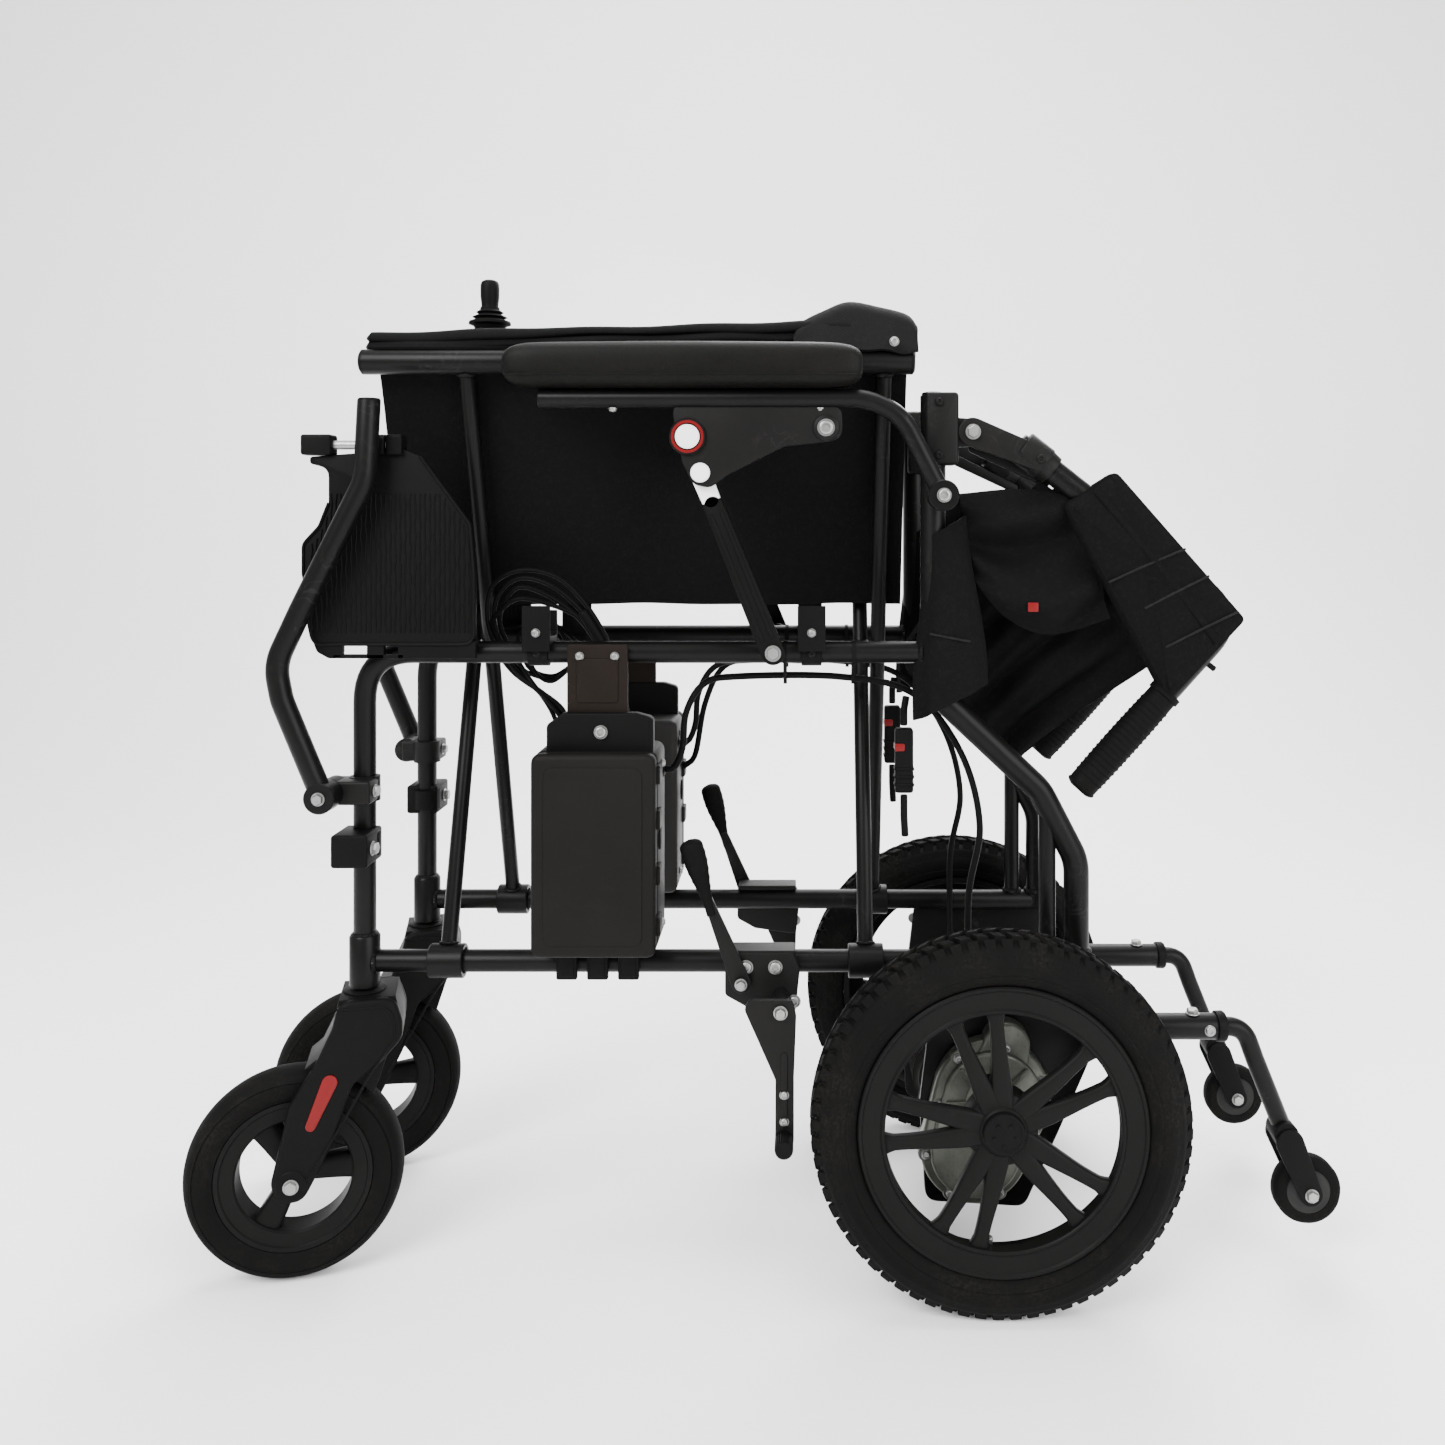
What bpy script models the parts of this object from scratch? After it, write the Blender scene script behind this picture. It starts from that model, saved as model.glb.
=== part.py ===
"""Folding power wheelchair, folded for carrying.

Two side frames stand on a cross brace. The seat rails are up, the seat sling hangs between them,
the back canes are folded down behind and the legrests are turned up in front.

Metres, +Z up. The chair faces -X and its right side is +Y. A side's pieces are laid out once, in
(station, out, height): the station runs back from the front upright, and "out" is the distance
from the middle plane. Each is then placed on the right, and mirrored to the left.
"""

import math

import bmesh
import bpy
import numpy as np
from mathutils import Matrix, Vector

# Driving sizes of the folded chair
FRAME_LENGTH = 0.4935  # front upright to back tube
FOLDED_SPACING = 0.184  # between the planes of the two side frames
LOWER_RAIL_HEIGHT = 0.263
UPPER_RAIL_HEIGHT = 0.531
SEAT_RAIL_HEIGHT = 0.783  # with the brace folded
BACK_TUBE_HEIGHT = 0.754
WHEEL_DIAMETER = 0.310
WHEEL_WIDTH = 0.055
CASTER_DIAMETER = 0.178
CASTER_WIDTH = 0.036

# Tubes, as outer diameters
FRAME_TUBE = 0.019
BACK_TUBE = 0.022
SEAT_RAIL_TUBE = 0.022
BRACE_TUBE = 0.014
ARM_TUBE = 0.016
LEGREST_TUBE = 0.019
CANE_TUBE = 0.022
TIP_TUBE = 0.016
STRUT_TUBE = 0.015  # rear strut of the side frame

# Clearances
TOUCH = 0.0003  # between pieces that touch
RUNNING = 0.0008  # round a pin, so that flats stay clear of flats
SWEEP = 0.003  # past a piece that swings by

CASTER_YAW = math.radians(14)  # of both casters at rest

# Places that follow from the sizes above
HALF = FOLDED_SPACING / 2
OUTRIGGER = HALF + 0.038  # plane of the arms and legrests
AXLE_STATION = FRAME_LENGTH + 0.0475
AXLE_HEIGHT = WHEEL_DIAMETER / 2
WHEEL_OUT = HALF + 0.067
BRACE_LENGTH = math.hypot(FOLDED_SPACING, SEAT_RAIL_HEIGHT - LOWER_RAIL_HEIGHT)
BRACE_ANGLE = math.atan2(SEAT_RAIL_HEIGHT - LOWER_RAIL_HEIGHT, FOLDED_SPACING)
SADDLE_FLOOR = UPPER_RAIL_HEIGHT + FRAME_TUBE / 2 + 0.005
OPEN_RAIL_HEIGHT = SADDLE_FLOOR + 0.0013 + SEAT_RAIL_TUBE / 2
OPEN_ANGLE = math.asin((OPEN_RAIL_HEIGHT - LOWER_RAIL_HEIGHT) / BRACE_LENGTH)
OPEN_SPACING = BRACE_LENGTH * math.cos(OPEN_ANGLE)
HINGE_HEIGHT = BACK_TUBE_HEIGHT - 0.0327  # of the pin that the cane folds on
ARM_PIVOT_HEIGHT = BACK_TUBE_HEIGHT - 0.088

TUBE_SIDES = 8
PIN_SIDES = 8
EYE_SIDES = 12
WHEEL_SIDES = 32
SMALL_WHEEL_SIDES = 24


def clear_scene():
    for obj in list(bpy.data.objects):
        bpy.data.objects.remove(obj, do_unlink=True)


# --- shapes in (station, out, height) ---


def solid(vertices, faces):
    """A closed solid from its corners and faces, with the faces turned outwards."""
    mesh = bpy.data.meshes.new("shape")
    mesh.from_pydata([tuple(map(float, v)) for v in vertices], [], faces)
    work = bmesh.new()
    work.from_mesh(mesh)
    bmesh.ops.recalc_face_normals(work, faces=work.faces)
    work.to_mesh(mesh)
    work.free()
    obj = bpy.data.objects.new("shape", mesh)
    bpy.context.scene.collection.objects.link(obj)
    return obj


def bridged(rings):
    """Rings of equal length joined in order, with both ends capped."""
    count = len(rings[0])
    faces = [list(range(count))[::-1]]
    for low in range(0, count * (len(rings) - 1), count):
        for i in range(count):
            j = (i + 1) % count
            faces.append([low + i, low + j, low + count + j, low + count + i])
    last = count * (len(rings) - 1)
    faces.append(list(range(last, last + count)))
    return solid([point for ring in rings for point in ring], faces)


def softened(points, radius, steps=2):
    """The path with each inner corner replaced by an arc of about this radius."""
    points = [Vector(p) for p in points]
    path = [points[0]]
    for before, corner, after in zip(points, points[1:], points[2:]):
        back = (before - corner).normalized()
        ahead = (after - corner).normalized()
        half_turn = (math.pi - back.angle(ahead)) / 2
        reach = radius * math.tan(half_turn)
        room = 0.45 * min((before - corner).length, (after - corner).length)
        reach = min(reach, room)
        start, end = corner + back * reach, corner + ahead * reach
        for k in range(steps + 1):
            t = k / steps
            path.append(start * (1 - t) ** 2 + corner * (2 * t * (1 - t)) + end * t**2)
    path.append(points[-1])
    return path


def tube(points, diameter, bend=0.0, sides=TUBE_SIDES):
    """A solid round bar along a path."""
    path = softened(points, bend) if bend else [Vector(p) for p in points]
    tangents = [(b - a).normalized() for a, b in zip(path, path[1:])]
    tangents = [tangents[0]] + [(a + b).normalized() for a, b in zip(tangents, tangents[1:])] + [tangents[-1]]
    up = Vector((0, 1, 0)) if abs(tangents[0].y) < 0.9 else Vector((1, 0, 0))
    rings = []
    for point, tangent in zip(path, tangents):
        side = tangent.cross(up).normalized()
        up = side.cross(tangent).normalized()
        turns = [2 * math.pi * (k + 0.5) / sides for k in range(sides)]
        rings.append([point + (side * math.cos(t) + up * math.sin(t)) * (diameter / 2) for t in turns])
    return bridged(rings)


def bar(start, end, diameter, sides=PIN_SIDES):
    return tube([start, end], diameter, sides=sides)


def cross_pin(station, height, out_from, out_to, diameter, sides=PIN_SIDES):
    """A round pin along Y."""
    return bar((station, out_from, height), (station, out_to, height), diameter, sides)


def slab(outline, out_from, out_to):
    """A flat plate that stands fore and aft, from its outline in (station, height)."""
    return bridged([[(x, out, z) for x, z in outline] for out in (out_from, out_to)])


def block(low, high):
    (x0, y0, z0), (x1, y1, z1) = low, high
    return slab([(x0, z0), (x1, z0), (x1, z1), (x0, z1)], y0, y1)


def disc_outline(station, height, radius, count=16, start=0.0, sweep=2 * math.pi):
    steps = count if sweep >= 2 * math.pi else count - 1
    angles = [start + sweep * k / steps for k in range(count)]
    return [(station + radius * math.cos(a), height + radius * math.sin(a)) for a in angles]


def link_outline(start, end, start_radius, end_radius, count=7):
    """Two round ends joined by their sides, in (station, height)."""
    heading = math.atan2(end[1] - start[1], end[0] - start[0])
    first = disc_outline(*start, start_radius, count, heading + math.pi / 2, math.pi)
    second = disc_outline(*end, end_radius, count, heading - math.pi / 2, math.pi)
    return first + second


def turned(profile, station, height, out, sides=WHEEL_SIDES):
    """A ring turned about an axle along Y, from (radius, offset) points round its section."""
    count = len(profile)
    vertices = []
    for k in range(sides):
        angle = 2 * math.pi * k / sides
        for radius, offset in profile:
            x = station + radius * math.sin(angle)
            vertices.append((x, out + offset, height - radius * math.cos(angle)))
    faces = []
    for k in range(sides):
        for i in range(count):
            j = (i + 1) % count
            a, b = k * count, ((k + 1) % sides) * count
            faces.append([a + i, a + j, b + j, b + i])
    return solid(vertices, faces)


def combined(base, added=(), removed=()):
    """One solid: the base with the added shapes welded on, then the removed ones cut away."""
    steps = [(other, "UNION") for other in added] + [(other, "DIFFERENCE") for other in removed]
    for other, operation in steps:
        modifier = base.modifiers.new(operation, "BOOLEAN")
        modifier.operation = operation
        modifier.solver = "EXACT"
        modifier.object = other
        other.hide_render = True
        other.display_type = "WIRE"
    graph = bpy.context.evaluated_depsgraph_get()
    mesh = bpy.data.meshes.new_from_object(base.evaluated_get(graph))
    obj = bpy.data.objects.new("shape", mesh)
    bpy.context.scene.collection.objects.link(obj)
    for used in [base] + [other for other, _ in steps]:
        bpy.data.objects.remove(used, do_unlink=True)
    return obj


def bevelled(shape, width, segments=2):
    """The shape with its sharp edges rounded."""
    work = bmesh.new()
    work.from_mesh(shape.data)
    edges = [edge for edge in work.edges if edge.calc_face_angle(0.0) > math.radians(40)]
    bmesh.ops.bevel(work, geom=edges, offset=width, segments=segments, profile=0.5, affect="EDGES")
    work.to_mesh(shape.data)
    work.free()
    return shape


# --- placing ---


class Finish:
    """A paint, plastic, rubber or cloth, as a Principled BSDF."""

    def __init__(self, colour, roughness, metallic=0.0):
        self.colour = colour
        self.roughness = roughness
        self.metallic = metallic

    def material(self, name):
        material = bpy.data.materials.new(name)
        material.use_nodes = True
        shader = material.node_tree.nodes["Principled BSDF"]
        shader.inputs["Base Color"].default_value = (*self.colour, 1.0)
        shader.inputs["Roughness"].default_value = self.roughness
        shader.inputs["Metallic"].default_value = self.metallic
        return material


BLACK_PAINT = Finish((0.020, 0.019, 0.018), 0.38, 0.6)
BLACK_PLASTIC = Finish((0.028, 0.027, 0.026), 0.52)
GREY_PLASTIC = Finish((0.085, 0.083, 0.080), 0.55)
RUBBER = Finish((0.022, 0.022, 0.022), 0.80)
CLOTH = Finish((0.014, 0.014, 0.016), 0.90)
CAST_METAL = Finish((0.42, 0.42, 0.40), 0.50, 0.9)
ZINC = Finish((0.62, 0.62, 0.60), 0.35, 1.0)
WHITE_PLASTIC = Finish((0.85, 0.85, 0.84), 0.35)
PAD_VINYL = Finish((0.030, 0.029, 0.028), 0.60)


def dress(obj, finish):
    obj.data.materials.clear()
    obj.data.materials.append(finish.material(obj.name))
    obj.data.shade_smooth()
    obj.data.set_sharp_from_angle(angle=math.radians(40))


def seat_mesh(shape, name, side, pivot, finish, yaw_about=None):
    """Puts a copy of a shape on one side, +1 right or -1 left, with its origin at its pivot."""
    mesh = shape.data.copy()
    mesh.transform(Matrix.Diagonal((1, side, 1, 1)))
    if side < 0:
        mesh.flip_normals()
    origin = Vector((pivot[0], side * pivot[1], pivot[2]))
    mesh.transform(Matrix.Translation(-origin))
    obj = bpy.data.objects.new(name, mesh)
    obj.location = origin
    if yaw_about is not None:
        centre = Vector((yaw_about[0], side * yaw_about[1], 0))
        turn = Matrix.Rotation(CASTER_YAW, 3, "Z")
        obj.location = centre + turn @ (origin - centre)
        obj.rotation_euler = (0, 0, CASTER_YAW)
    bpy.context.scene.collection.objects.link(obj)
    dress(obj, finish)
    return obj


def pair(name, shape, finish, pivot=(0, 0, 0), yaw_about=None):
    """A right piece and its mirrored left one."""
    seat_mesh(shape, "right_" + name, 1, pivot, finish, yaw_about)
    seat_mesh(shape, "left_" + name, -1, pivot, finish, yaw_about)
    bpy.data.objects.remove(shape, do_unlink=True)


def single(name, shape, finish, side=1, pivot=(0, 0, 0)):
    seat_mesh(shape, name, side, pivot, finish)
    bpy.data.objects.remove(shape, do_unlink=True)


# --- side frame ---

FRONT_BRACE = 0.088  # station of the front pair of brace tubes
BOX_BACK = AXLE_STATION - AXLE_HEIGHT - 0.129  # of the side box, ahead of the brake lever
BOX_FRONT = FRONT_BRACE + 0.3787 * (BOX_BACK - FRONT_BRACE)
FRONT_FOOT = LOWER_RAIL_HEIGHT - 0.0215  # lower end of the front upright
UPRIGHT_BEND = 0.043
BACK_BEND_HEIGHT = UPPER_RAIL_HEIGHT - 0.033  # where the back tube leaves the vertical
BACK_PATH_LOW = ((0.093, UPPER_RAIL_HEIGHT - 0.120), (0.1245, LOWER_RAIL_HEIGHT + 0.087),
                 (0.1245, LOWER_RAIL_HEIGHT - 0.005))  # behind the back tube, height
STRUT_OFFSET = 0.0991
STRUT_TOP_HEIGHT = BACK_PATH_LOW[0][1] - 0.009
RAIL_OVERHANG = 0.128  # lower rail behind the back tube
SADDLE_LENGTH = 0.024
SADDLE_TOP = UPPER_RAIL_HEIGHT + 0.041
FRONT_SADDLE = BOX_FRONT
REAR_SADDLE = FRAME_LENGTH - 0.1055
SADDLE_GAP = SEAT_RAIL_TUBE + 0.002
LEGREST_PIVOT = (-0.0227, UPPER_RAIL_HEIGHT - 0.1180)
LEGREST_STOP = -0.0185  # front of the stop, which the lowered legrest rests against
RECEIVER_HEIGHT = LOWER_RAIL_HEIGHT - 0.057
RECEIVER_END = FRAME_LENGTH + 0.2535
RECEIVER_TUBE = 0.022
STEM_DIAMETER = 0.012
STEM_TOP = FRONT_FOOT + 0.0545
HINGE_PIVOT = (FRAME_LENGTH + 0.0331, HINGE_HEIGHT)
ARM_PIVOT = (FRAME_LENGTH + 0.0045, ARM_PIVOT_HEIGHT)
PLATE_OUTER = HALF + 0.0112  # outer face of the axle plate
MOTOR_CENTRE = (AXLE_STATION - 0.015, AXLE_HEIGHT - 0.043)
MOTOR_DIAMETER = 0.080


def saddle(station):
    """A U on top of the upper rail that the seat rail drops into when the chair is opened."""
    wall = 0.004
    low = (station - SADDLE_LENGTH / 2, HALF - SADDLE_GAP / 2 - wall, UPPER_RAIL_HEIGHT + 0.002)
    high = (station + SADDLE_LENGTH / 2, HALF + SADDLE_GAP / 2 + wall, SADDLE_TOP)
    slot_low = (low[0] - 0.01, HALF - SADDLE_GAP / 2, SADDLE_FLOOR)
    slot_high = (high[0] + 0.01, HALF + SADDLE_GAP / 2, SADDLE_TOP + 0.01)
    return combined(block(low, high), removed=[block(slot_low, slot_high)])


def axle_plate():
    """Hangs from the lower rail, carries the motor and lets its body through."""
    x, z = AXLE_STATION, AXLE_HEIGHT
    top = LOWER_RAIL_HEIGHT + 0.004
    outline = [(x - 0.045, top), (x - 0.060, z - 0.01), (x - 0.055, z - 0.095), (x + 0.03, z - 0.1)]
    outline += [(x + 0.062, z - 0.03), (x + 0.092, RECEIVER_HEIGHT - 0.012), (x + 0.092, top)]
    plate = slab(outline, HALF + 0.004, PLATE_OUTER)
    hole = cross_pin(*MOTOR_CENTRE, HALF - 0.02, HALF + 0.03, MOTOR_DIAMETER + 0.006, sides=SMALL_WHEEL_SIDES)
    return combined(plate, removed=[hole])


def hinge_casting():
    """Clamps the top of the back tube and holds the pin that the cane folds on."""
    x, z = FRAME_LENGTH, HINGE_PIVOT[1]
    clamp = block((x - 0.0140, HALF - 0.013, z - 0.028), (x + 0.0140, HALF + 0.0075, z + 0.0345))
    ear_path = link_outline((x + 0.006, z), HINGE_PIVOT, 0.014, 0.0125)
    ear = slab(ear_path, HALF - 0.004, HALF + 0.0075)
    pin = cross_pin(*HINGE_PIVOT, HALF + 0.002, HALF + 0.0135, 0.009)
    return [clamp, ear, pin]


def legrest_ear():
    """Stands forward and outward from the front upright, with the legrest's pivot pin."""
    x, z = LEGREST_PIVOT
    arm = block((x - 0.002, HALF - 0.004, z - 0.010), (0.004, OUTRIGGER - 0.0125, z + 0.010))
    ear = cross_pin(x, z, HALF + 0.004, OUTRIGGER - 0.0125, 0.024, sides=EYE_SIDES)
    pin = cross_pin(x, z, OUTRIGGER - 0.02, OUTRIGGER + 0.013, 0.009)
    stop = block((LEGREST_STOP, HALF - 0.008, z - 0.062), (0.006, OUTRIGGER - 0.006, z - 0.034))
    return [arm, ear, pin, stop]


def side_frame():
    end = FRAME_LENGTH
    rail_end = end + RAIL_OVERHANG
    upright = [(0, HALF, FRONT_FOOT), (0, HALF, UPPER_RAIL_HEIGHT), (end, HALF, UPPER_RAIL_HEIGHT)]
    lower = [(0, HALF, LOWER_RAIL_HEIGHT), (rail_end, HALF, LOWER_RAIL_HEIGHT)]
    back = [(end, HALF, BACK_TUBE_HEIGHT), (end, HALF, BACK_BEND_HEIGHT)]
    back += [(end + offset, HALF, height) for offset, height in BACK_PATH_LOW]
    strut = [(end + STRUT_OFFSET, HALF, z) for z in (STRUT_TOP_HEIGHT, LOWER_RAIL_HEIGHT - 0.001)]
    receiver = [(AXLE_STATION + 0.045, HALF, RECEIVER_HEIGHT), (RECEIVER_END, HALF, RECEIVER_HEIGHT)]
    stub = cross_pin(*ARM_PIVOT, HALF + 0.002, OUTRIGGER + 0.0115, 0.010)
    shoulder = cross_pin(*ARM_PIVOT, HALF + 0.004, OUTRIGGER - 0.0095, 0.020, sides=EYE_SIDES)
    added = [tube(lower, FRAME_TUBE), tube(back, BACK_TUBE, 0.045), tube(strut, STRUT_TUBE)]
    added += [tube(receiver, RECEIVER_TUBE, sides=EYE_SIDES), axle_plate(), stub, shoulder]
    added += [saddle(FRONT_SADDLE), saddle(REAR_SADDLE)] + hinge_casting() + legrest_ear()
    added += [bar((0, HALF, FRONT_FOOT), (0, HALF, FRONT_FOOT + 0.045), 0.026, EYE_SIDES)]
    bore_low, bore_high = (0, HALF, FRONT_FOOT - 0.04), (0, HALF, STEM_TOP + 0.004)
    stem_bore = bar(bore_low, bore_high, STEM_DIAMETER + 2 * RUNNING, EYE_SIDES)
    tip_bore = [(RECEIVER_END - 0.06, HALF, RECEIVER_HEIGHT), (RECEIVER_END + 0.01, HALF, RECEIVER_HEIGHT)]
    removed = [stem_bore, tube(tip_bore, TIP_TUBE + 2 * RUNNING, sides=EYE_SIDES)]
    return combined(tube(upright, FRAME_TUBE, UPRIGHT_BEND), added, removed)


# --- cross brace and seat ---

REAR_BRACE = FRAME_LENGTH - 0.0425
BRACE_STEP = BRACE_TUBE + 0.002  # fore and aft between the two tubes that cross
SLEEVE_LENGTH = 0.030
SLEEVE_DIAMETER = 0.029
SEAT_RAIL_FRONT = -0.004
SEAT_RAIL_BACK = FRAME_LENGTH - 0.0155
CENTRE_HEIGHT = (LOWER_RAIL_HEIGHT + SEAT_RAIL_HEIGHT) / 2
BRACE_BOLT = 0.006
SLING_THICKNESS = 0.003
SLING_LIFT = SEAT_RAIL_TUBE / 2 + 0.0025  # of the sling above the middle of its rail
SLING_MIDDLE_GAP = 0.0034  # from the lower edge of each half to the middle plane
SEAT_DIP = BRACE_ANGLE + math.radians(0.5)  # of each half below the horizontal, clear of its brace
OPEN_HALF_WIDTH = OPEN_SPACING / 2 - 0.0015
FOLDED_HALF_WIDTH = (HALF - SLING_LIFT * math.sin(SEAT_DIP) - SLING_MIDDLE_GAP) / math.cos(SEAT_DIP)
SLING_HALF_WIDTH = min(OPEN_HALF_WIDTH, FOLDED_HALF_WIDTH)  # each half clears the other, open and folded


def cross_brace(step):
    """A seat rail with two tubes that run down to sleeves round the other side's lower rail."""
    rail = tube([(SEAT_RAIL_FRONT, HALF, SEAT_RAIL_HEIGHT), (SEAT_RAIL_BACK, HALF, SEAT_RAIL_HEIGHT)],
                SEAT_RAIL_TUBE)
    added, removed = [], []
    for station in (FRONT_BRACE, REAR_BRACE):
        x = station + step
        foot = Vector((x, -HALF, LOWER_RAIL_HEIGHT))
        top = Vector((x, HALF, SEAT_RAIL_HEIGHT))
        start = foot + (top - foot).normalized() * (FRAME_TUBE / 2 + 0.0028)
        added.append(bar(start, top, BRACE_TUBE))
        half = Vector((SLEEVE_LENGTH / 2, 0, 0))
        added.append(bar(foot - half, foot + half, SLEEVE_DIAMETER, EYE_SIDES))
        boss = Vector((x, 0, CENTRE_HEIGHT))
        reach = Vector((BRACE_TUBE / 2, 0, 0))
        added.append(bar(boss - reach, boss + reach, 0.022, EYE_SIDES))
        removed.append(bar(foot - half * 2, foot + half * 2, FRAME_TUBE + 4 * RUNNING, EYE_SIDES))
        removed.append(bar(boss - reach * 2, boss + reach * 2, BRACE_BOLT + 2 * RUNNING))
    return combined(rail, added, removed)


def brace_pivot(station):
    """The bolt through both tubes where they cross, with its head and nut."""
    back = station - BRACE_STEP - BRACE_TUBE / 2 - 0.001
    front = station + BRACE_TUBE / 2 + 0.001
    shank = bar((back - 0.002, 0, CENTRE_HEIGHT), (front + 0.002, 0, CENTRE_HEIGHT), BRACE_BOLT)
    head = bar((back - 0.005, 0, CENTRE_HEIGHT), (back, 0, CENTRE_HEIGHT), 0.012, 6)
    nut = bar((front, 0, CENTRE_HEIGHT), (front + 0.005, 0, CENTRE_HEIGHT), 0.012, 6)
    return combined(shank, [head, nut])


def hanging_panel(origin, along, down, inward, start, end, dip, lift, depth, thickness):
    """Half of a sling: a flat sheet that hangs inwards from a tube.

    It lies at an angle of dip from inward towards down, and lift is how far its plane passes
    from the tube's middle.
    """
    origin, along, down, inward = (Vector(v) for v in (origin, along, down, inward))
    run = inward * math.cos(dip) + down * math.sin(dip)
    rise = inward * math.sin(dip) - down * math.cos(dip)
    corners = []
    for low in (start, end):
        base = origin + along * low + rise * lift
        half = rise * (thickness / 2)
        corners.append([base - half, base + run * depth - half, base + run * depth + half, base + half])
    return bridged(corners)


def seat_panel():
    start, end = SEAT_RAIL_FRONT + 0.012, SEAT_RAIL_BACK - 0.006
    return hanging_panel((0, HALF, SEAT_RAIL_HEIGHT), (1, 0, 0), (0, 0, -1), (0, -1, 0),
                         start, end, SEAT_DIP, SLING_LIFT, SLING_HALF_WIDTH, SLING_THICKNESS)


# --- back ---

CANE_OFFSET = 0.018  # of the cane's line from the hinge pin
CANE_START = 0.038
CANE_LENGTH = 0.278  # to the corner where the handle turns off
HANDLE_LENGTH = 0.203
HANDLE_TURN = math.radians(93.5)
GRIP_LENGTH = 0.115
GRIP_DIAMETER = 0.029
BACK_PANEL_START = 0.100
BACK_PANEL_END = 0.240
BACK_PANEL_LIFT = CANE_TUBE / 2 + 0.002  # from the middle of the cane to the panel's upper edge
BACK_PANEL_DIP = math.acos((HALF - SLING_MIDDLE_GAP) / OPEN_HALF_WIDTH)

# The folded cane dips until the handle's end is just over the back tube's bend, or until its link is taut.
LINK_REACH = 0.97  # of the way that the handle's end would hang without the link
HANDLE_REST = UPPER_RAIL_HEIGHT - 0.11953
CANE_REACH = CANE_LENGTH + HANDLE_LENGTH * math.cos(HANDLE_TURN)
HANDLE_REACH = HANDLE_LENGTH * math.sin(HANDLE_TURN) - CANE_OFFSET
LOWEST_REACH = math.hypot(CANE_REACH, HANDLE_REACH)  # of the handle's end below the hinge, hanging free
CANE_DROP = min(HINGE_HEIGHT - HANDLE_REST, LINK_REACH * LOWEST_REACH)
CANE_DIP = math.asin(CANE_DROP / LOWEST_REACH) - math.atan2(HANDLE_REACH, CANE_REACH)

CANE_ALONG = Vector((math.cos(CANE_DIP), 0, -math.sin(CANE_DIP)))
CANE_UNDER = Vector((-math.sin(CANE_DIP), 0, -math.cos(CANE_DIP)))
HANDLE_ALONG = Vector((math.cos(CANE_DIP + HANDLE_TURN), 0, -math.sin(CANE_DIP + HANDLE_TURN)))
CANE_FOOT = Vector((HINGE_PIVOT[0], HALF, HINGE_PIVOT[1])) - CANE_UNDER * CANE_OFFSET


def back_cane():
    """The folding upper tube with its hinge lug, ending in the push handle."""
    start = CANE_FOOT + CANE_ALONG * CANE_START
    corner = CANE_FOOT + CANE_ALONG * CANE_LENGTH
    end = corner + HANDLE_ALONG * HANDLE_LENGTH
    cane = tube([start, corner, end - HANDLE_ALONG * 0.006], CANE_TUBE, 0.032)
    far = start + CANE_ALONG * 0.022
    outline = link_outline(HINGE_PIVOT, (far.x, far.z), 0.0125, 0.0105)
    lug = slab(outline, HALF + 0.0080, HALF + 0.0125)
    hole = cross_pin(*HINGE_PIVOT, HALF, HALF + 0.02, 0.009 + 2 * RUNNING)
    grip_seat = bar(end - HANDLE_ALONG * (GRIP_LENGTH + 0.002), end + HANDLE_ALONG * 0.01, 0.032)
    slim = bar(end - HANDLE_ALONG * (GRIP_LENGTH + 0.01), end - HANDLE_ALONG * 0.006, 0.018)
    return combined(cane, [lug], [hole, grip_seat]), slim


def push_grip():
    end = CANE_FOOT + CANE_ALONG * CANE_LENGTH + HANDLE_ALONG * HANDLE_LENGTH
    start = end - HANDLE_ALONG * GRIP_LENGTH
    sleeve = bar(start, end, GRIP_DIAMETER, EYE_SIDES)
    bore = bar(start - HANDLE_ALONG * 0.01, end - HANDLE_ALONG * 0.005, 0.018 + 4 * TOUCH)
    return combined(sleeve, removed=[bore])


def back_panel():
    reach = OPEN_HALF_WIDTH - BACK_PANEL_LIFT
    inward = Vector((0, -1, 0))
    run = inward * math.cos(BACK_PANEL_DIP) + CANE_UNDER * math.sin(BACK_PANEL_DIP)
    origin = CANE_FOOT + run * BACK_PANEL_LIFT
    return hanging_panel(origin, CANE_ALONG, CANE_UNDER, inward, BACK_PANEL_START, BACK_PANEL_END,
                         BACK_PANEL_DIP, 0, reach, SLING_THICKNESS)


def back_flap():
    """The lower back cloth, bunched behind its tube."""
    x = FRAME_LENGTH + BACK_TUBE / 2 + SWEEP
    low, high = BACK_BEND_HEIGHT + 0.007, ARM_PIVOT_HEIGHT - 0.014
    middle = (low + high) / 2 + 0.020
    outline = [(x, high), (x, low), (x + 0.025, low + 0.010), (x + 0.034, middle), (x + 0.022, high + 0.016)]
    return bevelled(slab(outline, HALF - 0.016, HALF + 0.014), 0.004)


# --- arms ---

PAD_FRONT = 0.1305
PAD_BACK = FRAME_LENGTH - 0.0635
PAD_BOTTOM = BACK_TUBE_HEIGHT + 0.0015
PAD_TOP = PAD_BOTTOM + 0.0392
PAD_WIDTH = 0.044
ARM_HEIGHT = PAD_BOTTOM - TOUCH - ARM_TUBE / 2
ARM_FRONT = 0.1557
RELEASE_BUTTON = (FRAME_LENGTH - 0.2095, ARM_HEIGHT - 0.0322)
STRUT_TOP = (FRAME_LENGTH - 0.1989, ARM_HEIGHT - 0.0642)
STRUT_FOOT = (FRAME_LENGTH - 0.1382, UPPER_RAIL_HEIGHT + 0.0020)


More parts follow.
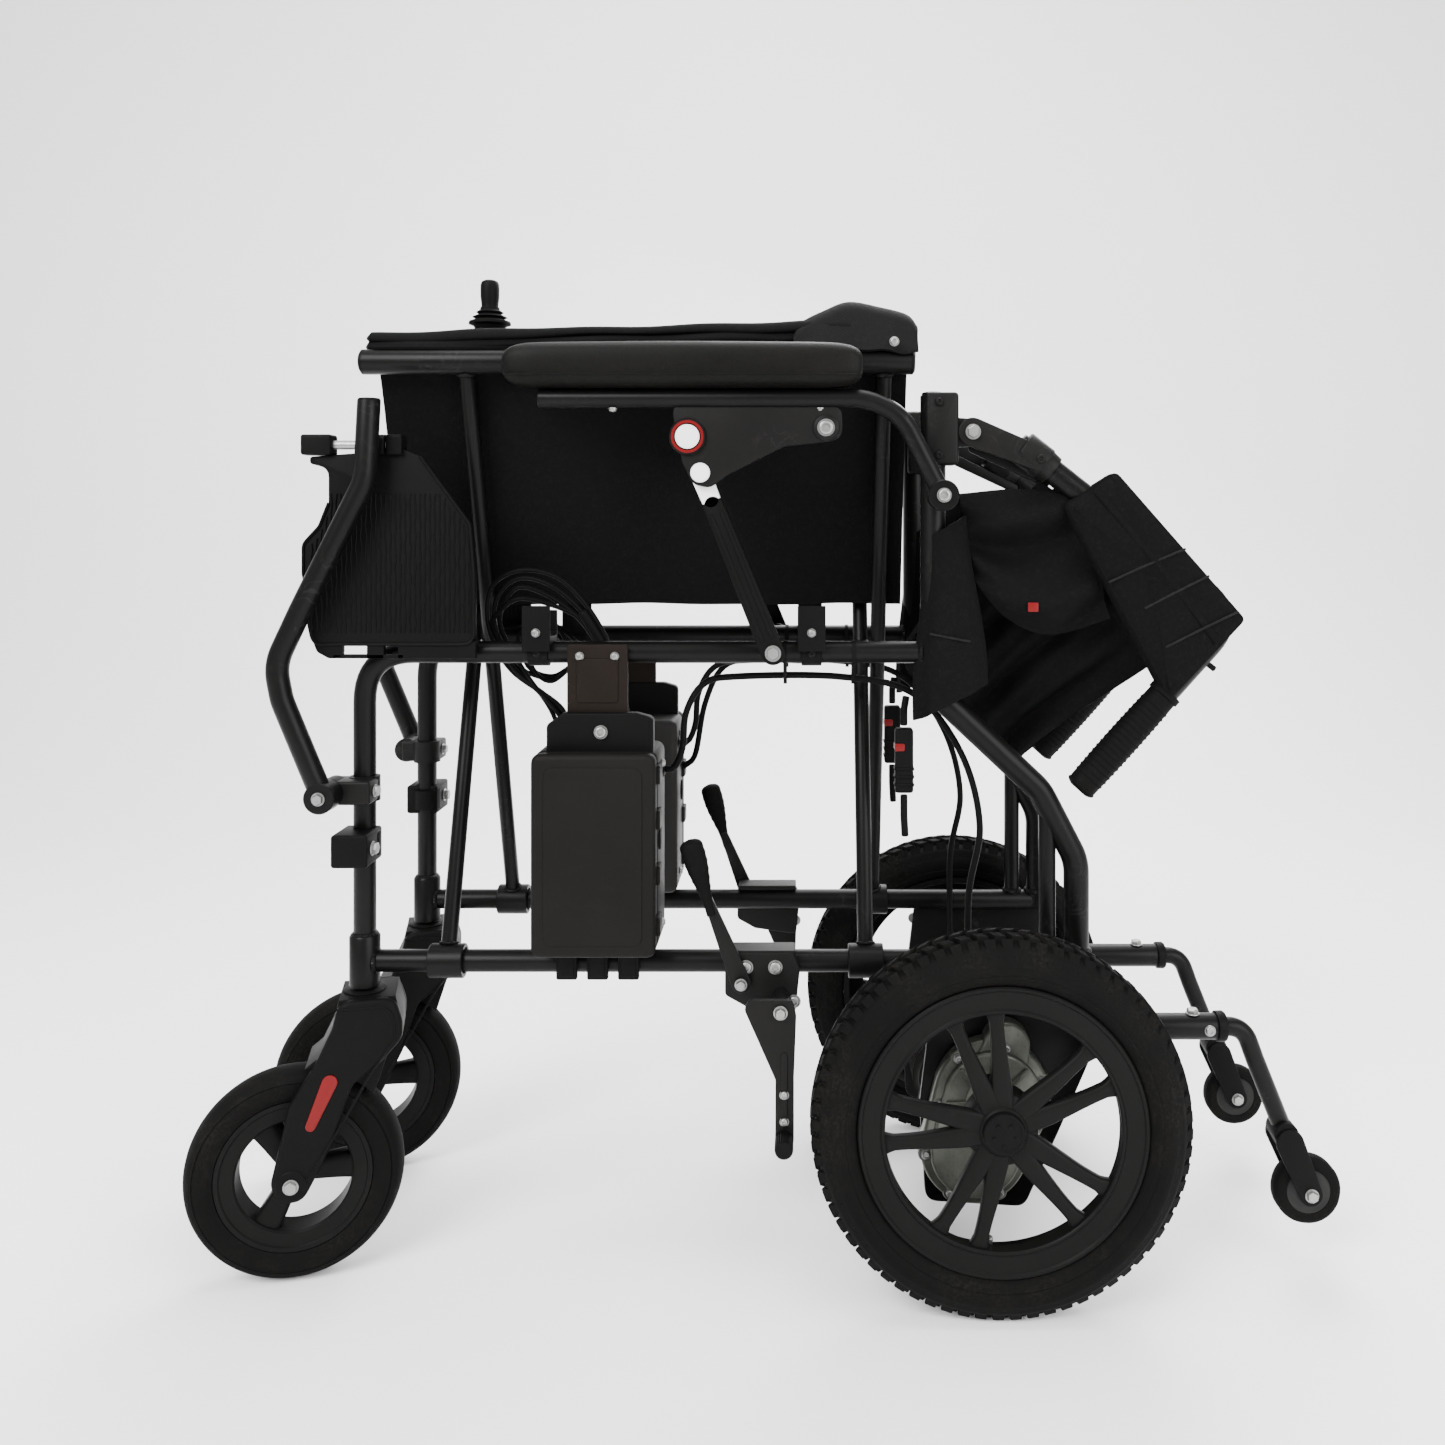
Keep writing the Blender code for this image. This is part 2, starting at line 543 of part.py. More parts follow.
def arm_plate():
    """The flat bracket under the arm tube, with a boss for the release button."""
    x, z = FRAME_LENGTH, ARM_HEIGHT - 0.004
    outline = [(x - 0.224, z), (x - 0.080, z - 0.002), (x - 0.080, z - 0.030), (x - 0.098, z - 0.033)]
    outline += [(x - 0.128, z - 0.036), (x - 0.150, z - 0.047), (x - 0.176, z - 0.060)]
    outline += [(x - 0.191, z - 0.071), (x - 0.205, z - 0.068), (x - 0.214, z - 0.050)]
    return slab(outline, OUTRIGGER - 0.003, OUTRIGGER + 0.003)


def arm_frame(front):
    """The arm's bent tube with the eye it flips back on, and its plate."""
    end = FRAME_LENGTH
    path = [(front, OUTRIGGER, ARM_HEIGHT), (end - 0.060, OUTRIGGER, ARM_HEIGHT)]
    path += [(end - 0.030, OUTRIGGER, ARM_HEIGHT - 0.0137), (ARM_PIVOT[0], OUTRIGGER, ARM_PIVOT[1])]
    eye = cross_pin(*ARM_PIVOT, OUTRIGGER - 0.009, OUTRIGGER + 0.009, 0.026, sides=EYE_SIDES)
    bore = cross_pin(*ARM_PIVOT, OUTRIGGER - 0.02, OUTRIGGER + 0.02, 0.010 + 2 * RUNNING)
    button_bore = cross_pin(*RELEASE_BUTTON, OUTRIGGER - 0.02, OUTRIGGER + 0.02, 0.0222, sides=EYE_SIDES)
    boss = cross_pin(*RELEASE_BUTTON, OUTRIGGER - 0.006, OUTRIGGER + 0.006, 0.031, sides=EYE_SIDES)
    shelf = cross_pin(*RELEASE_BUTTON, OUTRIGGER - 0.008, OUTRIGGER - 0.0045, 0.026, sides=EYE_SIDES)
    return combined(tube(path, ARM_TUBE, 0.05), [arm_plate(), eye, boss], [bore, button_bore]), shelf


def release_button():
    return cross_pin(*RELEASE_BUTTON, OUTRIGGER - 0.001, OUTRIGGER + 0.0085, 0.0205, sides=EYE_SIDES)


def arm_pad():
    low = (PAD_FRONT, OUTRIGGER - PAD_WIDTH / 2, PAD_BOTTOM)
    high = (PAD_BACK, OUTRIGGER + PAD_WIDTH / 2, PAD_TOP)
    return bevelled(block(low, high), 0.008)


def arm_strut():
    """The locking strut from the arm's plate to the outer side of the upper rail."""
    inner, outer = OUTRIGGER - 0.0115, OUTRIGGER - 0.0035
    link = slab(link_outline(STRUT_TOP, STRUT_FOOT, 0.009, 0.010), inner, outer)
    foot = cross_pin(*STRUT_FOOT, HALF + FRAME_TUBE / 2 + 0.002, inner + 0.004, 0.016)
    return combined(link, [foot])


# --- legrests ---

HANGER_PATH = ((-0.0565, 0.2734), (-0.0623, 0.3742), (-0.0411, 0.5273), (0.0130, 0.8951))
HANGER_TOP = 0.0165  # station of its upper end
PLATE_HINGE = (OUTRIGGER - 0.0200, ARM_HEIGHT - 0.0376)  # out, height
HANGER_RISE = PLATE_HINGE[1] - LEGREST_PIVOT[1]  # from pivot to hinge; the path's heights are shares of it
PLATE_DEPTH = 0.614 * HANGER_RISE  # from its hinge to its free edge
PLATE_THICKNESS = 0.008
KNUCKLE_DIAMETER = 0.018
PLATE_PIN = 0.008
HANGER_KNUCKLE = (0.007, 0.025)
HINGE_FRONT = -0.046
HINGE_BACK = 0.040


def along_x(start, end, diameter, sides=PIN_SIDES):
    out, height = PLATE_HINGE
    return bar((start, out, height), (end, out, height), diameter, sides)


def legrest_hanger():
    path = [LEGREST_PIVOT] + [(x, LEGREST_PIVOT[1] + HANGER_RISE * share) for x, share in HANGER_PATH]
    path += [(HANGER_TOP, PLATE_HINGE[1] + 0.0365)]
    hanger = tube([(x, OUTRIGGER, z) for x, z in path], LEGREST_TUBE, 0.05)
    eye = cross_pin(*LEGREST_PIVOT, OUTRIGGER - 0.0115, OUTRIGGER + 0.0095, 0.026, sides=EYE_SIDES)
    bore = cross_pin(*LEGREST_PIVOT, OUTRIGGER - 0.02, OUTRIGGER + 0.02, 0.009 + 2 * RUNNING)
    low, high = HANGER_KNUCKLE
    neck = block((low, PLATE_HINGE[0], PLATE_HINGE[1] - 0.006), (high, OUTRIGGER, PLATE_HINGE[1] + 0.006))
    added = [eye, along_x(low, high, KNUCKLE_DIAMETER), neck]
    added.append(along_x(HINGE_FRONT + 0.003, HINGE_BACK - 0.003, PLATE_PIN))
    return combined(hanger, added, [bore])


def footplate():
    """A flat plate that hangs from its hinge, with knuckles on both sides of the hanger's."""
    out, height = PLATE_HINGE
    top = height - KNUCKLE_DIAMETER / 2 - 0.001
    low, deep = height - PLATE_DEPTH, PLATE_DEPTH
    outline = [(0.040, height), (0.055, top), (0.098, low + 0.629 * deep), (0.1014, low + 0.398 * deep)]
    outline += [(0.1014, low), (-0.024, low), (-0.040, low + 0.113 * deep), (-0.042, low + 0.288 * deep)]
    outline += [(-0.046, low + 0.398 * deep), (-0.046, low + 0.535 * deep), (-0.032, low + 0.618 * deep)]
    outline += [(-0.024, low + 0.728 * deep), (-0.024, top - 0.01)]
    outline += [(HINGE_FRONT, top - 0.008), (HINGE_FRONT, height)]
    plate = slab(outline, out - PLATE_THICKNESS / 2, out + PLATE_THICKNESS / 2)
    low, high = HANGER_KNUCKLE
    gap = 0.0012
    notch_low = (low - gap, out - 0.03, height - KNUCKLE_DIAMETER / 2 - gap)
    notch = block(notch_low, (high + gap, out + 0.03, height + 0.03))
    sleeve = along_x(HINGE_FRONT, HINGE_BACK, KNUCKLE_DIAMETER)
    bore = along_x(HINGE_FRONT + 0.0015, HINGE_BACK + 0.01, PLATE_PIN + 2 * RUNNING)
    return combined(plate, [sleeve], [notch, bore])


# --- casters ---

CASTER_TRAIL = -0.056
CASTER_RADIUS = CASTER_DIAMETER / 2
CASTER_RIM = 0.064
CASTER_OPENING = 0.047
CASTER_AXLE = 0.008
FORK_TOP = FRONT_FOOT - 0.003
FORK_HALF_WIDTH = 0.031


def caster_fork():
    """One moulding over both sides of the wheel, with the stem that turns in the upright."""
    x, r = CASTER_TRAIL, CASTER_RADIUS
    outline = [(-0.019, FORK_TOP), (0.027, FORK_TOP), (0.033, FORK_TOP - 0.020), (0.033, FORK_TOP - 0.035)]
    outline += [(0.016, r + 0.096), (-0.008, r + 0.078), (-0.022, r + 0.034), (x + 0.017, r)]
    outline += [(x + 0.009, r - 0.015), (x - 0.009, r - 0.015), (x - 0.017, r), (x - 0.002, r + 0.066)]
    outline += [(-0.038, r + 0.098), (-0.024, FORK_TOP - 0.022)]
    body = slab(outline, HALF - FORK_HALF_WIDTH, HALF + FORK_HALF_WIDTH)
    slot_half = CASTER_WIDTH / 2 + SWEEP
    slot = cross_pin(x, r, HALF - slot_half, HALF + slot_half, 2 * (r + 0.005), sides=SMALL_WHEEL_SIDES)
    stem = bar((0, HALF, FORK_TOP - 0.01), (0, HALF, STEM_TOP), STEM_DIAMETER, EYE_SIDES)
    axle = cross_pin(x, r, HALF - FORK_HALF_WIDTH - 0.003, HALF + FORK_HALF_WIDTH + 0.003, CASTER_AXLE)
    return combined(combined(body, removed=[slot]), [stem, axle])


def caster_tyre():
    r, w = CASTER_RADIUS, CASTER_WIDTH / 2
    bead = CASTER_RIM + TOUCH
    profile = [(bead, -w * 0.8), (r * 0.86, -w), (r * 0.96, -w * 0.72), (r, -w * 0.3)]
    profile += [(r, w * 0.3), (r * 0.96, w * 0.72), (r * 0.86, w), (bead, w * 0.8)]
    return turned(profile, CASTER_TRAIL, r, HALF, SMALL_WHEEL_SIDES)


def spoke(angle, station, height, out, start, end, width_start, width_end, depth):
    """A tapered spoke: from the hub to the rim at this angle, flat across the wheel."""
    way = np.array([math.cos(angle), math.sin(angle)])
    across = np.array([-way[1], way[0]])
    corners = [way * start - across * width_start / 2, way * end - across * width_end / 2]
    corners += [way * end + across * width_end / 2, way * start + across * width_start / 2]
    return slab([(station + c[0], height + c[1]) for c in corners], out - depth / 2, out + depth / 2)


def caster_hub():
    r, w = CASTER_RADIUS, CASTER_WIDTH / 2
    bore = CASTER_AXLE / 2 + RUNNING
    rim = turned([(CASTER_OPENING, -w * 0.75), (CASTER_RIM, -w * 0.75), (CASTER_RIM, w * 0.75),
                  (CASTER_OPENING, w * 0.75)], CASTER_TRAIL, r, HALF, SMALL_WHEEL_SIDES)
    hub = turned([(bore, -w - 0.001), (0.015, -w - 0.001), (0.015, w + 0.001), (bore, w + 0.001)],
                 CASTER_TRAIL, r, HALF, EYE_SIDES)
    spokes = [spoke(math.radians(a), CASTER_TRAIL, r, HALF, 0.012, CASTER_OPENING + 0.004, 0.016, 0.022, w)
              for a in (2, 122, 242)]
    return combined(rim, [hub] + spokes)


# --- drive wheels ---

RIM_RADIUS = AXLE_HEIGHT * 0.755
RIM_OPENING = RIM_RADIUS - 0.022
RIM_HALF_WIDTH = 0.023
AXLE_DIAMETER = 0.015
SPOKE_PAIRS = 5
FIRST_SPOKE = math.radians(104)
SPOKE_SPREAD = math.radians(10)


def drive_tyre():
    r, w = WHEEL_DIAMETER / 2, WHEEL_WIDTH / 2
    bead = RIM_RADIUS + TOUCH
    profile = [(bead, -w * 0.75), (r * 0.86, -w), (r * 0.95, -w * 0.88), (r, -w * 0.5)]
    profile += [(r, w * 0.5), (r * 0.95, w * 0.88), (r * 0.86, w), (bead, w * 0.75)]
    return turned(profile, AXLE_STATION, AXLE_HEIGHT, WHEEL_OUT)


def drive_rim():
    w, bore = RIM_HALF_WIDTH, AXLE_DIAMETER / 2 + RUNNING
    centre = (AXLE_STATION, AXLE_HEIGHT, WHEEL_OUT)
    rim = turned([(RIM_RADIUS - 0.006, -w), (RIM_RADIUS, -w), (RIM_RADIUS, w), (RIM_OPENING, w),
                  (RIM_OPENING, w - 0.012), (RIM_RADIUS - 0.006, w - 0.016)], *centre)
    hub = turned([(bore, w - 0.026), (0.030, w - 0.026), (0.030, w - 0.004), (0.018, w), (bore, w)],
                 *centre, SMALL_WHEEL_SIDES)
    spokes = []
    for k in range(SPOKE_PAIRS):
        for sign in (-1, 1):
            angle = FIRST_SPOKE + 2 * math.pi * k / SPOKE_PAIRS + sign * SPOKE_SPREAD
            spokes.append(spoke(angle, AXLE_STATION, AXLE_HEIGHT, WHEEL_OUT + w - 0.009, 0.022,
                                RIM_OPENING + 0.004, 0.012, 0.011, 0.010))
    return combined(rim, [hub] + spokes)


def drive_motor():
    """Gear case against the axle plate, motor body through it and the wheel's axle."""
    inner, outer = PLATE_OUTER + TOUCH, WHEEL_OUT - RIM_HALF_WIDTH - 0.008
    axle_centre = (AXLE_STATION, AXLE_HEIGHT)
    case = slab(link_outline(axle_centre, MOTOR_CENTRE, 0.050, 0.046, 12), inner, outer)
    lobe = slab(link_outline(axle_centre, (AXLE_STATION + 0.012, AXLE_HEIGHT + 0.045), 0.03, 0.02, 8),
                inner, outer - 0.004)
    can = cross_pin(*MOTOR_CENTRE, 0.016, inner + 0.004, MOTOR_DIAMETER, sides=SMALL_WHEEL_SIDES)
    end = WHEEL_OUT + RIM_HALF_WIDTH + 0.006
    axle = cross_pin(*axle_centre, outer - 0.004, end, AXLE_DIAMETER, sides=EYE_SIDES)
    return combined(case, [lobe, can, axle])


# --- anti-tip wheels ---

TIP_WHEEL_RADIUS = 0.029
TIP_AXLE = (RECEIVER_END + 0.070, 0.066)
TIP_WHEEL_WIDTH = 0.018


def antitip_tube():
    """Plugs into the receiver and bends down to a clevis for its small wheel."""
    x, z = TIP_AXLE
    path = [(RECEIVER_END - 0.045, RECEIVER_HEIGHT), (RECEIVER_END + 0.016, RECEIVER_HEIGHT)]
    path += [(RECEIVER_END + 0.026, RECEIVER_HEIGHT - 0.028), (x - 0.015, z + 0.038)]
    stem = tube([(a, HALF, b) for a, b in path], TIP_TUBE, 0.012)
    half = TIP_WHEEL_WIDTH / 2 + 0.0015
    outline = link_outline((x - 0.018, z + 0.044), (x, z), 0.012, 0.010)
    cheeks = slab(outline, HALF - half - 0.004, HALF + half + 0.004)
    slot = cross_pin(x, z, HALF - half, HALF + half, 2 * (TIP_WHEEL_RADIUS + 0.003), sides=16)
    axle = cross_pin(x, z, HALF - half - 0.005, HALF + half + 0.005, 0.006)
    return combined(combined(stem, [cheeks], [slot]), [axle])


def antitip_wheel():
    bore, w = 0.003 + RUNNING, TIP_WHEEL_WIDTH / 2
    profile = [(bore, -w), (TIP_WHEEL_RADIUS - 0.004, -w), (TIP_WHEEL_RADIUS, -w + 0.004)]
    profile += [(TIP_WHEEL_RADIUS, w - 0.004), (TIP_WHEEL_RADIUS - 0.004, w), (bore, w)]
    return turned(profile, TIP_AXLE[0], TIP_AXLE[1], HALF, 16)


# --- battery and controller boxes ---

BOX_TOP = UPPER_RAIL_HEIGHT - 0.082
BOX_DEPTH = 0.080
BOX_BOTTOM = LOWER_RAIL_HEIGHT + FRAME_TUBE / 2 + 0.0055
BOX_OUTER = HALF + 0.043


def side_box():
    """A box on the lower rail, hooked round it below and hung from the upper rail above."""
    front, back = BOX_FRONT, BOX_BACK
    shell = bevelled(block((front, BOX_OUTER - BOX_DEPTH, BOX_BOTTOM), (back, BOX_OUTER, BOX_TOP)), 0.007)
    inner = HALF + FRAME_TUBE / 2 + 0.0008
    middle = (front + back) / 2
    added = []
    strap = (back - front) / 4
    for station in (front + strap, middle, back - strap):
        clip_low = (station - 0.009, inner, LOWER_RAIL_HEIGHT - 0.0115)
        added.append(block(clip_low, (station + 0.009, inner + 0.006, BOX_BOTTOM + 0.01)))
    low, high = BOX_TOP - 0.010, BOX_TOP + 0.032
    neck = [(front + 0.010, low), (back - 0.004, low), (back - 0.004, high - 0.004)]
    neck += [(back - 0.018, high), (front + 0.024, high), (front + 0.010, high - 0.010)]
    added.append(slab(neck, inner, inner + 0.012))
    low = (middle - strap, inner + 0.002, BOX_TOP + 0.02)
    high = (middle + strap, inner + 0.006, UPPER_RAIL_HEIGHT + 0.008)
    added.append(block(low, high))
    return combined(shell, added)


# --- parking brakes ---

BRAKE_STATION = AXLE_STATION - AXLE_HEIGHT - 0.024  # of the arm's pivot
ARM_PIN = (BRAKE_STATION, LOWER_RAIL_HEIGHT - 0.023)
LEVER_PIN = (BRAKE_STATION - 0.034, LOWER_RAIL_HEIGHT - 0.011)
SHOE_OUT = WHEEL_OUT - 0.012
SHOE_HEIGHT = AXLE_HEIGHT - 0.020


def brake_bracket():
    """Two plates on a block clamped to the lower rail, with a pin each for lever and arm."""
    low = HALF + FRAME_TUBE / 2 + TOUCH
    x, z = BRAKE_STATION, LOWER_RAIL_HEIGHT
    outline = [(x - 0.048, z - 0.001), (x - 0.048, z - 0.023), (x - 0.030, z - 0.033), (x + 0.012, z - 0.039)]
    outline += [(x + 0.016, z - 0.001), (x + 0.010, z + 0.013), (x - 0.044, z + 0.013)]
    body = slab(outline, low, low + 0.010)
    arm_pin = cross_pin(*ARM_PIN, low + 0.005, SHOE_OUT + 0.010, 0.008)
    lever_pin = cross_pin(*LEVER_PIN, low + 0.005, low + 0.024, 0.008)
    return combined(body, [arm_pin, lever_pin])


def brake_lever():
    low = HALF + FRAME_TUBE / 2 + TOUCH + 0.011
    grip_end = (LEVER_PIN[0] - 0.044, LEVER_PIN[1] + 0.122)
    neck = (LEVER_PIN[0] - 0.028, LEVER_PIN[1] + 0.070)
    blade = slab(link_outline(LEVER_PIN, neck, 0.010, 0.005), low, low + 0.005)
    middle = low + 0.004
    grip = bar((neck[0] + 0.003, middle, neck[1] - 0.012), (grip_end[0], middle, grip_end[1]), 0.018)
    bore = cross_pin(*LEVER_PIN, low - 0.01, low + 0.02, 0.008 + 2 * RUNNING)
    return combined(blade, [grip], [bore])


def brake_shoe():
    """The arm that swings its roller against the tyre."""
    foot = (BRAKE_STATION + 0.003, SHOE_HEIGHT)
    blade = slab(link_outline(ARM_PIN, foot, 0.010, 0.008), SHOE_OUT - 0.003, SHOE_OUT + 0.003)
    roller = cross_pin(*foot, SHOE_OUT - 0.012, SHOE_OUT + 0.022, 0.015)
    bore = cross_pin(*ARM_PIN, SHOE_OUT - 0.02, SHOE_OUT + 0.03, 0.008 + 2 * RUNNING)
    return combined(blade, [roller], [bore])


# --- joystick on the right arm ---

JOYSTICK = (0.0543, OUTRIGGER)  # station and out of the stick
HOUSING_FRONT = 0.012
HOUSING_BACK = PAD_FRONT - 0.004
HOUSING_BOTTOM = PAD_BOTTOM
HOUSING_TOP = HOUSING_BOTTOM + 0.083
HOUSING_WIDTH = 0.048
STICK_PIVOT = HOUSING_TOP - 0.0165
KNOB_TOP = HOUSING_TOP + 0.0595
WELL_DIAMETER = 0.040
POWER_BUTTON = (0.098, OUTRIGGER)


def upright_bar(centre, low, high, diameter, sides=PIN_SIDES):
    station, out = centre
    return bar((station, out, low), (station, out, high), diameter, sides)


def joystick_housing():
    low = (HOUSING_FRONT, OUTRIGGER - HOUSING_WIDTH / 2, HOUSING_BOTTOM)
    high = (HOUSING_BACK, OUTRIGGER + HOUSING_WIDTH / 2, HOUSING_TOP)
    shell = bevelled(block(low, high), 0.008)
    well = upright_bar(JOYSTICK, HOUSING_TOP - 0.040, HOUSING_TOP + 0.01, WELL_DIAMETER, EYE_SIDES)
    button_well = upright_bar(POWER_BUTTON, HOUSING_TOP - 0.010, HOUSING_TOP + 0.01, 0.015, EYE_SIDES)
    return combined(shell, removed=[well, button_well])


def joystick_gimbal():
    """The ring that tilts fore and aft, with the stick's side pins through it."""
    ring = upright_bar(JOYSTICK, STICK_PIVOT - 0.003, STICK_PIVOT + 0.003, 0.031, EYE_SIDES)
    hole = upright_bar(JOYSTICK, STICK_PIVOT - 0.01, STICK_PIVOT + 0.01, 0.024, EYE_SIDES)
    return combined(ring, removed=[hole])


def joystick_stick():
    ball = upright_bar(JOYSTICK, STICK_PIVOT - 0.007, STICK_PIVOT + 0.007, 0.016)
    stem = upright_bar(JOYSTICK, STICK_PIVOT, KNOB_TOP - 0.02, 0.009)
    boot = upright_bar(JOYSTICK, HOUSING_TOP + 0.006, HOUSING_TOP + 0.018, 0.034, EYE_SIDES)
    knob = upright_bar(JOYSTICK, KNOB_TOP - 0.030, KNOB_TOP, 0.0146, EYE_SIDES)
    return combined(ball, [stem, boot, knob])


def power_button():
    return upright_bar(POWER_BUTTON, HOUSING_TOP - 0.008, HOUSING_TOP + 0.0025, 0.0135, EYE_SIDES)


# --- cables, each clipped at both ends ---

CABLE = 0.006
CABLE_GAP = 0.0015  # at each end, between the cable and its socket


def smooth_route(points, spacing):
    """Points at an even spacing along a smooth curve through the route's own points."""
    points = np.array(points, float)
    padded = np.vstack([2 * points[0] - points[1], points, 2 * points[-1] - points[-2]])
    fine = []
    for p0, p1, p2, p3 in zip(padded, padded[1:], padded[2:], padded[3:]):
        for t in np.linspace(0, 1, 24, endpoint=False):
            fine.append(0.5 * (2 * p1 + (p2 - p0) * t + (2 * p0 - 5 * p1 + 4 * p2 - p3) * t**2
                               + (3 * p1 - p0 - 3 * p2 + p3) * t**3))
    fine = np.array(fine + [points[-1]])
    travelled = np.concatenate([[0], np.cumsum(np.linalg.norm(np.diff(fine, axis=0), axis=1))])
    even = np.linspace(0, travelled[-1], max(2, round(travelled[-1] / spacing)) + 1)
    return np.stack([np.interp(even, travelled, fine[:, i]) for i in range(3)], axis=1)


def cable(points):
    """A round cable as a curve with filled caps."""
    route = smooth_route(points, 3 * CABLE)
    curve = bpy.data.curves.new("shape", "CURVE")
    curve.dimensions = "3D"
    curve.bevel_depth = CABLE / 2
    curve.bevel_resolution = 2
    curve.use_fill_caps = True
    spline = curve.splines.new("POLY")
    spline.points.add(len(route) - 1)
    for place, point in zip(spline.points, route):
        place.co = (*point, 1)
    guide = bpy.data.objects.new("shape", curve)
    bpy.context.scene.collection.objects.link(guide)
    graph = bpy.context.evaluated_depsgraph_get()
    mesh = bpy.data.meshes.new_from_object(guide.evaluated_get(graph))
    bpy.data.objects.remove(guide, do_unlink=True)
    work = bmesh.new()
    work.from_mesh(mesh)
    bmesh.ops.remove_doubles(work, verts=work.verts, dist=1e-6)
    bmesh.ops.recalc_face_normals(work, faces=work.faces)
    work.to_mesh(mesh)
    work.free()
    obj = bpy.data.objects.new("shape", mesh)
    bpy.context.scene.collection.objects.link(obj)
    return obj


def motor_cable():
    """From the side box back under the upper rail, then down in a slack bow to the motor."""
    end, inside, back = FRAME_LENGTH, HALF - 0.023, BOX_BACK
    x, z = MOTOR_CENTRE
    rail, low = UPPER_RAIL_HEIGHT, LOWER_RAIL_HEIGHT
    route = [(back + CABLE_GAP, inside, BOX_TOP - 0.024), (back + 0.016, inside, BOX_TOP - 0.022)]
    route += [(back + 0.043, inside, rail - 0.061), (back + 0.078, inside, rail - 0.033)]
    route += [(end - 0.080, inside, rail - 0.025), (end - 0.015, inside, rail - 0.039)]
    route += [(end + 0.027, inside, rail - 0.091), (end + 0.044, inside, rail - 0.156)]
    route += [(end + 0.034, inside, low + 0.047), (x + 0.002, inside - 0.002, z + 0.090)]
    route += [(x, inside - 0.004, z + MOTOR_DIAMETER / 2 + CABLE_GAP)]
    return cable(route)


def joystick_cable():
    """From under the joystick housing along the inside of the arm to its pivot."""
    end, side, low, pivot = FRAME_LENGTH, OUTRIGGER - 0.0135, HOUSING_BOTTOM, ARM_PIVOT_HEIGHT
    route = [(HOUSING_BACK - 0.040, side, low - CABLE / 2 - TOUCH)]
    route += [(HOUSING_BACK - 0.0395, side, low - 0.0075), (HOUSING_BACK - 0.033, side, low - 0.011)]
    route += [(HOUSING_BACK - 0.015, side, low - 0.012), (HOUSING_BACK + 0.0335, side, low - 0.0115)]
    route += [(HOUSING_BACK + 0.0735, side, low - 0.0115), (end - 0.130, side, low - 0.0115)]
    route += [(end - 0.070, side, low - 0.0125), (end - 0.040, side, low - 0.0255)]
    route += [(end - 0.020, side, pivot + 0.034), (end - 0.014, side, pivot + 0.014)]
    return cable(route)


def joystick_lead():
    """Carries on from the arm's pivot, down outside the frame and forward to the controller box."""
    end, side, back = FRAME_LENGTH, OUTRIGGER - 0.0135, BOX_BACK
    outside = HALF + FRAME_TUBE / 2 + CABLE / 2 + 0.002
    pivot, rail = ARM_PIVOT_HEIGHT, UPPER_RAIL_HEIGHT
    route = [(end - 0.0137, side, pivot + 0.014 - CABLE / 2), (end - 0.0150, side - 0.003, pivot - 0.011)]
    route += [(end - 0.0190, outside + 0.003, pivot - 0.046), (end - 0.0270, outside, rail + 0.044)]
    route += [(end - 0.042, outside, rail + 0.002), (end - 0.066, outside, rail - 0.026)]
    route += [(end - 0.110, outside, rail - 0.041), (back + 0.078, outside, rail - 0.053)]
    route += [(back + 0.043, outside - 0.001, rail - 0.081), (back + 0.020, outside - 0.004, BOX_TOP - 0.047)]
    route += [(back + CABLE_GAP, outside - 0.004, BOX_TOP - 0.054)]
    return cable(route)


# --- the whole chair ---


def build_frame():
    frame_pivot = (0, HALF, LOWER_RAIL_HEIGHT)
    pair("side_frame", side_frame(), BLACK_PAINT, frame_pivot)
    pair("battery_box", side_box(), BLACK_PLASTIC)
    rail_pivot = (REAR_BRACE, 0, CENTRE_HEIGHT)
    single("left_cross_brace", cross_brace(0), BLACK_PAINT, -1, rail_pivot)
    foot_pivot = (REAR_BRACE, -HALF, LOWER_RAIL_HEIGHT)
    single("right_cross_brace", cross_brace(-BRACE_STEP), BLACK_PAINT, 1, foot_pivot)
    single("front_brace_pivot", brace_pivot(FRONT_BRACE), ZINC)
    single("rear_brace_pivot", brace_pivot(REAR_BRACE), ZINC)
    pair("seat_panel", seat_panel(), CLOTH, (0, HALF, SEAT_RAIL_HEIGHT))


def build_back():
    hinge = (HINGE_PIVOT[0], HALF, HINGE_PIVOT[1])
    cane, slim = back_cane()
    pair("back_cane", combined(cane, [slim]), BLACK_PAINT, hinge)
    pair("push_grip", push_grip(), RUBBER, hinge)
    pair("back_panel", back_panel(), CLOTH, (CANE_FOOT.x, HALF, CANE_FOOT.z))
    pair("back_flap", back_flap(), CLOTH)


def build_arms():
    pivot = (ARM_PIVOT[0], OUTRIGGER, ARM_PIVOT[1])
    frame, shelf = arm_frame(ARM_FRONT)
    pair("arm_frame", combined(frame, [shelf]), BLACK_PAINT, pivot)
    pair("arm_pad", arm_pad(), PAD_VINYL, pivot)
    pair("arm_strut", arm_strut(), BLACK_PLASTIC, pivot)
    pair("arm_button", release_button(), WHITE_PLASTIC, (RELEASE_BUTTON[0], OUTRIGGER, RELEASE_BUTTON[1]))


def build_legrests():
    pivot = (LEGREST_PIVOT[0], OUTRIGGER, LEGREST_PIVOT[1])
    pair("legrest_hanger", legrest_hanger(), BLACK_PAINT, pivot)
    pair("footplate", footplate(), BLACK_PLASTIC, (0.016, *PLATE_HINGE))


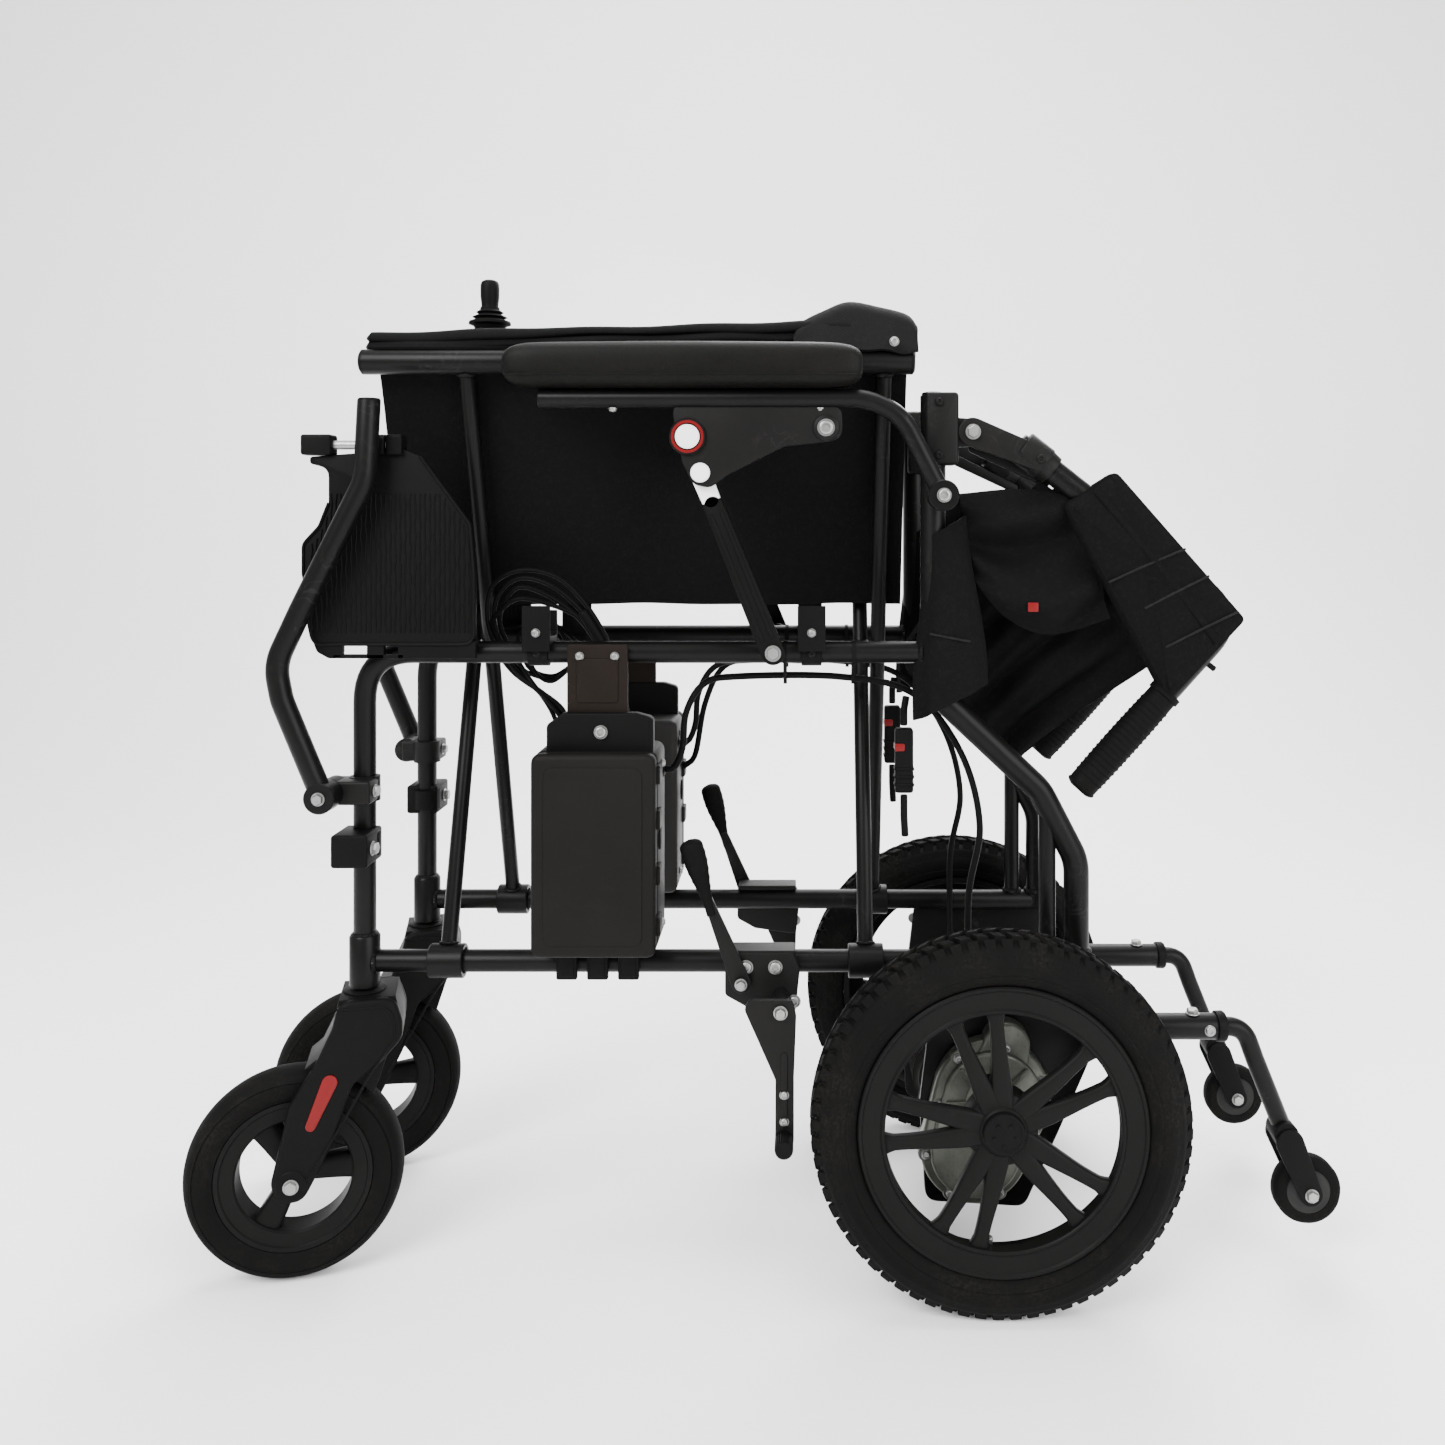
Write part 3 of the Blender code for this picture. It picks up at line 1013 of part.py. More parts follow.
def build_wheels():
    stem = (0, HALF)
    axle = (CASTER_TRAIL, HALF, CASTER_RADIUS)
    pair("caster_fork", caster_fork(), BLACK_PLASTIC, (0, HALF, STEM_TOP), stem)
    pair("caster_tyre", caster_tyre(), RUBBER, axle, stem)
    pair("caster_hub", caster_hub(), GREY_PLASTIC, axle, stem)
    drive_axle = (AXLE_STATION, WHEEL_OUT, AXLE_HEIGHT)
    pair("drive_tyre", drive_tyre(), RUBBER, drive_axle)
    pair("drive_rim", drive_rim(), BLACK_PLASTIC, drive_axle)
    pair("drive_motor", drive_motor(), CAST_METAL)
    pair("antitip_tube", antitip_tube(), BLACK_PAINT)
    pair("antitip_wheel", antitip_wheel(), RUBBER, (TIP_AXLE[0], HALF, TIP_AXLE[1]))


def build_brakes():
    pair("brake_bracket", brake_bracket(), BLACK_PAINT)
    pair("brake_lever", brake_lever(), BLACK_PLASTIC, (LEVER_PIN[0], HALF + 0.02, LEVER_PIN[1]))
    pair("brake_shoe", brake_shoe(), BLACK_PAINT, (ARM_PIN[0], SHOE_OUT, ARM_PIN[1]))


def build_controls():
    stick = (*JOYSTICK, STICK_PIVOT)
    single("joystick_housing", joystick_housing(), BLACK_PLASTIC)
    single("joystick_gimbal", joystick_gimbal(), ZINC, 1, stick)
    single("joystick_stick", joystick_stick(), BLACK_PLASTIC, 1, stick)
    single("power_button", power_button(), GREY_PLASTIC, 1, (*POWER_BUTTON, HOUSING_TOP))
    pair("motor_cable", motor_cable(), RUBBER)
    single("joystick_cable", joystick_cable(), RUBBER)
    single("joystick_lead", joystick_lead(), RUBBER)


def stand_on_origin():
    """Moves the chair so that the middle of its box's underside is at the origin."""
    bpy.context.view_layer.update()
    corners = []
    for obj in bpy.data.objects:
        corners.extend(obj.matrix_world @ vertex.co for vertex in obj.data.vertices)
    corners = np.array(corners)
    low, high = corners.min(axis=0), corners.max(axis=0)
    shift = Vector(((low[0] + high[0]) / 2, (low[1] + high[1]) / 2, low[2]))
    for obj in bpy.data.objects:
        obj.location -= shift


def main():
    clear_scene()
    build_frame()
    build_back()
    build_arms()
    build_legrests()
    build_wheels()
    build_brakes()
    build_controls()
    stand_on_origin()


main()
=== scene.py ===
"""Folding power wheelchair, folded for carrying: its visible pieces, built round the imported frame.

The chair faces -X, its right side is +Y and +Z is up, all in metres. Places are worked out from the
frame's joints and boxes. Each sub-assembly is a class with its own sizes. A side's pieces are made once,
on the right, and mirrored for the left. Surfaces are grids of points worked out as whole arrays.
"""

import logging
import math
from dataclasses import dataclass, field
from enum import Enum
from typing import Any, Callable, Iterable, Sequence

import bpy
import numpy as np
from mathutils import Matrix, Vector


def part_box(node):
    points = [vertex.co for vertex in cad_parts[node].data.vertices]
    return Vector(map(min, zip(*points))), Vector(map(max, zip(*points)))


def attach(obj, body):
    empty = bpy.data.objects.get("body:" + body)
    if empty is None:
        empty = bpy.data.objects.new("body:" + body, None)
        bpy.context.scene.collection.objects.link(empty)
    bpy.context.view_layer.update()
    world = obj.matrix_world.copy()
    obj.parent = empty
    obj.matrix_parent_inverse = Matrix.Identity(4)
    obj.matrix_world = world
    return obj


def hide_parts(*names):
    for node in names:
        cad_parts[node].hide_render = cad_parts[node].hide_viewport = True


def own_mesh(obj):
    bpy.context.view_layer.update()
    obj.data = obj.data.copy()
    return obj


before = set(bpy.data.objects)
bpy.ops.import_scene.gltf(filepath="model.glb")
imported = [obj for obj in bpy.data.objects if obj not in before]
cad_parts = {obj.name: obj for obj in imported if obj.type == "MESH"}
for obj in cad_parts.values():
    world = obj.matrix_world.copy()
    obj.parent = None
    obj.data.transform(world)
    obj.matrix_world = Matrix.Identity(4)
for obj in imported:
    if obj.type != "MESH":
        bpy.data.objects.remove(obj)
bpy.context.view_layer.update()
LOG = logging.getLogger("wheelchair")

Array = np.ndarray
Colour = tuple[float, float, float]
Point = Sequence[float]

TURN = 2 * math.pi
SHARP_ANGLE = math.radians(38)
ROUND_SIDES = 28


class Side(Enum):
    """The two sides of the chair, with the sign of Y on each."""

    RIGHT = 1
    LEFT = -1

    @property
    def prefix(self) -> str:
        """The word that starts this side's names."""
        return self.name.lower() + "_"


class Axis(Enum):
    """Directions of the frame, as unit vectors."""

    X = (1.0, 0.0, 0.0)
    Y = (0.0, 1.0, 0.0)
    Z = (0.0, 0.0, 1.0)

    def array(self) -> Array:
        """The direction as an array."""
        return np.array(self.value)


# --- shapes ---


@dataclass(frozen=True)
class Shape:
    """Points, quads and polygons of closed surfaces, with a measure along each surface in metres."""

    points: Array
    quads: Array
    polygons: tuple[Array, ...] = ()
    measure: Array | None = None

    def __add__(self, other: "Shape") -> "Shape":
        """Both shapes as one."""
        shift = len(self.points)
        measures = [s.measure if s.measure is not None else np.zeros((len(s.points), 2)) for s in (self, other)]
        return Shape(
            np.vstack([self.points, other.points]),
            np.vstack([self.quads, other.quads + shift]),
            self.polygons + tuple(p + shift for p in other.polygons),
            np.vstack(measures),
        )

    def at(self, points: Array) -> "Shape":
        """The same surfaces on other points."""
        return Shape(points, self.quads, self.polygons, self.measure)

    def mirrored(self) -> "Shape":
        """The shape on the other side of the middle plane, with its faces still pointing out."""
        return Shape(
            self.points * (1, -1, 1),
            self.quads[:, ::-1],
            tuple(p[::-1] for p in self.polygons),
            self.measure,
        )

    def turned_out(self) -> "Shape":
        """The shape with its faces pointing out, judged by the sign of its volume."""
        triangles = [self.quads[:, [0, 1, 2]], self.quads[:, [0, 2, 3]]]
        for p in self.polygons:
            triangles.append(np.stack([np.full(len(p) - 2, p[0]), p[1:-1], p[2:]], axis=1))
        corners = self.points[np.vstack(triangles)]
        if np.einsum("ij,ij->i", corners[:, 0], np.cross(corners[:, 1], corners[:, 2])).sum() >= 0:
            return self
        return Shape(self.points, self.quads[:, ::-1], tuple(p[::-1] for p in self.polygons), self.measure)

    def yawed(self, angle: float, centre: Point) -> "Shape":
        """The shape turned about an upright line through a point.

        Args:
            angle: the turn, in radians.
            centre: a point on the line.
        Returns:
            The turned shape.
        """
        c, s = math.cos(angle), math.sin(angle)
        matrix = np.array([[c, -s, 0], [s, c, 0], [0, 0, 1]])
        return self.at((self.points - centre) @ matrix.T + centre)


def joined(shapes: Iterable[Shape]) -> Shape:
    """All the shapes as one."""
    shapes = list(shapes)
    total = shapes[0]
    for shape in shapes[1:]:
        total = total + shape
    return total


def lofted(rings: Array, closed: bool = False, wrapped: bool = True) -> Shape:
    """Rings of equal length joined in order, each point to its neighbours in the grid.

    Args:
        rings: points as (ring, place round the ring, xyz).
        closed: whether the last ring joins the first; if not, a polygon caps each end.
        wrapped: whether each ring closes on itself.
    Returns:
        The surface, with its faces pointing out.
    """
    rows, columns = rings.shape[:2]
    index = np.arange(rows * columns).reshape(rows, columns)
    down = np.roll(index, -1, axis=0) if closed else index[1:]
    up = index if closed else index[:-1]
    across, over = np.roll(up, -1, axis=1), np.roll(down, -1, axis=1)
    if not wrapped:
        up, down, across, over = up[:, :-1], down[:, :-1], across[:, :-1], over[:, :-1]
    quads = np.stack([up, across, over, down], axis=-1).reshape(-1, 4)
    caps = () if closed or not wrapped else (index[0][::-1], index[-1])
    along = np.linalg.norm(np.diff(rings, axis=0), axis=2).mean(axis=1)
    around = np.linalg.norm(np.diff(rings, axis=1), axis=2).mean(axis=0)
    along, around = np.append(0, np.cumsum(along)), np.append(0, np.cumsum(around))
    measure = np.stack(np.meshgrid(around, along), axis=-1).reshape(-1, 2)
    return Shape(rings.reshape(-1, 3), quads, caps, measure).turned_out()


def circle(radius: float, sides: int = ROUND_SIDES, squash: float = 1.0) -> Array:
    """Points round a circle, or an ellipse whose second half-width is squash times the first."""
    angle = TURN * (np.arange(sides) + 0.5) / sides
    return radius * np.stack([np.cos(angle), squash * np.sin(angle)], axis=1)


def bent(points: Sequence[Point], radius: float, steps: int = 8, closed: bool = False) -> Array:
    """A path or outline whose inner corners are rounded, each by a parabola close to an arc.

    Args:
        points: the corners, in two or three dimensions.
        radius: of the bends, which is limited by the length of the runs between them.
        steps: points in each bend.
        closed: whether the last point joins the first.
    Returns:
        The rounded path.
    """
    corners = np.array(points, float)
    middle = corners if closed else corners[1:-1]
    before = np.roll(corners, 1, axis=0) if closed else corners[:-2]
    after = np.roll(corners, -1, axis=0) if closed else corners[2:]
    back, ahead = before - middle, after - middle
    run_back, run_ahead = np.linalg.norm(back, axis=1), np.linalg.norm(ahead, axis=1)
    back, ahead = back / run_back[:, None], ahead / run_ahead[:, None]
    half_turn = (math.pi - np.arccos(np.clip((back * ahead).sum(axis=1), -1, 1))) / 2
    reach = np.minimum(radius * np.tan(half_turn), 0.48 * np.minimum(run_back, run_ahead))[:, None]
    start, end = middle + back * reach, middle + ahead * reach
    t = np.linspace(0, 1, steps)[None, :, None]
    arcs = start[:, None] * (1 - t) ** 2 + 2 * middle[:, None] * t * (1 - t) + end[:, None] * t**2
    path = arcs.reshape(-1, corners.shape[1])
    return path if closed else np.vstack([corners[:1], path, corners[-1:]])


def along_path(path: Array, up: Point) -> tuple[Array, Array]:
    """Two directions across a path at each of its points, both square to it.

    Args:
        path: points of the path.
        up: a direction that is never along the path.
    Returns:
        The sideways and the upward direction at each point.
    """
    tangent = np.gradient(path, axis=0)
    tangent /= np.linalg.norm(tangent, axis=1)[:, None]
    side = np.cross(tangent, np.array(up, float))
    side /= np.linalg.norm(side, axis=1)[:, None]
    return side, np.cross(side, tangent)


def swept(path: Array, section: Array, up: Point = (0, 1, 0), scale: Array | float = 1.0) -> Shape:
    """A section carried along a path: each point is the path's plus the section's across it.

    Args:
        path: points of the path.
        section: points of the section, as (point, 2), or as (place, point, 2) where it changes.
        up: a direction that is never along the path.
        scale: of the section at each point of the path.
    Returns:
        The closed surface.
    """
    side, rise = along_path(path, up)
    section = np.broadcast_to(section, (len(path),) + section.shape[-2:])
    section = section * np.broadcast_to(scale, (len(path),))[:, None, None]
    rings = path[:, None] + side[:, None] * section[..., :1] + rise[:, None] * section[..., 1:]
    return lofted(rings)


def tube(path: Array, diameter: float, edge: float = 0.0012, up: Point = (0, 1, 0),
         sides: int = ROUND_SIDES) -> Shape:
    """A round bar along a path, with its two end edges rounded by quarter circles.

    Args:
        path: points of its middle line.
        diameter: of the bar.
        edge: radius of the rounded end edges.
        up: a direction that is never along the path.
        sides: points round the bar.
    Returns:
        The closed surface.
    """
    radius = diameter / 2
    angle = np.linspace(0, math.pi / 2, 4)
    inset = edge * (1 - np.cos(angle))
    shrink = (radius - edge + edge * np.sin(angle)) / radius
    first = (path[1] - path[0]) / np.linalg.norm(path[1] - path[0])
    last = (path[-2] - path[-1]) / np.linalg.norm(path[-2] - path[-1])
    start = path[0] + first * inset[:, None]
    end = path[-1] + last * inset[::-1, None]
    scale = np.concatenate([shrink, np.ones(len(path) - 2), shrink[::-1]])
    side, rise = along_path(np.vstack([start[:1], path[1:-1], end[-1:]]), up)
    side = np.vstack([np.repeat(side[:1], 4, axis=0), side[1:-1], np.repeat(side[-1:], 4, axis=0)])
    rise = np.vstack([np.repeat(rise[:1], 4, axis=0), rise[1:-1], np.repeat(rise[-1:], 4, axis=0)])
    middle = np.vstack([start, path[1:-1], end])
    ring = circle(radius, sides)
    across = side[:, None] * ring[None, :, :1] + rise[:, None] * ring[None, :, 1:]
    return lofted(middle[:, None] + across * scale[:, None, None])


def rod(start: Point, end: Point, diameter: float, edge: float = 0.0008, sides: int = ROUND_SIDES) -> Shape:
    """A straight round bar between two points."""
    path = np.linspace(start, end, 4)
    run = np.abs(path[-1] - path[0])
    return tube(path, diameter, edge, (1, 0, 0) if run[0] < max(run[1], run[2]) else (0, 1, 0), sides)


def turned(profile: Array, centre: Point, axis: Point = (0, 1, 0), sides: int = 96,
           ring: bool = False) -> Shape:
    """A profile of (radius, offset) turned about an axle.

    Args:
        profile: points of the profile, outermost faces in order.
        centre: where the axle has offset nought.
        axis: direction of the axle.
        sides: points round the axle.
        ring: whether the profile is a closed loop; if not, its two ends are capped.
    Returns:
        The closed surface.
    """
    axis = np.array(axis, float) / np.linalg.norm(axis)
    first = np.cross(axis, (1, 0, 0) if abs(axis[0]) < 0.9 else (0, 0, 1))
    first /= np.linalg.norm(first)
    second = np.cross(axis, first)
    angle = TURN * np.arange(sides) / sides
    spoke = np.cos(angle)[:, None] * first + np.sin(angle)[:, None] * second
    profile = np.array(profile, float)
    rings = np.array(centre, float) + profile[:, None, :1] * spoke + profile[:, None, 1:] * axis
    return lofted(rings, closed=ring)


def inset_outline(outline: Array, by: Array) -> Array:
    """An outline moved inwards, along the mean normal at each point, by each of several amounts."""
    ahead = np.roll(outline, -1, axis=0) - outline
    ahead /= np.linalg.norm(ahead, axis=1)[:, None] + 1e-12
    normal = ahead + np.roll(ahead, 1, axis=0)
    normal = np.stack([-normal[:, 1], normal[:, 0]], axis=1)
    normal /= np.linalg.norm(normal, axis=1)[:, None] + 1e-12
    x, z = outline.T
    area = (x * np.roll(z, -1) - np.roll(x, -1) * z).sum()
    return outline + np.sign(area) * normal * np.array(by)[:, None, None]


def plate(outline: Array, low: float, high: float, edge: float = 0.001, across: Axis = Axis.Y) -> Shape:
    """A flat piece: an outline carried across its thickness, drawn in at both faces by quarter circles.

    Args:
        outline: its edge, in the two directions other than across, in X, Y, Z order.
        low: where one face is.
        high: where the other face is.
        edge: radius of the rounded edges.
        across: the direction of its thickness.
    Returns:
        The closed surface.
    """
    angle = np.linspace(0, math.pi / 2, 4)
    depth = np.concatenate([low + edge * (1 - np.cos(angle)), (high - edge * (1 - np.cos(angle)))[::-1]])
    inset = edge * (1 - np.sin(angle))
    flat = inset_outline(np.array(outline, float), np.concatenate([inset, inset[::-1]]))
    place = [Axis.X, Axis.Y, Axis.Z].index(across)
    depths = np.broadcast_to(depth[:, None, None], flat.shape[:2] + (1,))
    return lofted(np.concatenate([flat[..., :place], depths, flat[..., place:]], axis=-1))


def rounded_box(low: Point, high: Point, corner: float, edge: float, across: Axis = Axis.Y) -> Shape:
    """A block with rounded corners in its outline and rounded edges at its two faces."""
    place = [Axis.X, Axis.Y, Axis.Z].index(across)
    (a0, b0), (a1, b1) = np.delete(np.array(low, float), place), np.delete(np.array(high, float), place)
    outline = bent([(a0, b0), (a1, b0), (a1, b1), (a0, b1)], corner, closed=True)
    return plate(outline, low[place], high[place], edge, across)


def link_outline(start: Point, end: Point, start_radius: float, end_radius: float, count: int = 14) -> Array:
    """Two round ends joined by their sides."""
    heading = math.atan2(end[1] - start[1], end[0] - start[0])
    angle = heading + np.linspace(math.pi / 2, 3 * math.pi / 2, count)
    ends = []
    for centre, radius, turn in ((start, start_radius, 0.0), (end, end_radius, math.pi)):
        ends.append(np.array(centre) + radius * np.stack([np.cos(angle + turn), np.sin(angle + turn)], axis=1))
    return np.vstack(ends)


def bead(centre: Point, axis: Point, radius: float, thickness: float = 0.0022) -> Shape:
    """A weld: a thin ring round a tube whose thickness ripples as (1 + 0.15 sin 26a) round the ring."""
    ring = circle(thickness, 8) + (radius, 0)
    shape = turned(ring, centre, axis, 104, ring=True)
    direction = np.array(axis, float) / np.linalg.norm(axis)
    away = shape.points - centre
    outward = away - (away @ direction)[:, None] * direction
    distance = np.linalg.norm(outward, axis=1)[:, None]
    turn = np.arctan2(away[:, (1 if abs(direction[1]) < 0.5 else 0)], away[:, (2 if abs(direction[2]) < 0.5 else 0)])
    ripple = 0.15 * np.sin(26 * turn)[:, None] * (distance - radius)
    return shape.at(shape.points + outward / distance * ripple)


def bolt(centre: Point, axis: Point, radius: float = 0.005, height: float = 0.004,
         socket: bool = False) -> Shape:
    """A washer with a six-sided head, or a round head with a socket in it.

    Args:
        centre: middle of the face that the washer rests on.
        axis: the way that the head stands.
        radius: of the head, across its corners.
        height: of the head above the washer.
        socket: whether the head is round with a socket.
    Returns:
        The closed surfaces.
    """
    step = 0.0009
    washer = turned([(0.001, 0), (radius * 1.16, 0), (radius * 1.2, step / 2), (radius * 1.16, step), (0.001, step)],
                    centre, axis, 32)
    top = step + height
    if socket:
        profile = [(0.0006, step), (radius, step), (radius, top - 0.0012), (radius - 0.0004, top - 0.0004),
                   (radius - 0.0012, top), (radius * 0.5, top), (radius * 0.46, top - 0.0004),
                   (radius * 0.44, top - height * 0.55), (0.0006, top - height * 0.6)]
        return washer + turned(profile, centre, axis, 32)
    profile = [(0.0006, step), (radius, step), (radius, top - 0.0008), (radius * 0.86, top),
               (radius * 0.45, top + 0.0001), (0.0006, top)]
    return washer + turned(profile, centre, axis, 6)


def sheet(points: Array, thickness: float) -> Shape:
    """A cloth: a grid of points given a thickness, half to each side along its normals.

    Args:
        points: the middle of the cloth, as (row, column, xyz).
        thickness: of the cloth.
    Returns:
        The closed surface, whose rings run over one face and back along the other.
    """
    down, across = np.gradient(points, axis=0), np.gradient(points, axis=1)
    normal = np.cross(down, across)
    normal /= np.linalg.norm(normal, axis=2)[..., None] + 1e-12
    half = normal * (thickness / 2)
    return lofted(np.concatenate([points + half, (points - half)[:, ::-1]], axis=1))


def ease(t: Array) -> Array:
    """Rises smoothly from 0 to 1 as t does, and stays there outside: 3tt - 2ttt."""
    t = np.clip(t, 0, 1)
    return t * t * (3 - 2 * t)


def curve_through(points: Sequence[Point], count: int) -> Array:
    """Evenly spaced points along a smooth curve through a route's own points.

    Args:
        points: the route's points.
        count: how many points to give back.
    Returns:
        Points along the Catmull-Rom curve.
    """
    route = np.array(points, float)
    padded = np.vstack([2 * route[0] - route[1], route, 2 * route[-1] - route[-2]])
    p0, p1, p2, p3 = (padded[i:len(padded) - 3 + i, None] for i in range(4))
    t = np.linspace(0, 1, 24, endpoint=False)[None, :, None]
    fine = 0.5 * (2 * p1 + (p2 - p0) * t + (2 * p0 - 5 * p1 + 4 * p2 - p3) * t**2
                  + (3 * p1 - p0 - 3 * p2 + p3) * t**3)
    fine = np.vstack([fine.reshape(-1, 3), route[-1:]])
    travelled = np.append(0, np.cumsum(np.linalg.norm(np.diff(fine, axis=0), axis=1)))
    even = np.linspace(0, travelled[-1], count)
    return np.stack([np.interp(even, travelled, fine[:, i]) for i in range(3)], axis=1)


def hose(points: Sequence[Point], diameter: float, up: Point = (0, 1, 0)) -> Shape:
    """A cable through a route's points."""
    length = np.linalg.norm(np.diff(np.array(points, float), axis=0), axis=1).sum()
    path = curve_through(points, max(8, round(length / (0.9 * diameter))))
    return tube(path, diameter, diameter * 0.12, up, 14)


# --- finishes ---


class Field:
    """A shader socket that can be worked with in sums: each operator adds one Math node."""

    def __init__(self, shader: "Shader", socket: Any) -> None:
        """Wraps a node's output socket."""
        self.shader = shader
        self.socket = socket

    def sum(self, operation: str, first: Any, second: Any = 0.0) -> "Field":
        """One Math node of two values, each a number or a field."""
        return self.shader.node("ShaderNodeMath", {"operation": operation}, {0: first, 1: second})

    def __add__(self, other: Any) -> "Field":
        """self + other."""
        return self.sum("ADD", self, other)

    def __radd__(self, other: Any) -> "Field":
        """other + self."""
        return self.sum("ADD", other, self)

    def __sub__(self, other: Any) -> "Field":
        """self - other."""
        return self.sum("SUBTRACT", self, other)

    def __rsub__(self, other: Any) -> "Field":
        """other - self."""
        return self.sum("SUBTRACT", other, self)

    def __mul__(self, other: Any) -> "Field":
        """self * other."""
        return self.sum("MULTIPLY", self, other)

    def __rmul__(self, other: Any) -> "Field":
        """other * self."""
        return self.sum("MULTIPLY", other, self)

    def __truediv__(self, other: Any) -> "Field":
        """self / other."""
        return self.sum("DIVIDE", self, other)

    def __pow__(self, other: Any) -> "Field":
        """self to the power of other."""
        return self.sum("POWER", self, other)

    def sine(self) -> "Field":
        """The sine of self."""
        return self.sum("SINE", self)

    def size(self) -> "Field":
        """self without its sign."""
        return self.sum("ABSOLUTE", self)

    def between(self, low: float, high: float) -> "Field":
        """Rises smoothly from 0 where self is low to 1 where it is high."""
        return self.shader.node("ShaderNodeMapRange", {"interpolation_type": "SMOOTHSTEP"},
                                {"Value": self, "From Min": low, "From Max": high})


class Shader:
    """The nodes of one finish, on the Principled shader."""

    def __init__(self, name: str) -> None:
        """Starts a material."""
        self.material = bpy.data.materials.new(name)
        self.material.use_nodes = True
        self.tree = self.material.node_tree
        self.surface = self.tree.nodes["Principled BSDF"]
        self.place = self.node("ShaderNodeTexCoord", output="Object")

    def node(self, kind: str, settings: dict[str, Any] | None = None, inputs: dict[Any, Any] | None = None,
             output: Any = 0) -> Field:
        """Adds a node.

        Args:
            kind: the node's type.
            settings: its properties, which are set first. "stops" holds a ramp's places and colours.
            inputs: values or fields of its sockets, by name or number.
            output: the socket wanted, by name or number.
        Returns:
            That output.
        """
        made = self.tree.nodes.new(kind)
        for name, value in (settings or {}).items():
            if name == "stops":
                ramp = made.color_ramp.elements
                for element, (place, colour) in zip((ramp[0], ramp[-1]), (value[0], value[-1])):
                    element.position, element.color = place, (*colour, 1)
                for place, colour in value[1:-1]:
                    ramp.new(place).color = (*colour, 1)
            else:
                setattr(made, name, value)
        for name, value in (inputs or {}).items():
            self.feed(made.inputs[name], value)
        return Field(self, made.outputs[output])

    def feed(self, socket: Any, value: Any) -> None:
        """Links a field to a socket, or sets a number or colour on it."""
        if isinstance(value, Field):
            self.tree.links.new(value.socket, socket)
        else:
            socket.default_value = value

    def noise(self, scale: float, detail: float = 2.0, roughness: float = 0.5, distortion: float = 0.0) -> Field:
        """Cloudy values about a half, on the object's own coordinates."""
        return self.node("ShaderNodeTexNoise", {"noise_dimensions": "3D"},
                         {"Vector": self.place, "Scale": scale, "Detail": detail, "Roughness": roughness,
                          "Distortion": distortion})

    def cells(self, scale: float, feature: str = "F1") -> Field:
        """Distance to scattered points, on the object's own coordinates."""
        return self.node("ShaderNodeTexVoronoi", {"feature": feature}, {"Vector": self.place, "Scale": scale})

    def blend(self, mask: Field, first: Any, second: Any) -> Field:
        """A colour that goes from the first to the second with the mask."""
        colours = [(*c, 1.0) if isinstance(c, tuple) else c for c in (first, second)]
        return self.node("ShaderNodeMix", {"data_type": "RGBA"}, {0: mask, 6: colours[0], 7: colours[1]}, 2)

    def bump(self, height: Field, depth: float, strength: float = 1.0) -> None:
        """Raises the surface by a height from 0 to 1, times a depth in metres."""
        normal = self.node("ShaderNodeBump", {}, {"Height": height, "Distance": depth, "Strength": strength})
        self.feed(self.surface.inputs["Normal"], normal)

    def set(self, **values: Any) -> None:
        """Sets the Principled sockets: base_color=... is Base Color."""
        for name, value in values.items():
            socket = self.surface.inputs[name.replace("_", " ").title().replace("Ior", "IOR")]
            self.feed(socket, (*value, 1.0) if isinstance(value, tuple) else value)


def scaled(colour: Colour, factor: float) -> Colour:
    """A colour made lighter or darker."""
    return tuple(min(1.0, c * factor) for c in colour)


@dataclass(frozen=True)
class Finish:
    """A surface: its name, the record's slot, its colour and its roughness."""

    name: str
    slot: str
    colour: Colour
    roughness: float

    def material(self) -> bpy.types.Material:
        """The finish's material, made once."""
        made = bpy.data.materials.get(self.name + "_finish")
        if made is None:
            shader = Shader(self.name + "_finish")
            self.dress(shader)
            made = shader.material
        return made

    def dress(self, shader: Shader) -> None:
        """Adds the finish's nodes."""
        raise NotImplementedError

    def scuffs(self, shader: Shader, scale: float) -> Field:
        """Thin light scratches, where a stretched noise passes through a narrow band."""
        lines = shader.noise(scale, 3.0, 0.6, 1.2)
        return (1 - (lines - 0.5).size() * 46).between(0.2, 1.0) * shader.noise(11.0).between(0.5, 0.66)


@dataclass(frozen=True)
class PowderCoat(Finish):
    """Satin paint baked on metal: orange peel, a little dust and fine scuffs."""

    def dress(self, shader: Shader) -> None:
        """Adds the finish's nodes."""
        cloud = shader.noise(9.0, 3.0)
        dust = shader.noise(160.0, 5.0, 0.7).between(0.58, 0.74) * cloud
        worn = self.scuffs(shader, 34.0)
        colour = shader.blend(cloud.between(0.3, 0.7), self.colour, scaled(self.colour, 1.35))
        colour = shader.blend(dust * 0.12, colour, (0.030, 0.028, 0.026))
        shader.set(base_color=shader.blend(worn * 0.10, colour, (0.07, 0.068, 0.065)),
                   roughness=self.roughness + (cloud - 0.5) * 0.14 + dust * 0.12, specular_ior_level=0.09)
        shader.bump(shader.noise(620.0, 1.0) * 0.7 + shader.noise(95.0) * 0.3, 0.00012, 0.55)


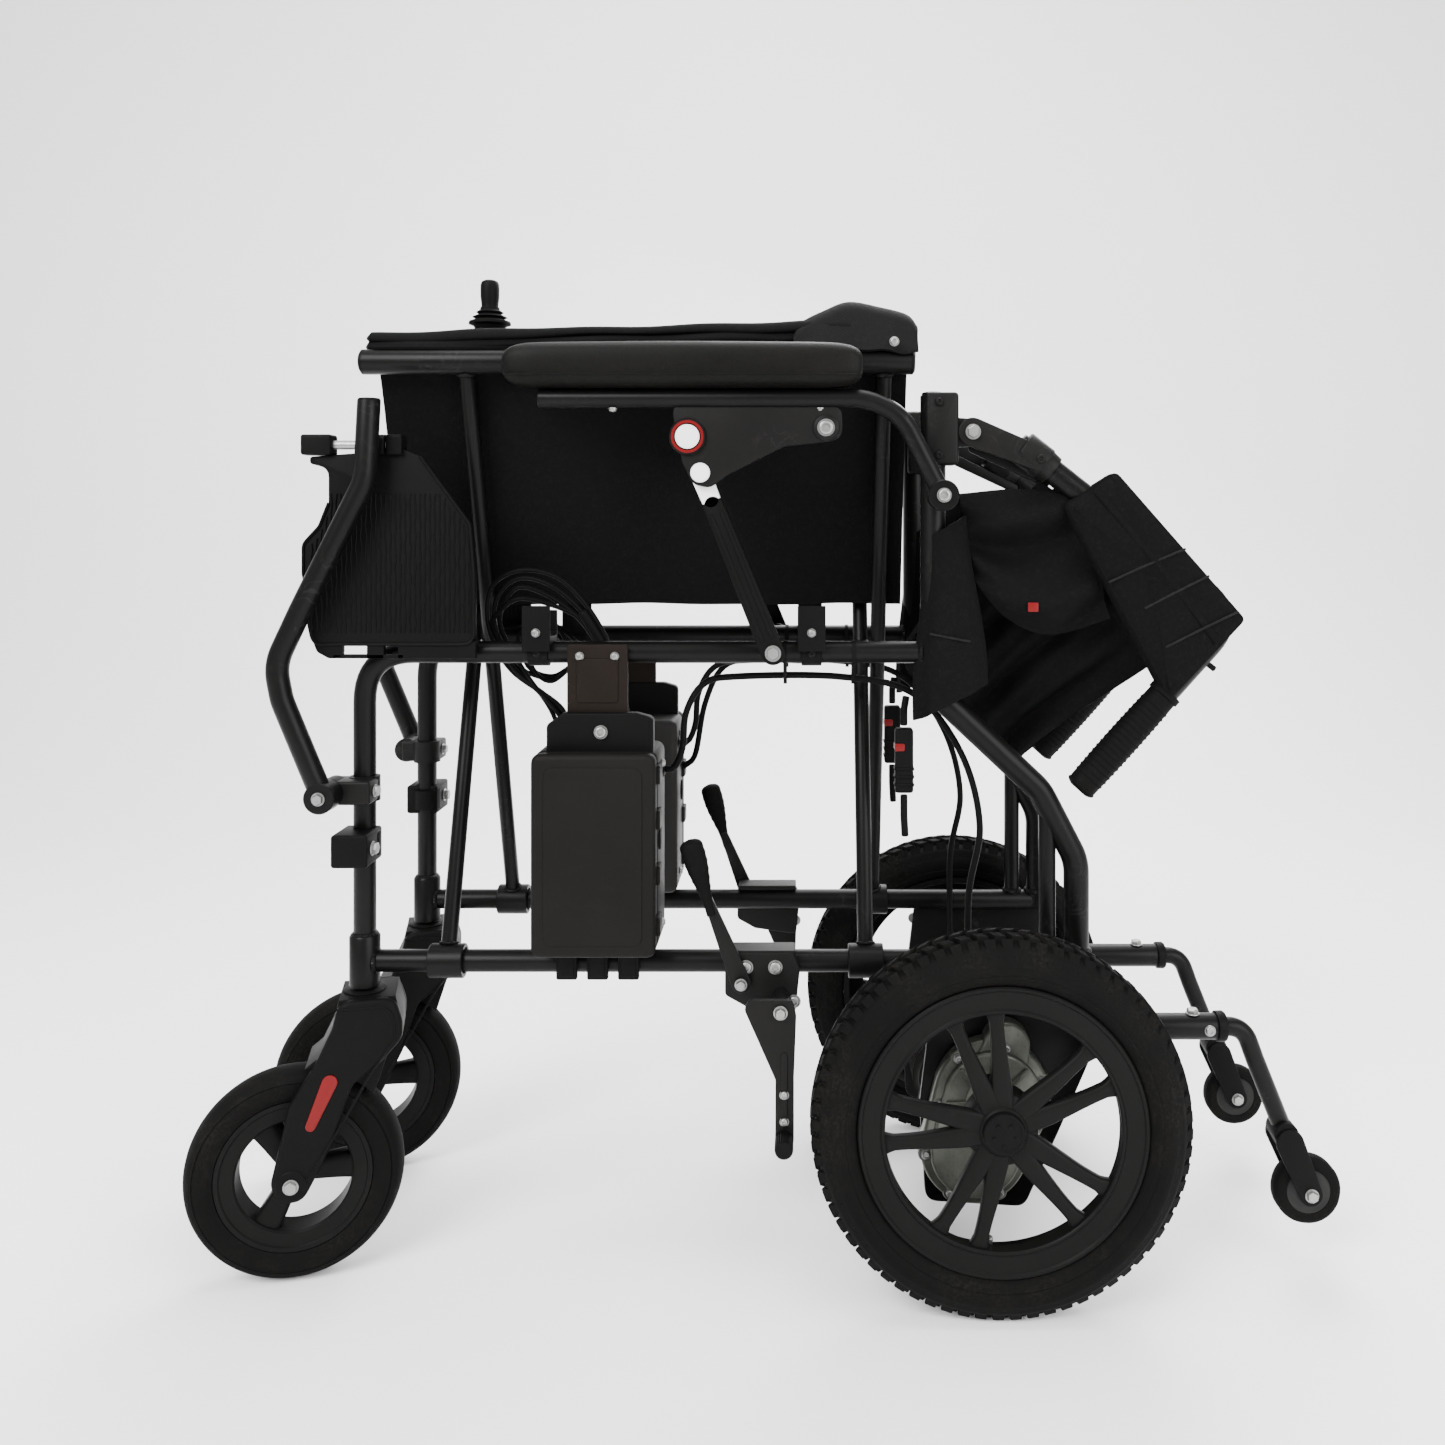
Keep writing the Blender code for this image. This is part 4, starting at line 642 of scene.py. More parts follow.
@dataclass(frozen=True)
class Moulded(Finish):
    """Injection-moulded plastic with a spark-eroded grain."""

    grain: float = 0.00009
    gloss: float = 0.05

    def dress(self, shader: Shader) -> None:
        """Adds the finish's nodes."""
        cloud = shader.noise(13.0, 2.0)
        grain = shader.cells(1150.0) * 0.6 + shader.noise(1900.0, 2.0) * 0.4
        worn = self.scuffs(shader, 26.0)
        colour = shader.blend(cloud.between(0.3, 0.7), self.colour, scaled(self.colour, 1.22))
        colour = shader.blend(grain.between(0.2, 0.5) * 0.3, colour, scaled(self.colour, 0.7))
        shader.set(base_color=shader.blend(worn * 0.12, colour, scaled(self.colour, 3.0)),
                   roughness=self.roughness + (cloud - 0.5) * 0.12 + (grain - 0.4) * 0.10, specular_ior_level=self.gloss)
        shader.bump(grain, self.grain, 0.6)


@dataclass(frozen=True)
class Rubber(Finish):
    """Rubber with a matt bloom, and dust in its hollows."""

    dust: float = 0.3

    def dress(self, shader: Shader) -> None:
        """Adds the finish's nodes."""
        cloud = shader.noise(17.0, 4.0, 0.6)
        specks = shader.noise(420.0, 3.0, 0.7)
        dust = cloud.between(0.42, 0.68) * specks.between(0.4, 0.7) * self.dust
        colour = shader.blend(cloud, self.colour, scaled(self.colour, 1.5))
        shader.set(base_color=shader.blend(dust, colour, (0.020, 0.0185, 0.016)),
                   roughness=self.roughness + (cloud - 0.5) * 0.16, specular_ior_level=0.04)
        shader.bump(specks * 0.6 + shader.noise(90.0) * 0.4, 0.00016, 0.6)


@dataclass(frozen=True)
class Weave(Finish):
    """Coated nylon cloth: warp and weft that pass over and under each other, on the cloth's own measure, with painted
    shade in the dips between threads and a painted highlight on their tops.
    """

    pitch: float = 0.0016

    def dress(self, shader: Shader) -> None:
        """Adds the finish's nodes."""
        measure = shader.node("ShaderNodeTexCoord", output="UV")
        across = shader.node("ShaderNodeSeparateXYZ", {}, {0: measure}, "X")
        along = shader.node("ShaderNodeSeparateXYZ", {}, {0: measure}, "Y")
        u, v = across * (TURN / self.pitch), along * (TURN / self.pitch)
        thread_height_and_painted_shade = 0.5 + u.sine() * v.sine() * 0.5
        slubs = shader.noise(300.0, 3.0, 0.6)
        cloud = shader.noise(7.0, 3.0)
        # Painted shade and highlight: the base colour follows the weave's relief, darker where threads dip and lighter
        # where they ride over.
        colour = shader.blend(thread_height_and_painted_shade, scaled(self.colour, 0.55), scaled(self.colour, 1.3))
        colour = shader.blend(slubs.between(0.45, 0.75) * 0.4, colour, scaled(self.colour, 2.1))
        lint = shader.noise(900.0, 2.0).between(0.7, 0.78)
        shader.set(base_color=shader.blend(lint * 0.2, colour, (0.03, 0.03, 0.03)),
                   roughness=self.roughness + (cloud - 0.5) * 0.12, specular_ior_level=0.05)
        shader.bump(thread_height_and_painted_shade * 0.75 + slubs * 0.25, 0.00025, 0.8)


@dataclass(frozen=True)
class Vinyl(Finish):
    """Soft pad skin with a leather grain: creasing where cells meet, with its base colour darkened there as painted
    shade, and fine pores.
    """

    def dress(self, shader: Shader) -> None:
        """Adds the finish's nodes."""
        crease_depth_and_painted_shade = shader.cells(520.0, "DISTANCE_TO_EDGE").between(0.0, 0.16)
        cloud = shader.noise(10.0, 3.0)
        pores = shader.noise(1500.0, 2.0)
        # Painted shade: the base colour darkens to 0.55 of itself along each crease, where the grain's relief is
        # lowest.
        colour = shader.blend(crease_depth_and_painted_shade, scaled(self.colour, 0.55), self.colour)
        colour = shader.blend(cloud.between(0.45, 0.72) * 0.35, colour, scaled(self.colour, 1.7))
        shader.set(base_color=colour, roughness=self.roughness + (cloud - 0.5) * 0.16 - crease_depth_and_painted_shade * 0.05,
                   specular_ior_level=0.06)
        shader.bump(crease_depth_and_painted_shade * 0.7 + pores * 0.3, 0.0002, 0.5)


@dataclass(frozen=True)
class CastAlloy(Finish):
    """Sand-blasted cast alloy: coarse grain, dull patches and dark grime in the pits."""

    def dress(self, shader: Shader) -> None:
        """Adds the finish's nodes."""
        grain = shader.noise(420.0, 5.0, 0.7)
        patches = shader.noise(26.0, 4.0, 0.6)
        colour = shader.blend(patches.between(0.35, 0.65), scaled(self.colour, 0.72), self.colour)
        colour = shader.blend(grain.between(0.55, 0.72) * 0.5, colour, scaled(self.colour, 0.35))
        shader.set(base_color=colour, metallic=0.85 - patches.between(0.5, 0.7) * 0.25,
                   roughness=self.roughness + (grain - 0.5) * 0.3)
        shader.bump(grain * 0.7 + patches * 0.3, 0.0004, 0.6)


@dataclass(frozen=True)
class Plated(Finish):
    """Zinc plate: bright, with fine turning marks and dull spots."""

    def dress(self, shader: Shader) -> None:
        """Adds the finish's nodes."""
        spots = shader.noise(240.0, 4.0, 0.65)
        marks = shader.noise(2600.0, 1.0)
        shader.set(base_color=shader.blend(spots.between(0.5, 0.72) * 0.5, self.colour, scaled(self.colour, 0.6)),
                   metallic=1.0, roughness=self.roughness + spots * 0.18)
        shader.bump(marks, 0.00003, 0.5)


PAINT = PowderCoat("satin_black_paint", "black_paint", (0.0026, 0.0025, 0.0024), 0.36)
CAST_BLACK = PowderCoat("cast_black_paint", "black_paint", (0.0038, 0.0036, 0.0034), 0.48)
CASE_PLASTIC = Moulded("battery_case_plastic", "battery_case", (0.0062, 0.0058, 0.0053), 0.50)
GREY_CASE = Moulded("controller_case_plastic", "battery_case", (0.0150, 0.0145, 0.0140), 0.46)
BLACK_PLASTIC = Moulded("black_plastic", "black_plastic", (0.0030, 0.0029, 0.0028), 0.50)
BROWN_PLASTIC = Moulded("hanger_plastic", "black_plastic", (0.0085, 0.0062, 0.0050), 0.52)
WHEEL_PLASTIC = Moulded("wheel_plastic", "grey_plastic", (0.0046, 0.0045, 0.0043), 0.42)
GREY_PLASTIC = Moulded("grey_plastic", "grey_plastic", (0.018, 0.018, 0.0175), 0.50)
WHITE_PLASTIC = Moulded("white_plastic", "white_plastic", (0.86, 0.86, 0.85), 0.35, 0.00003, 0.4)
RED_PLASTIC = Moulded("red_plastic", "white_plastic", (0.11, 0.0008, 0.0016), 0.35, 0.00004, 0.2)
TYRE = Rubber("tyre_rubber", "tyre_rubber", (0.0026, 0.0025, 0.0024), 0.72)
GRIP = Rubber("grip_rubber", "grip_rubber", (0.0025, 0.0024, 0.0023), 0.66, 0.12)
CABLE_SKIN = Rubber("cable_rubber", "cable_rubber", (0.0026, 0.0026, 0.0027), 0.50, 0.10)
CLOTH = Weave("sling_cloth", "sling_cloth", (0.0028, 0.0028, 0.0030), 0.82)
WEBBING = Weave("webbing", "sling_cloth", (0.0036, 0.0035, 0.0034), 0.72, 0.0030)
THREAD = Weave("seam_tape", "sling_cloth", (0.0085, 0.0084, 0.0083), 0.75, 0.0010)
PAD_SKIN = Vinyl("pad_vinyl", "pad_vinyl", (0.0040, 0.0038, 0.0035), 0.46)
GEAR_CASE = CastAlloy("gear_case_alloy", "cast_metal", (0.125, 0.130, 0.112), 0.46)
ZINC = Plated("zinc_plate", "zinc_fittings", (0.27, 0.27, 0.265), 0.32)


# --- putting pieces in place ---


@dataclass(frozen=True)
class Sizes:
    """What the sub-assemblies share, in station from the front upright, out from the middle, and height."""

    length: float = 0.4935
    half: float = 0.092
    outrigger: float = 0.130
    lower_rail: float = 0.263
    upper_rail: float = 0.531
    seat_rail: float = 0.783
    tube: float = 0.019
    axle: float = 0.541
    axle_height: float = 0.155
    wheel_out: float = 0.159
    rail_tube: float = 0.022
    sweep: float = 0.003

    @property
    def shift(self) -> float:
        """Where the front upright stands in the frame: the drive wheel's middle less the axle's station."""
        low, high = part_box("right_drive_tyre")
        return (low[0] + high[0]) / 2 - self.axle


SIZES = Sizes()
SHIFT = np.array([SIZES.shift, 0.0, 0.0])


def place(name: str, shape: Shape, finish: Finish, body: str, stands_for: Iterable[str] = (),
          smooth: float = SHARP_ANGLE) -> bpy.types.Object:
    """Makes one piece of the chair.

    Args:
        name: of the piece.
        shape: its surface, in the chair's own measure.
        finish: what it is dressed in.
        body: what it moves with.
        stands_for: nodes of the frame that it takes the place of.
        smooth: edges that turn more than this stay sharp.
    Returns:
        The piece.
    """
    mesh = bpy.data.meshes.new(name)
    faces = shape.quads.tolist() + [p.tolist() for p in shape.polygons]
    mesh.from_pydata((shape.points + SHIFT).tolist(), [], faces)
    corners = np.empty(len(mesh.loops), np.int32)
    mesh.loops.foreach_get("vertex_index", corners)
    if shape.measure is not None:
        mesh.uv_layers.new(name="measure").data.foreach_set("uv", shape.measure[corners].ravel())
    mesh.shade_smooth()
    mesh.set_sharp_from_angle(angle=smooth)
    mesh.materials.append(finish.material())
    obj = bpy.data.objects.new(name, mesh)
    bpy.context.scene.collection.objects.link(obj)
    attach(obj, body)
    if stands_for:
        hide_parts(*stands_for)
    LOG.info("%s on %s, %d faces", name, body, len(faces))
    return obj


def pair(name: str, shape: Shape, finish: Finish, body: str, stands_for: Iterable[str] = (), yaw: float = 0.0,
         sides: Iterable[Side] = tuple(Side)) -> list[bpy.types.Object]:
    """Makes a piece on the right and its mirror image on the left.

    Args:
        name: of the piece, without its side.
        shape: the right one's surface.
        finish: what both are dressed in.
        body: the body on that side, without its side.
        stands_for: nodes that they take the place of, without their side.
        yaw: a turn about the front upright, the same way on both sides.
        sides: the sides to make.
    Returns:
        The pieces.
    """
    made = []
    for side in sides:
        one = shape if side is Side.RIGHT else shape.mirrored()
        if yaw:
            one = one.yawed(yaw, (0, side.value * SIZES.half, 0))
        nodes = [side.prefix + node for node in stands_for]
        made.append(place(side.prefix + name, one, finish, side.prefix + body, nodes))
    return made


# --- the side frames ---


@dataclass(frozen=True)
class SideFrame:
    """Welded tubes of one side, with its castings, saddles, plugs, welds and bolts."""

    front_foot: float = 0.2415
    back_top: float = 0.754
    back_tube: float = 0.022
    strut_tube: float = 0.015
    upright_bend: float = 0.043
    back_bend: float = 0.045
    rail_end: float = 0.6215
    back_route: tuple[tuple[float, float], ...] = ((0.0, 0.498), (0.093, 0.411), (0.1245, 0.350), (0.1245, 0.258))
    strut: tuple[float, float] = (0.0991, 0.402)
    receiver_height: float = 0.206
    receiver_end: float = 0.747
    hinge: tuple[float, float] = (0.5266, 0.7213)
    arm_pivot: tuple[float, float] = (0.498, 0.666)
    legrest_pivot: tuple[float, float] = (-0.0227, 0.413)
    saddles: tuple[float, float] = (0.152, 0.388)

    def tubes(self) -> Shape:
        """The bent front tube, lower rail, back tube, rear strut and receiver."""
        s, y = SIZES, SIZES.half
        front = bent([(0, y, self.front_foot), (0, y, s.upper_rail), (s.length, y, s.upper_rail)],
                     self.upright_bend, 12)
        back = [(s.length, y, self.back_top)] + [(s.length + a, y, z) for a, z in self.back_route]
        strut = s.length + self.strut[0]
        return joined([
            tube(front, s.tube),
            rod((0, y, s.lower_rail), (self.rail_end - 0.004, y, s.lower_rail), s.tube),
            tube(bent(back, self.back_bend, 10), self.back_tube),
            rod((strut, y, self.strut[1]), (strut, y, s.lower_rail), self.strut_tube),
            rod((s.axle + 0.045, y, self.receiver_height), (self.receiver_end, y, self.receiver_height), 0.022),
            turned([(0.0095, -0.022), (0.013, -0.0215), (0.013, 0.0205), (0.0118, 0.0225), (0.0095, 0.023)],
                   (0, y, self.front_foot + 0.0225), (0, 0, 1), 40),
        ])

    def welds(self) -> Shape:
        """A bead where each tube meets another."""
        s, y = SIZES, SIZES.half
        strut, foot = s.length + self.strut[0], s.length + self.back_route[-1][0]
        half = s.tube / 2
        return joined([
            bead((half + 0.0005, y, s.lower_rail), (1, 0, 0), half),
            bead((s.length - self.back_tube / 2, y, s.upper_rail), (1, 0, 0), half),
            bead((foot, y, s.lower_rail + half), (0, 0, 1), self.back_tube / 2),
            bead((strut, y, s.lower_rail + half), (0, 0, 1), self.strut_tube / 2),
            bead((strut, y, self.strut[1] - 0.008), (0.25, 0, 1), self.strut_tube / 2),
            bead((0, y, self.front_foot + 0.045), (0, 0, 1), half, 0.0018),
        ])

    def axle_plate(self) -> Shape:
        """The plate under the lower rail that the gear case bolts to."""
        x, z, top = SIZES.axle, SIZES.axle_height, SIZES.lower_rail + 0.004
        outline = [(x - 0.045, top), (x - 0.060, z - 0.01), (x - 0.055, z - 0.095), (x + 0.03, z - 0.1),
                   (x + 0.062, z - 0.03), (x + 0.092, self.receiver_height - 0.012), (x + 0.092, top)]
        return plate(bent(outline, 0.012, closed=True), SIZES.half + 0.004, SIZES.half + 0.0112)

    def castings(self) -> Shape:
        """The back tube's hinge clamp and ear, the arm's shoulder, and the legrest's ear."""
        s, y = SIZES, SIZES.half
        x, z = s.length, self.hinge[1]
        clamp = rounded_box((x - 0.0072, y - 0.0142, z - 0.028), (x + 0.0212, y + 0.0132, z + 0.0345), 0.004, 0.003)
        ear = plate(link_outline((x + 0.006, z), self.hinge, 0.014, 0.0118), y - 0.004, y + 0.0085, 0.0015)
        rib = plate(link_outline((x + 0.002, z - 0.016), (self.hinge[0] - 0.006, z - 0.002), 0.005, 0.004),
                    y - 0.001, y + 0.0045, 0.001)
        shoulder = rod((self.arm_pivot[0], y + 0.004, self.arm_pivot[1]),
                       (self.arm_pivot[0], s.outrigger - 0.0095, self.arm_pivot[1]), 0.020)
        lx, lz = self.legrest_pivot
        arm = rounded_box((lx - 0.002, y - 0.004, lz - 0.010), (0.0125, s.outrigger - 0.0125, lz + 0.010), 0.003, 0.002)
        eye = rod((lx, y + 0.004, lz), (lx, s.outrigger - 0.0125, lz), 0.024)
        collar = turned([(0.0094, -0.011), (0.0130, -0.0105), (0.0130, 0.0105), (0.0094, 0.011)],
                        (0, y, lz), (0, 0, 1), 40)
        return joined([clamp, ear, rib, shoulder, arm, eye, collar])

    def stop(self) -> Shape:
        """The block that the lowered legrest rests against, clamped round the upright."""
        y = SIZES.half
        block = rounded_box((-0.0185, y - 0.008, 0.351), (0.0125, SIZES.outrigger - 0.006, 0.379), 0.003, 0.002)
        nose = rounded_box((-0.0180, y + 0.014, 0.354), (-0.0155, SIZES.outrigger - 0.010, 0.376), 0.001, 0.001)
        collar = turned([(0.0094, -0.010), (0.0135, -0.0095), (0.0135, 0.0095), (0.0094, 0.010)],
                        (0, y, 0.365), (0, 0, 1), 40)
        return joined([block, nose, collar])

    def saddle(self, station: float) -> Shape:
        """A U that the seat rail drops into, with a rib under it and a strap round the rail."""
        y, gap, wall = SIZES.half, 0.0145, 0.003
        floor, low, top = SIZES.upper_rail + SIZES.tube / 2 + 0.005, SIZES.upper_rail + 0.002, 0.572
        outline = [(y - gap - wall, low), (y + gap + wall, low), (y + gap + wall, top), (y + gap, top),
                   (y + gap, floor + 0.003), (y + gap - 0.003, floor), (y - gap + 0.003, floor),
                   (y - gap, floor + 0.003), (y - gap, 0.5665), (y - gap - wall, 0.5665)]
        body = plate(np.array(outline), station - 0.012, station + 0.012, 0.0008, Axis.X)
        strap = turned([(0.0094, -0.009), (0.0118, -0.0085), (0.0118, 0.0085), (0.0094, 0.009)],
                       (station, y, SIZES.upper_rail), (1, 0, 0), 40)
        return body + strap

    def plugs(self) -> Shape:
        """Plastic plugs in the open tube ends, and the receiver's collar."""
        s, y = SIZES, SIZES.half
        cap = [(0.0005, 0.0040), (0.0070, 0.0036), (0.0092, 0.0022), (0.0094, 0.0002), (0.0080, 0.0), (0.0005, -0.001)]
        wide = [(r * 1.04, h * 0.6) for r, h in cap]
        collar = [(0.0086, -0.006), (0.0128, -0.006), (0.0130, 0.0), (0.0118, 0.0018), (0.0086, 0.002)]
        return joined([
            turned(cap, (self.rail_end - 0.004, y, s.lower_rail), (1, 0, 0), 40),
            turned(wide, (s.length, y, self.back_top + 0.0006), (0, 0, 1), 40),
            turned(collar, (self.receiver_end - 0.002, y, self.receiver_height), (1, 0, 0), 40),
        ])

    def bolts(self) -> Shape:
        """Zinc bolts, nuts and pivot pins."""
        s, y = SIZES, SIZES.half
        heads: list[Shape] = []
        for station in self.saddles:
            heads.append(bolt((station, y + 0.0173, s.upper_rail + 0.018), (0, 1, 0), 0.0032, 0.0025, True))
        lx, lz = self.legrest_pivot
        heads.append(rod((lx, s.outrigger - 0.0125, lz), (lx, s.outrigger + 0.0105, lz), 0.009))
        heads.append(bolt((lx, s.outrigger + 0.0096, lz), (0, 1, 0), 0.0048, 0.0030))
        heads.append(bolt((0.0125, s.outrigger - 0.020, 0.365), (1, 0, 0), 0.0052, 0.0040))
        heads.append(bolt((0.0125, s.half + 0.012, lz), (1, 0, 0), 0.0045, 0.0035))
        hx, hz = self.hinge
        heads.append(rod((hx, y + 0.002, hz), (hx, y + 0.0140, hz), 0.009))
        heads.append(bolt((hx, y + 0.0140, hz), (0, 1, 0), 0.0056, 0.0030))
        ax, az = self.arm_pivot
        heads.append(rod((ax, s.outrigger - 0.0095, az), (ax, s.outrigger + 0.0105, az), 0.010))
        heads.append(bolt((ax, s.outrigger + 0.0092, az), (0, 1, 0), 0.0052, 0.0032, True))
        for x, z in ((-0.047, 0.085), (0.048, 0.080), (0.078, 0.090)):
            heads.append(bolt((s.axle + x, y + 0.0113, s.axle_height + z), (0, 1, 0), 0.0045, 0.0032))
        heads.append(bolt((self.receiver_end - 0.028, y, self.receiver_height + 0.0108), (0, 0, 1), 0.0050, 0.0036))
        heads.append(bolt((self.rail_end - 0.012, y + 0.0094, s.lower_rail), (0, 1, 0), 0.0038, 0.0026, True))
        return joined(heads)

    def screws(self) -> Shape:
        """Blackened screws in the hinge clamp and the saddles' straps."""
        s, y = SIZES, SIZES.half
        heads = [bolt((station, y + 0.0118, s.upper_rail), (0, 1, 0), 0.0030, 0.0020, True) for station in self.saddles]
        for lift in (0.026, -0.020):
            heads.append(bolt((s.length + 0.004, y + 0.0133, self.hinge[1] + lift), (0, 1, 0), 0.0034, 0.0020, True))
        return joined(heads)

    def build(self) -> None:
        """Makes both side frames."""
        pair("frame_tubes", self.tubes() + self.welds(), PAINT, "side", ["side_frame"])
        pair("axle_plate", self.axle_plate(), PAINT, "side")
        pair("frame_castings", self.castings(), CAST_BLACK, "side")
        pair("legrest_stop", self.stop(), BLACK_PLASTIC, "side")
        pair("seat_saddles", joined(self.saddle(x) for x in self.saddles), BLACK_PLASTIC, "side")
        pair("tube_plugs", self.plugs(), BLACK_PLASTIC, "side")
        pair("frame_bolts", self.bolts(), ZINC, "side")
        pair("frame_screws", self.screws(), CAST_BLACK, "side")


@dataclass(frozen=True)
class CrossBrace:
    """The folding scissor: seat rails with their brace tubes, sleeves and centre bolts."""

    stations: tuple[float, float] = (0.088, 0.451)
    step: float = 0.016
    tube: float = 0.014
    rail_front: float = -0.004
    rail_back: float = 0.478
    sleeve: float = 0.030

    def half_brace(self, step: float) -> Shape:
        """One seat rail with its two tubes, which run down to sleeves round the far lower rail."""
        s, y = SIZES, SIZES.half
        middle = (s.lower_rail + s.seat_rail) / 2
        shapes = [rod((self.rail_front + 0.003, y, s.seat_rail), (self.rail_back - 0.003, y, s.seat_rail), s.rail_tube)]
        for station in self.stations:
            x = station + step
            foot, top = np.array([x, -y, s.lower_rail]), np.array([x, y, s.seat_rail])
            way = (top - foot) / np.linalg.norm(top - foot)
            shapes.append(rod(foot + way * 0.0125, top - way * 0.004, self.tube))
            shapes.append(bead(top - way * 0.0105, way, self.tube / 2))
            shapes.append(bead(foot + way * 0.0145, way, self.tube / 2, 0.0016))
            half = self.sleeve / 2
            shapes.append(turned([(0.0112, -half), (0.0138, -half), (0.0145, -half + 0.0007), (0.0145, half - 0.0007),
                                  (0.0138, half), (0.0112, half)], foot, (1, 0, 0), 48, ring=True))
            shapes.append(turned([(0.0040, -0.007), (0.0103, -0.007), (0.0110, -0.0063), (0.0110, 0.0063),
                                  (0.0103, 0.007), (0.0040, 0.007)], (x, 0, middle), (1, 0, 0), 48, ring=True))
        return joined(shapes)

    def caps(self) -> Shape:
        """Plugs in both ends of the seat rail."""
        y, z = SIZES.half, SIZES.seat_rail
        cap = [(0.0005, 0.0040), (0.0085, 0.0036), (0.0108, 0.0020), (0.0110, 0.0), (0.0090, -0.001), (0.0005, -0.002)]
        return (turned(cap, (self.rail_back - 0.004, y, z), (1, 0, 0), 40)
                + turned(cap, (self.rail_front + 0.004, y, z), (-1, 0, 0), 40))

    def pivot(self, station: float) -> Shape:
        """The bolt through both tubes where they cross, with a washer and head at each end."""
        middle = (SIZES.lower_rail + SIZES.seat_rail) / 2
        back, front = station - self.step - self.tube / 2, station + self.tube / 2
        return joined([
            rod((back, 0, middle), (front, 0, middle), 0.006),
            bolt((back, 0, middle), (-1, 0, 0), 0.0060, 0.0038),
            bolt((front, 0, middle), (1, 0, 0), 0.0060, 0.0038),
        ])

    def build(self) -> None:
        """Makes both halves of the scissor and its bolts."""
        place("left_brace_tubes", self.half_brace(0.0).mirrored(), PAINT, "left_brace", ["left_cross_brace"])
        place("right_brace_tubes", self.half_brace(-self.step), PAINT, "right_brace", ["right_cross_brace"])
        pair("rail_caps", self.caps(), BLACK_PLASTIC, "brace")
        for name, station in zip(("front", "rear"), self.stations):
            place(name + "_brace_bolt", self.pivot(station), ZINC, "right_brace", [name + "_brace_pivot"])


# --- seat and back cloth ---


@dataclass(frozen=True)
class SeatSling:
    """The seat's cloth: each half wraps its rail and hangs down to the middle."""

    start: float = 0.008
    end: float = 0.472
    dip: float = math.radians(71)
    depth: float = 0.2316
    thickness: float = 0.0024
    wrap: float = 0.0126
    first: float = math.radians(112)
    tilt: float = math.tan(math.radians(33))

    @property
    def arc(self) -> float:
        """Length of the cloth that lies on the rail."""
        return self.wrap * (self.first - (math.pi / 2 - self.dip))

    def lean(self, points: Array) -> Array:
        """Shears whatever lies on the rail inwards, so that it lies on top again once the seat is down."""
        lift = np.maximum(points[..., 2] - SIZES.seat_rail - 0.008, 0)
        return points - self.tilt * lift[..., None] * np.array([0, 1, 0])

    def half(self) -> Shape:
        """One half, which comes over its rail and hangs inwards.

        Across the cloth it starts on the rail's top, goes over it as an arc, then down along a
        straight line. Soft ripples are added square to it: sines along the rail that grow towards the
        free edge.
        """
        count_along, count_down = 120, 64
        u = np.linspace(0, 1, count_along)[:, None]
        v = np.linspace(0, self.arc + self.depth, count_down)[None, :]
        angle = self.first - np.minimum(v, self.arc) / self.wrap
        run = np.maximum(v - self.arc, 0)
        way = np.array([math.cos(self.dip), math.sin(self.dip)])
        share = ease(run / 0.05)
        inward = self.wrap * np.cos(angle) + run * way[0]
        rise = self.wrap * np.sin(angle) - run * way[1]
        station = self.start + (self.end - self.start) * u + 0 * v
        fall = run / self.depth
        ripple = (0.0016 * np.sin(TURN * 2.3 * u + 0.9) + 0.0009 * np.sin(TURN * 5.1 * u + 2.0 + 3.0 * fall)) * share
        ripple = ripple + 0.0010 * np.sin(math.pi * fall) * np.sin(TURN * 1.2 * u + 0.3) * share
        inward, rise = inward + ripple * way[1], rise + ripple * way[0]
        points = np.stack([station, SIZES.half - inward, SIZES.seat_rail + rise], axis=-1)
        return sheet(points, self.thickness)

    def rolls(self) -> Shape:
        """Two flat folds of spare cloth that lie over the rail and rise towards the back.

        Each is a flattened loop carried along the rail; its height and its lift above the rail grow
        with the way back, and small sines rumple it.
        """
        folds = []
        for lift, drift, phase, thick in ((0.0145, -0.002, 0.4, 0.0056), (0.0222, 0.001, 1.9, 0.0056)):
            u = np.linspace(0, 1, 90)
            station = -0.003 + 0.436 * u
            middle = np.stack([
                station,
                SIZES.half + drift + 0.0012 * np.sin(TURN * 3.1 * u + phase) - 0.0085 * np.exp(-((u / 0.24) ** 4)),
                SIZES.seat_rail + lift + 0.011 * u + 0.0007 * np.sin(TURN * 4.3 * u + phase),
            ], axis=1)
            width = 0.0112 + 0.0008 * np.sin(TURN * 2.2 * u + phase)
            loop = circle(1.0, 24)
            loop = np.sign(loop) * np.abs(loop) ** 0.75
            section = np.stack([np.outer(width, loop[:, 0]), np.outer(thick + 0.0008 * np.sin(9 * u), loop[:, 1])], -1)
            ends = np.clip(np.minimum(u, 1 - u) / 0.008, 0.25, 1)
            folds.append(swept(middle, section, (0, 0, 1), ends))
        stack = joined(folds)
        return stack.at(self.lean(stack.points))

    def strap(self) -> Shape:
        """The webbing at the back of the seat, thrown over the rail: an arch in section, under a humped ridge.

        Across it a half circle is carried on downwards by two straight sides. Along it the ridge is a smooth
        curve, and the two lower edges wander by a sine.
        """
        ridge = curve_through([(0.3730, 0, 0.8085), (0.3790, 0, 0.8190), (0.4000, 0, 0.8310), (0.4215, 0, 0.8395),
                               (0.4480, 0, 0.8345), (0.4720, 0, 0.8270), (0.4800, 0, 0.8160)], 60)
        v = np.linspace(-1, 1, 61)[None, :]
        turn = np.clip(v / 0.5, -1, 1) * math.pi / 2
        side = np.clip((np.abs(v) - 0.5) / 0.5, 0, 1)
        width = np.where(v < 0, 0.0150, 0.0123)
        radius = 0.0105
        station, top = ridge[:, :1], ridge[:, 2:]
        hem = 0.7905 + 0.0015 * np.sin(station * 90) + 0.0010 * np.sin(station * 210 + v)
        shoulder = top - radius * (1 - np.cos(turn))
        height = shoulder + (hem - shoulder) * side
        out = SIZES.half + width * np.sin(turn) + 0.0008 * np.sin(station * 130) * side
        return sheet(self.lean(np.stack([station + 0 * v, out, height], axis=-1)), 0.0024)

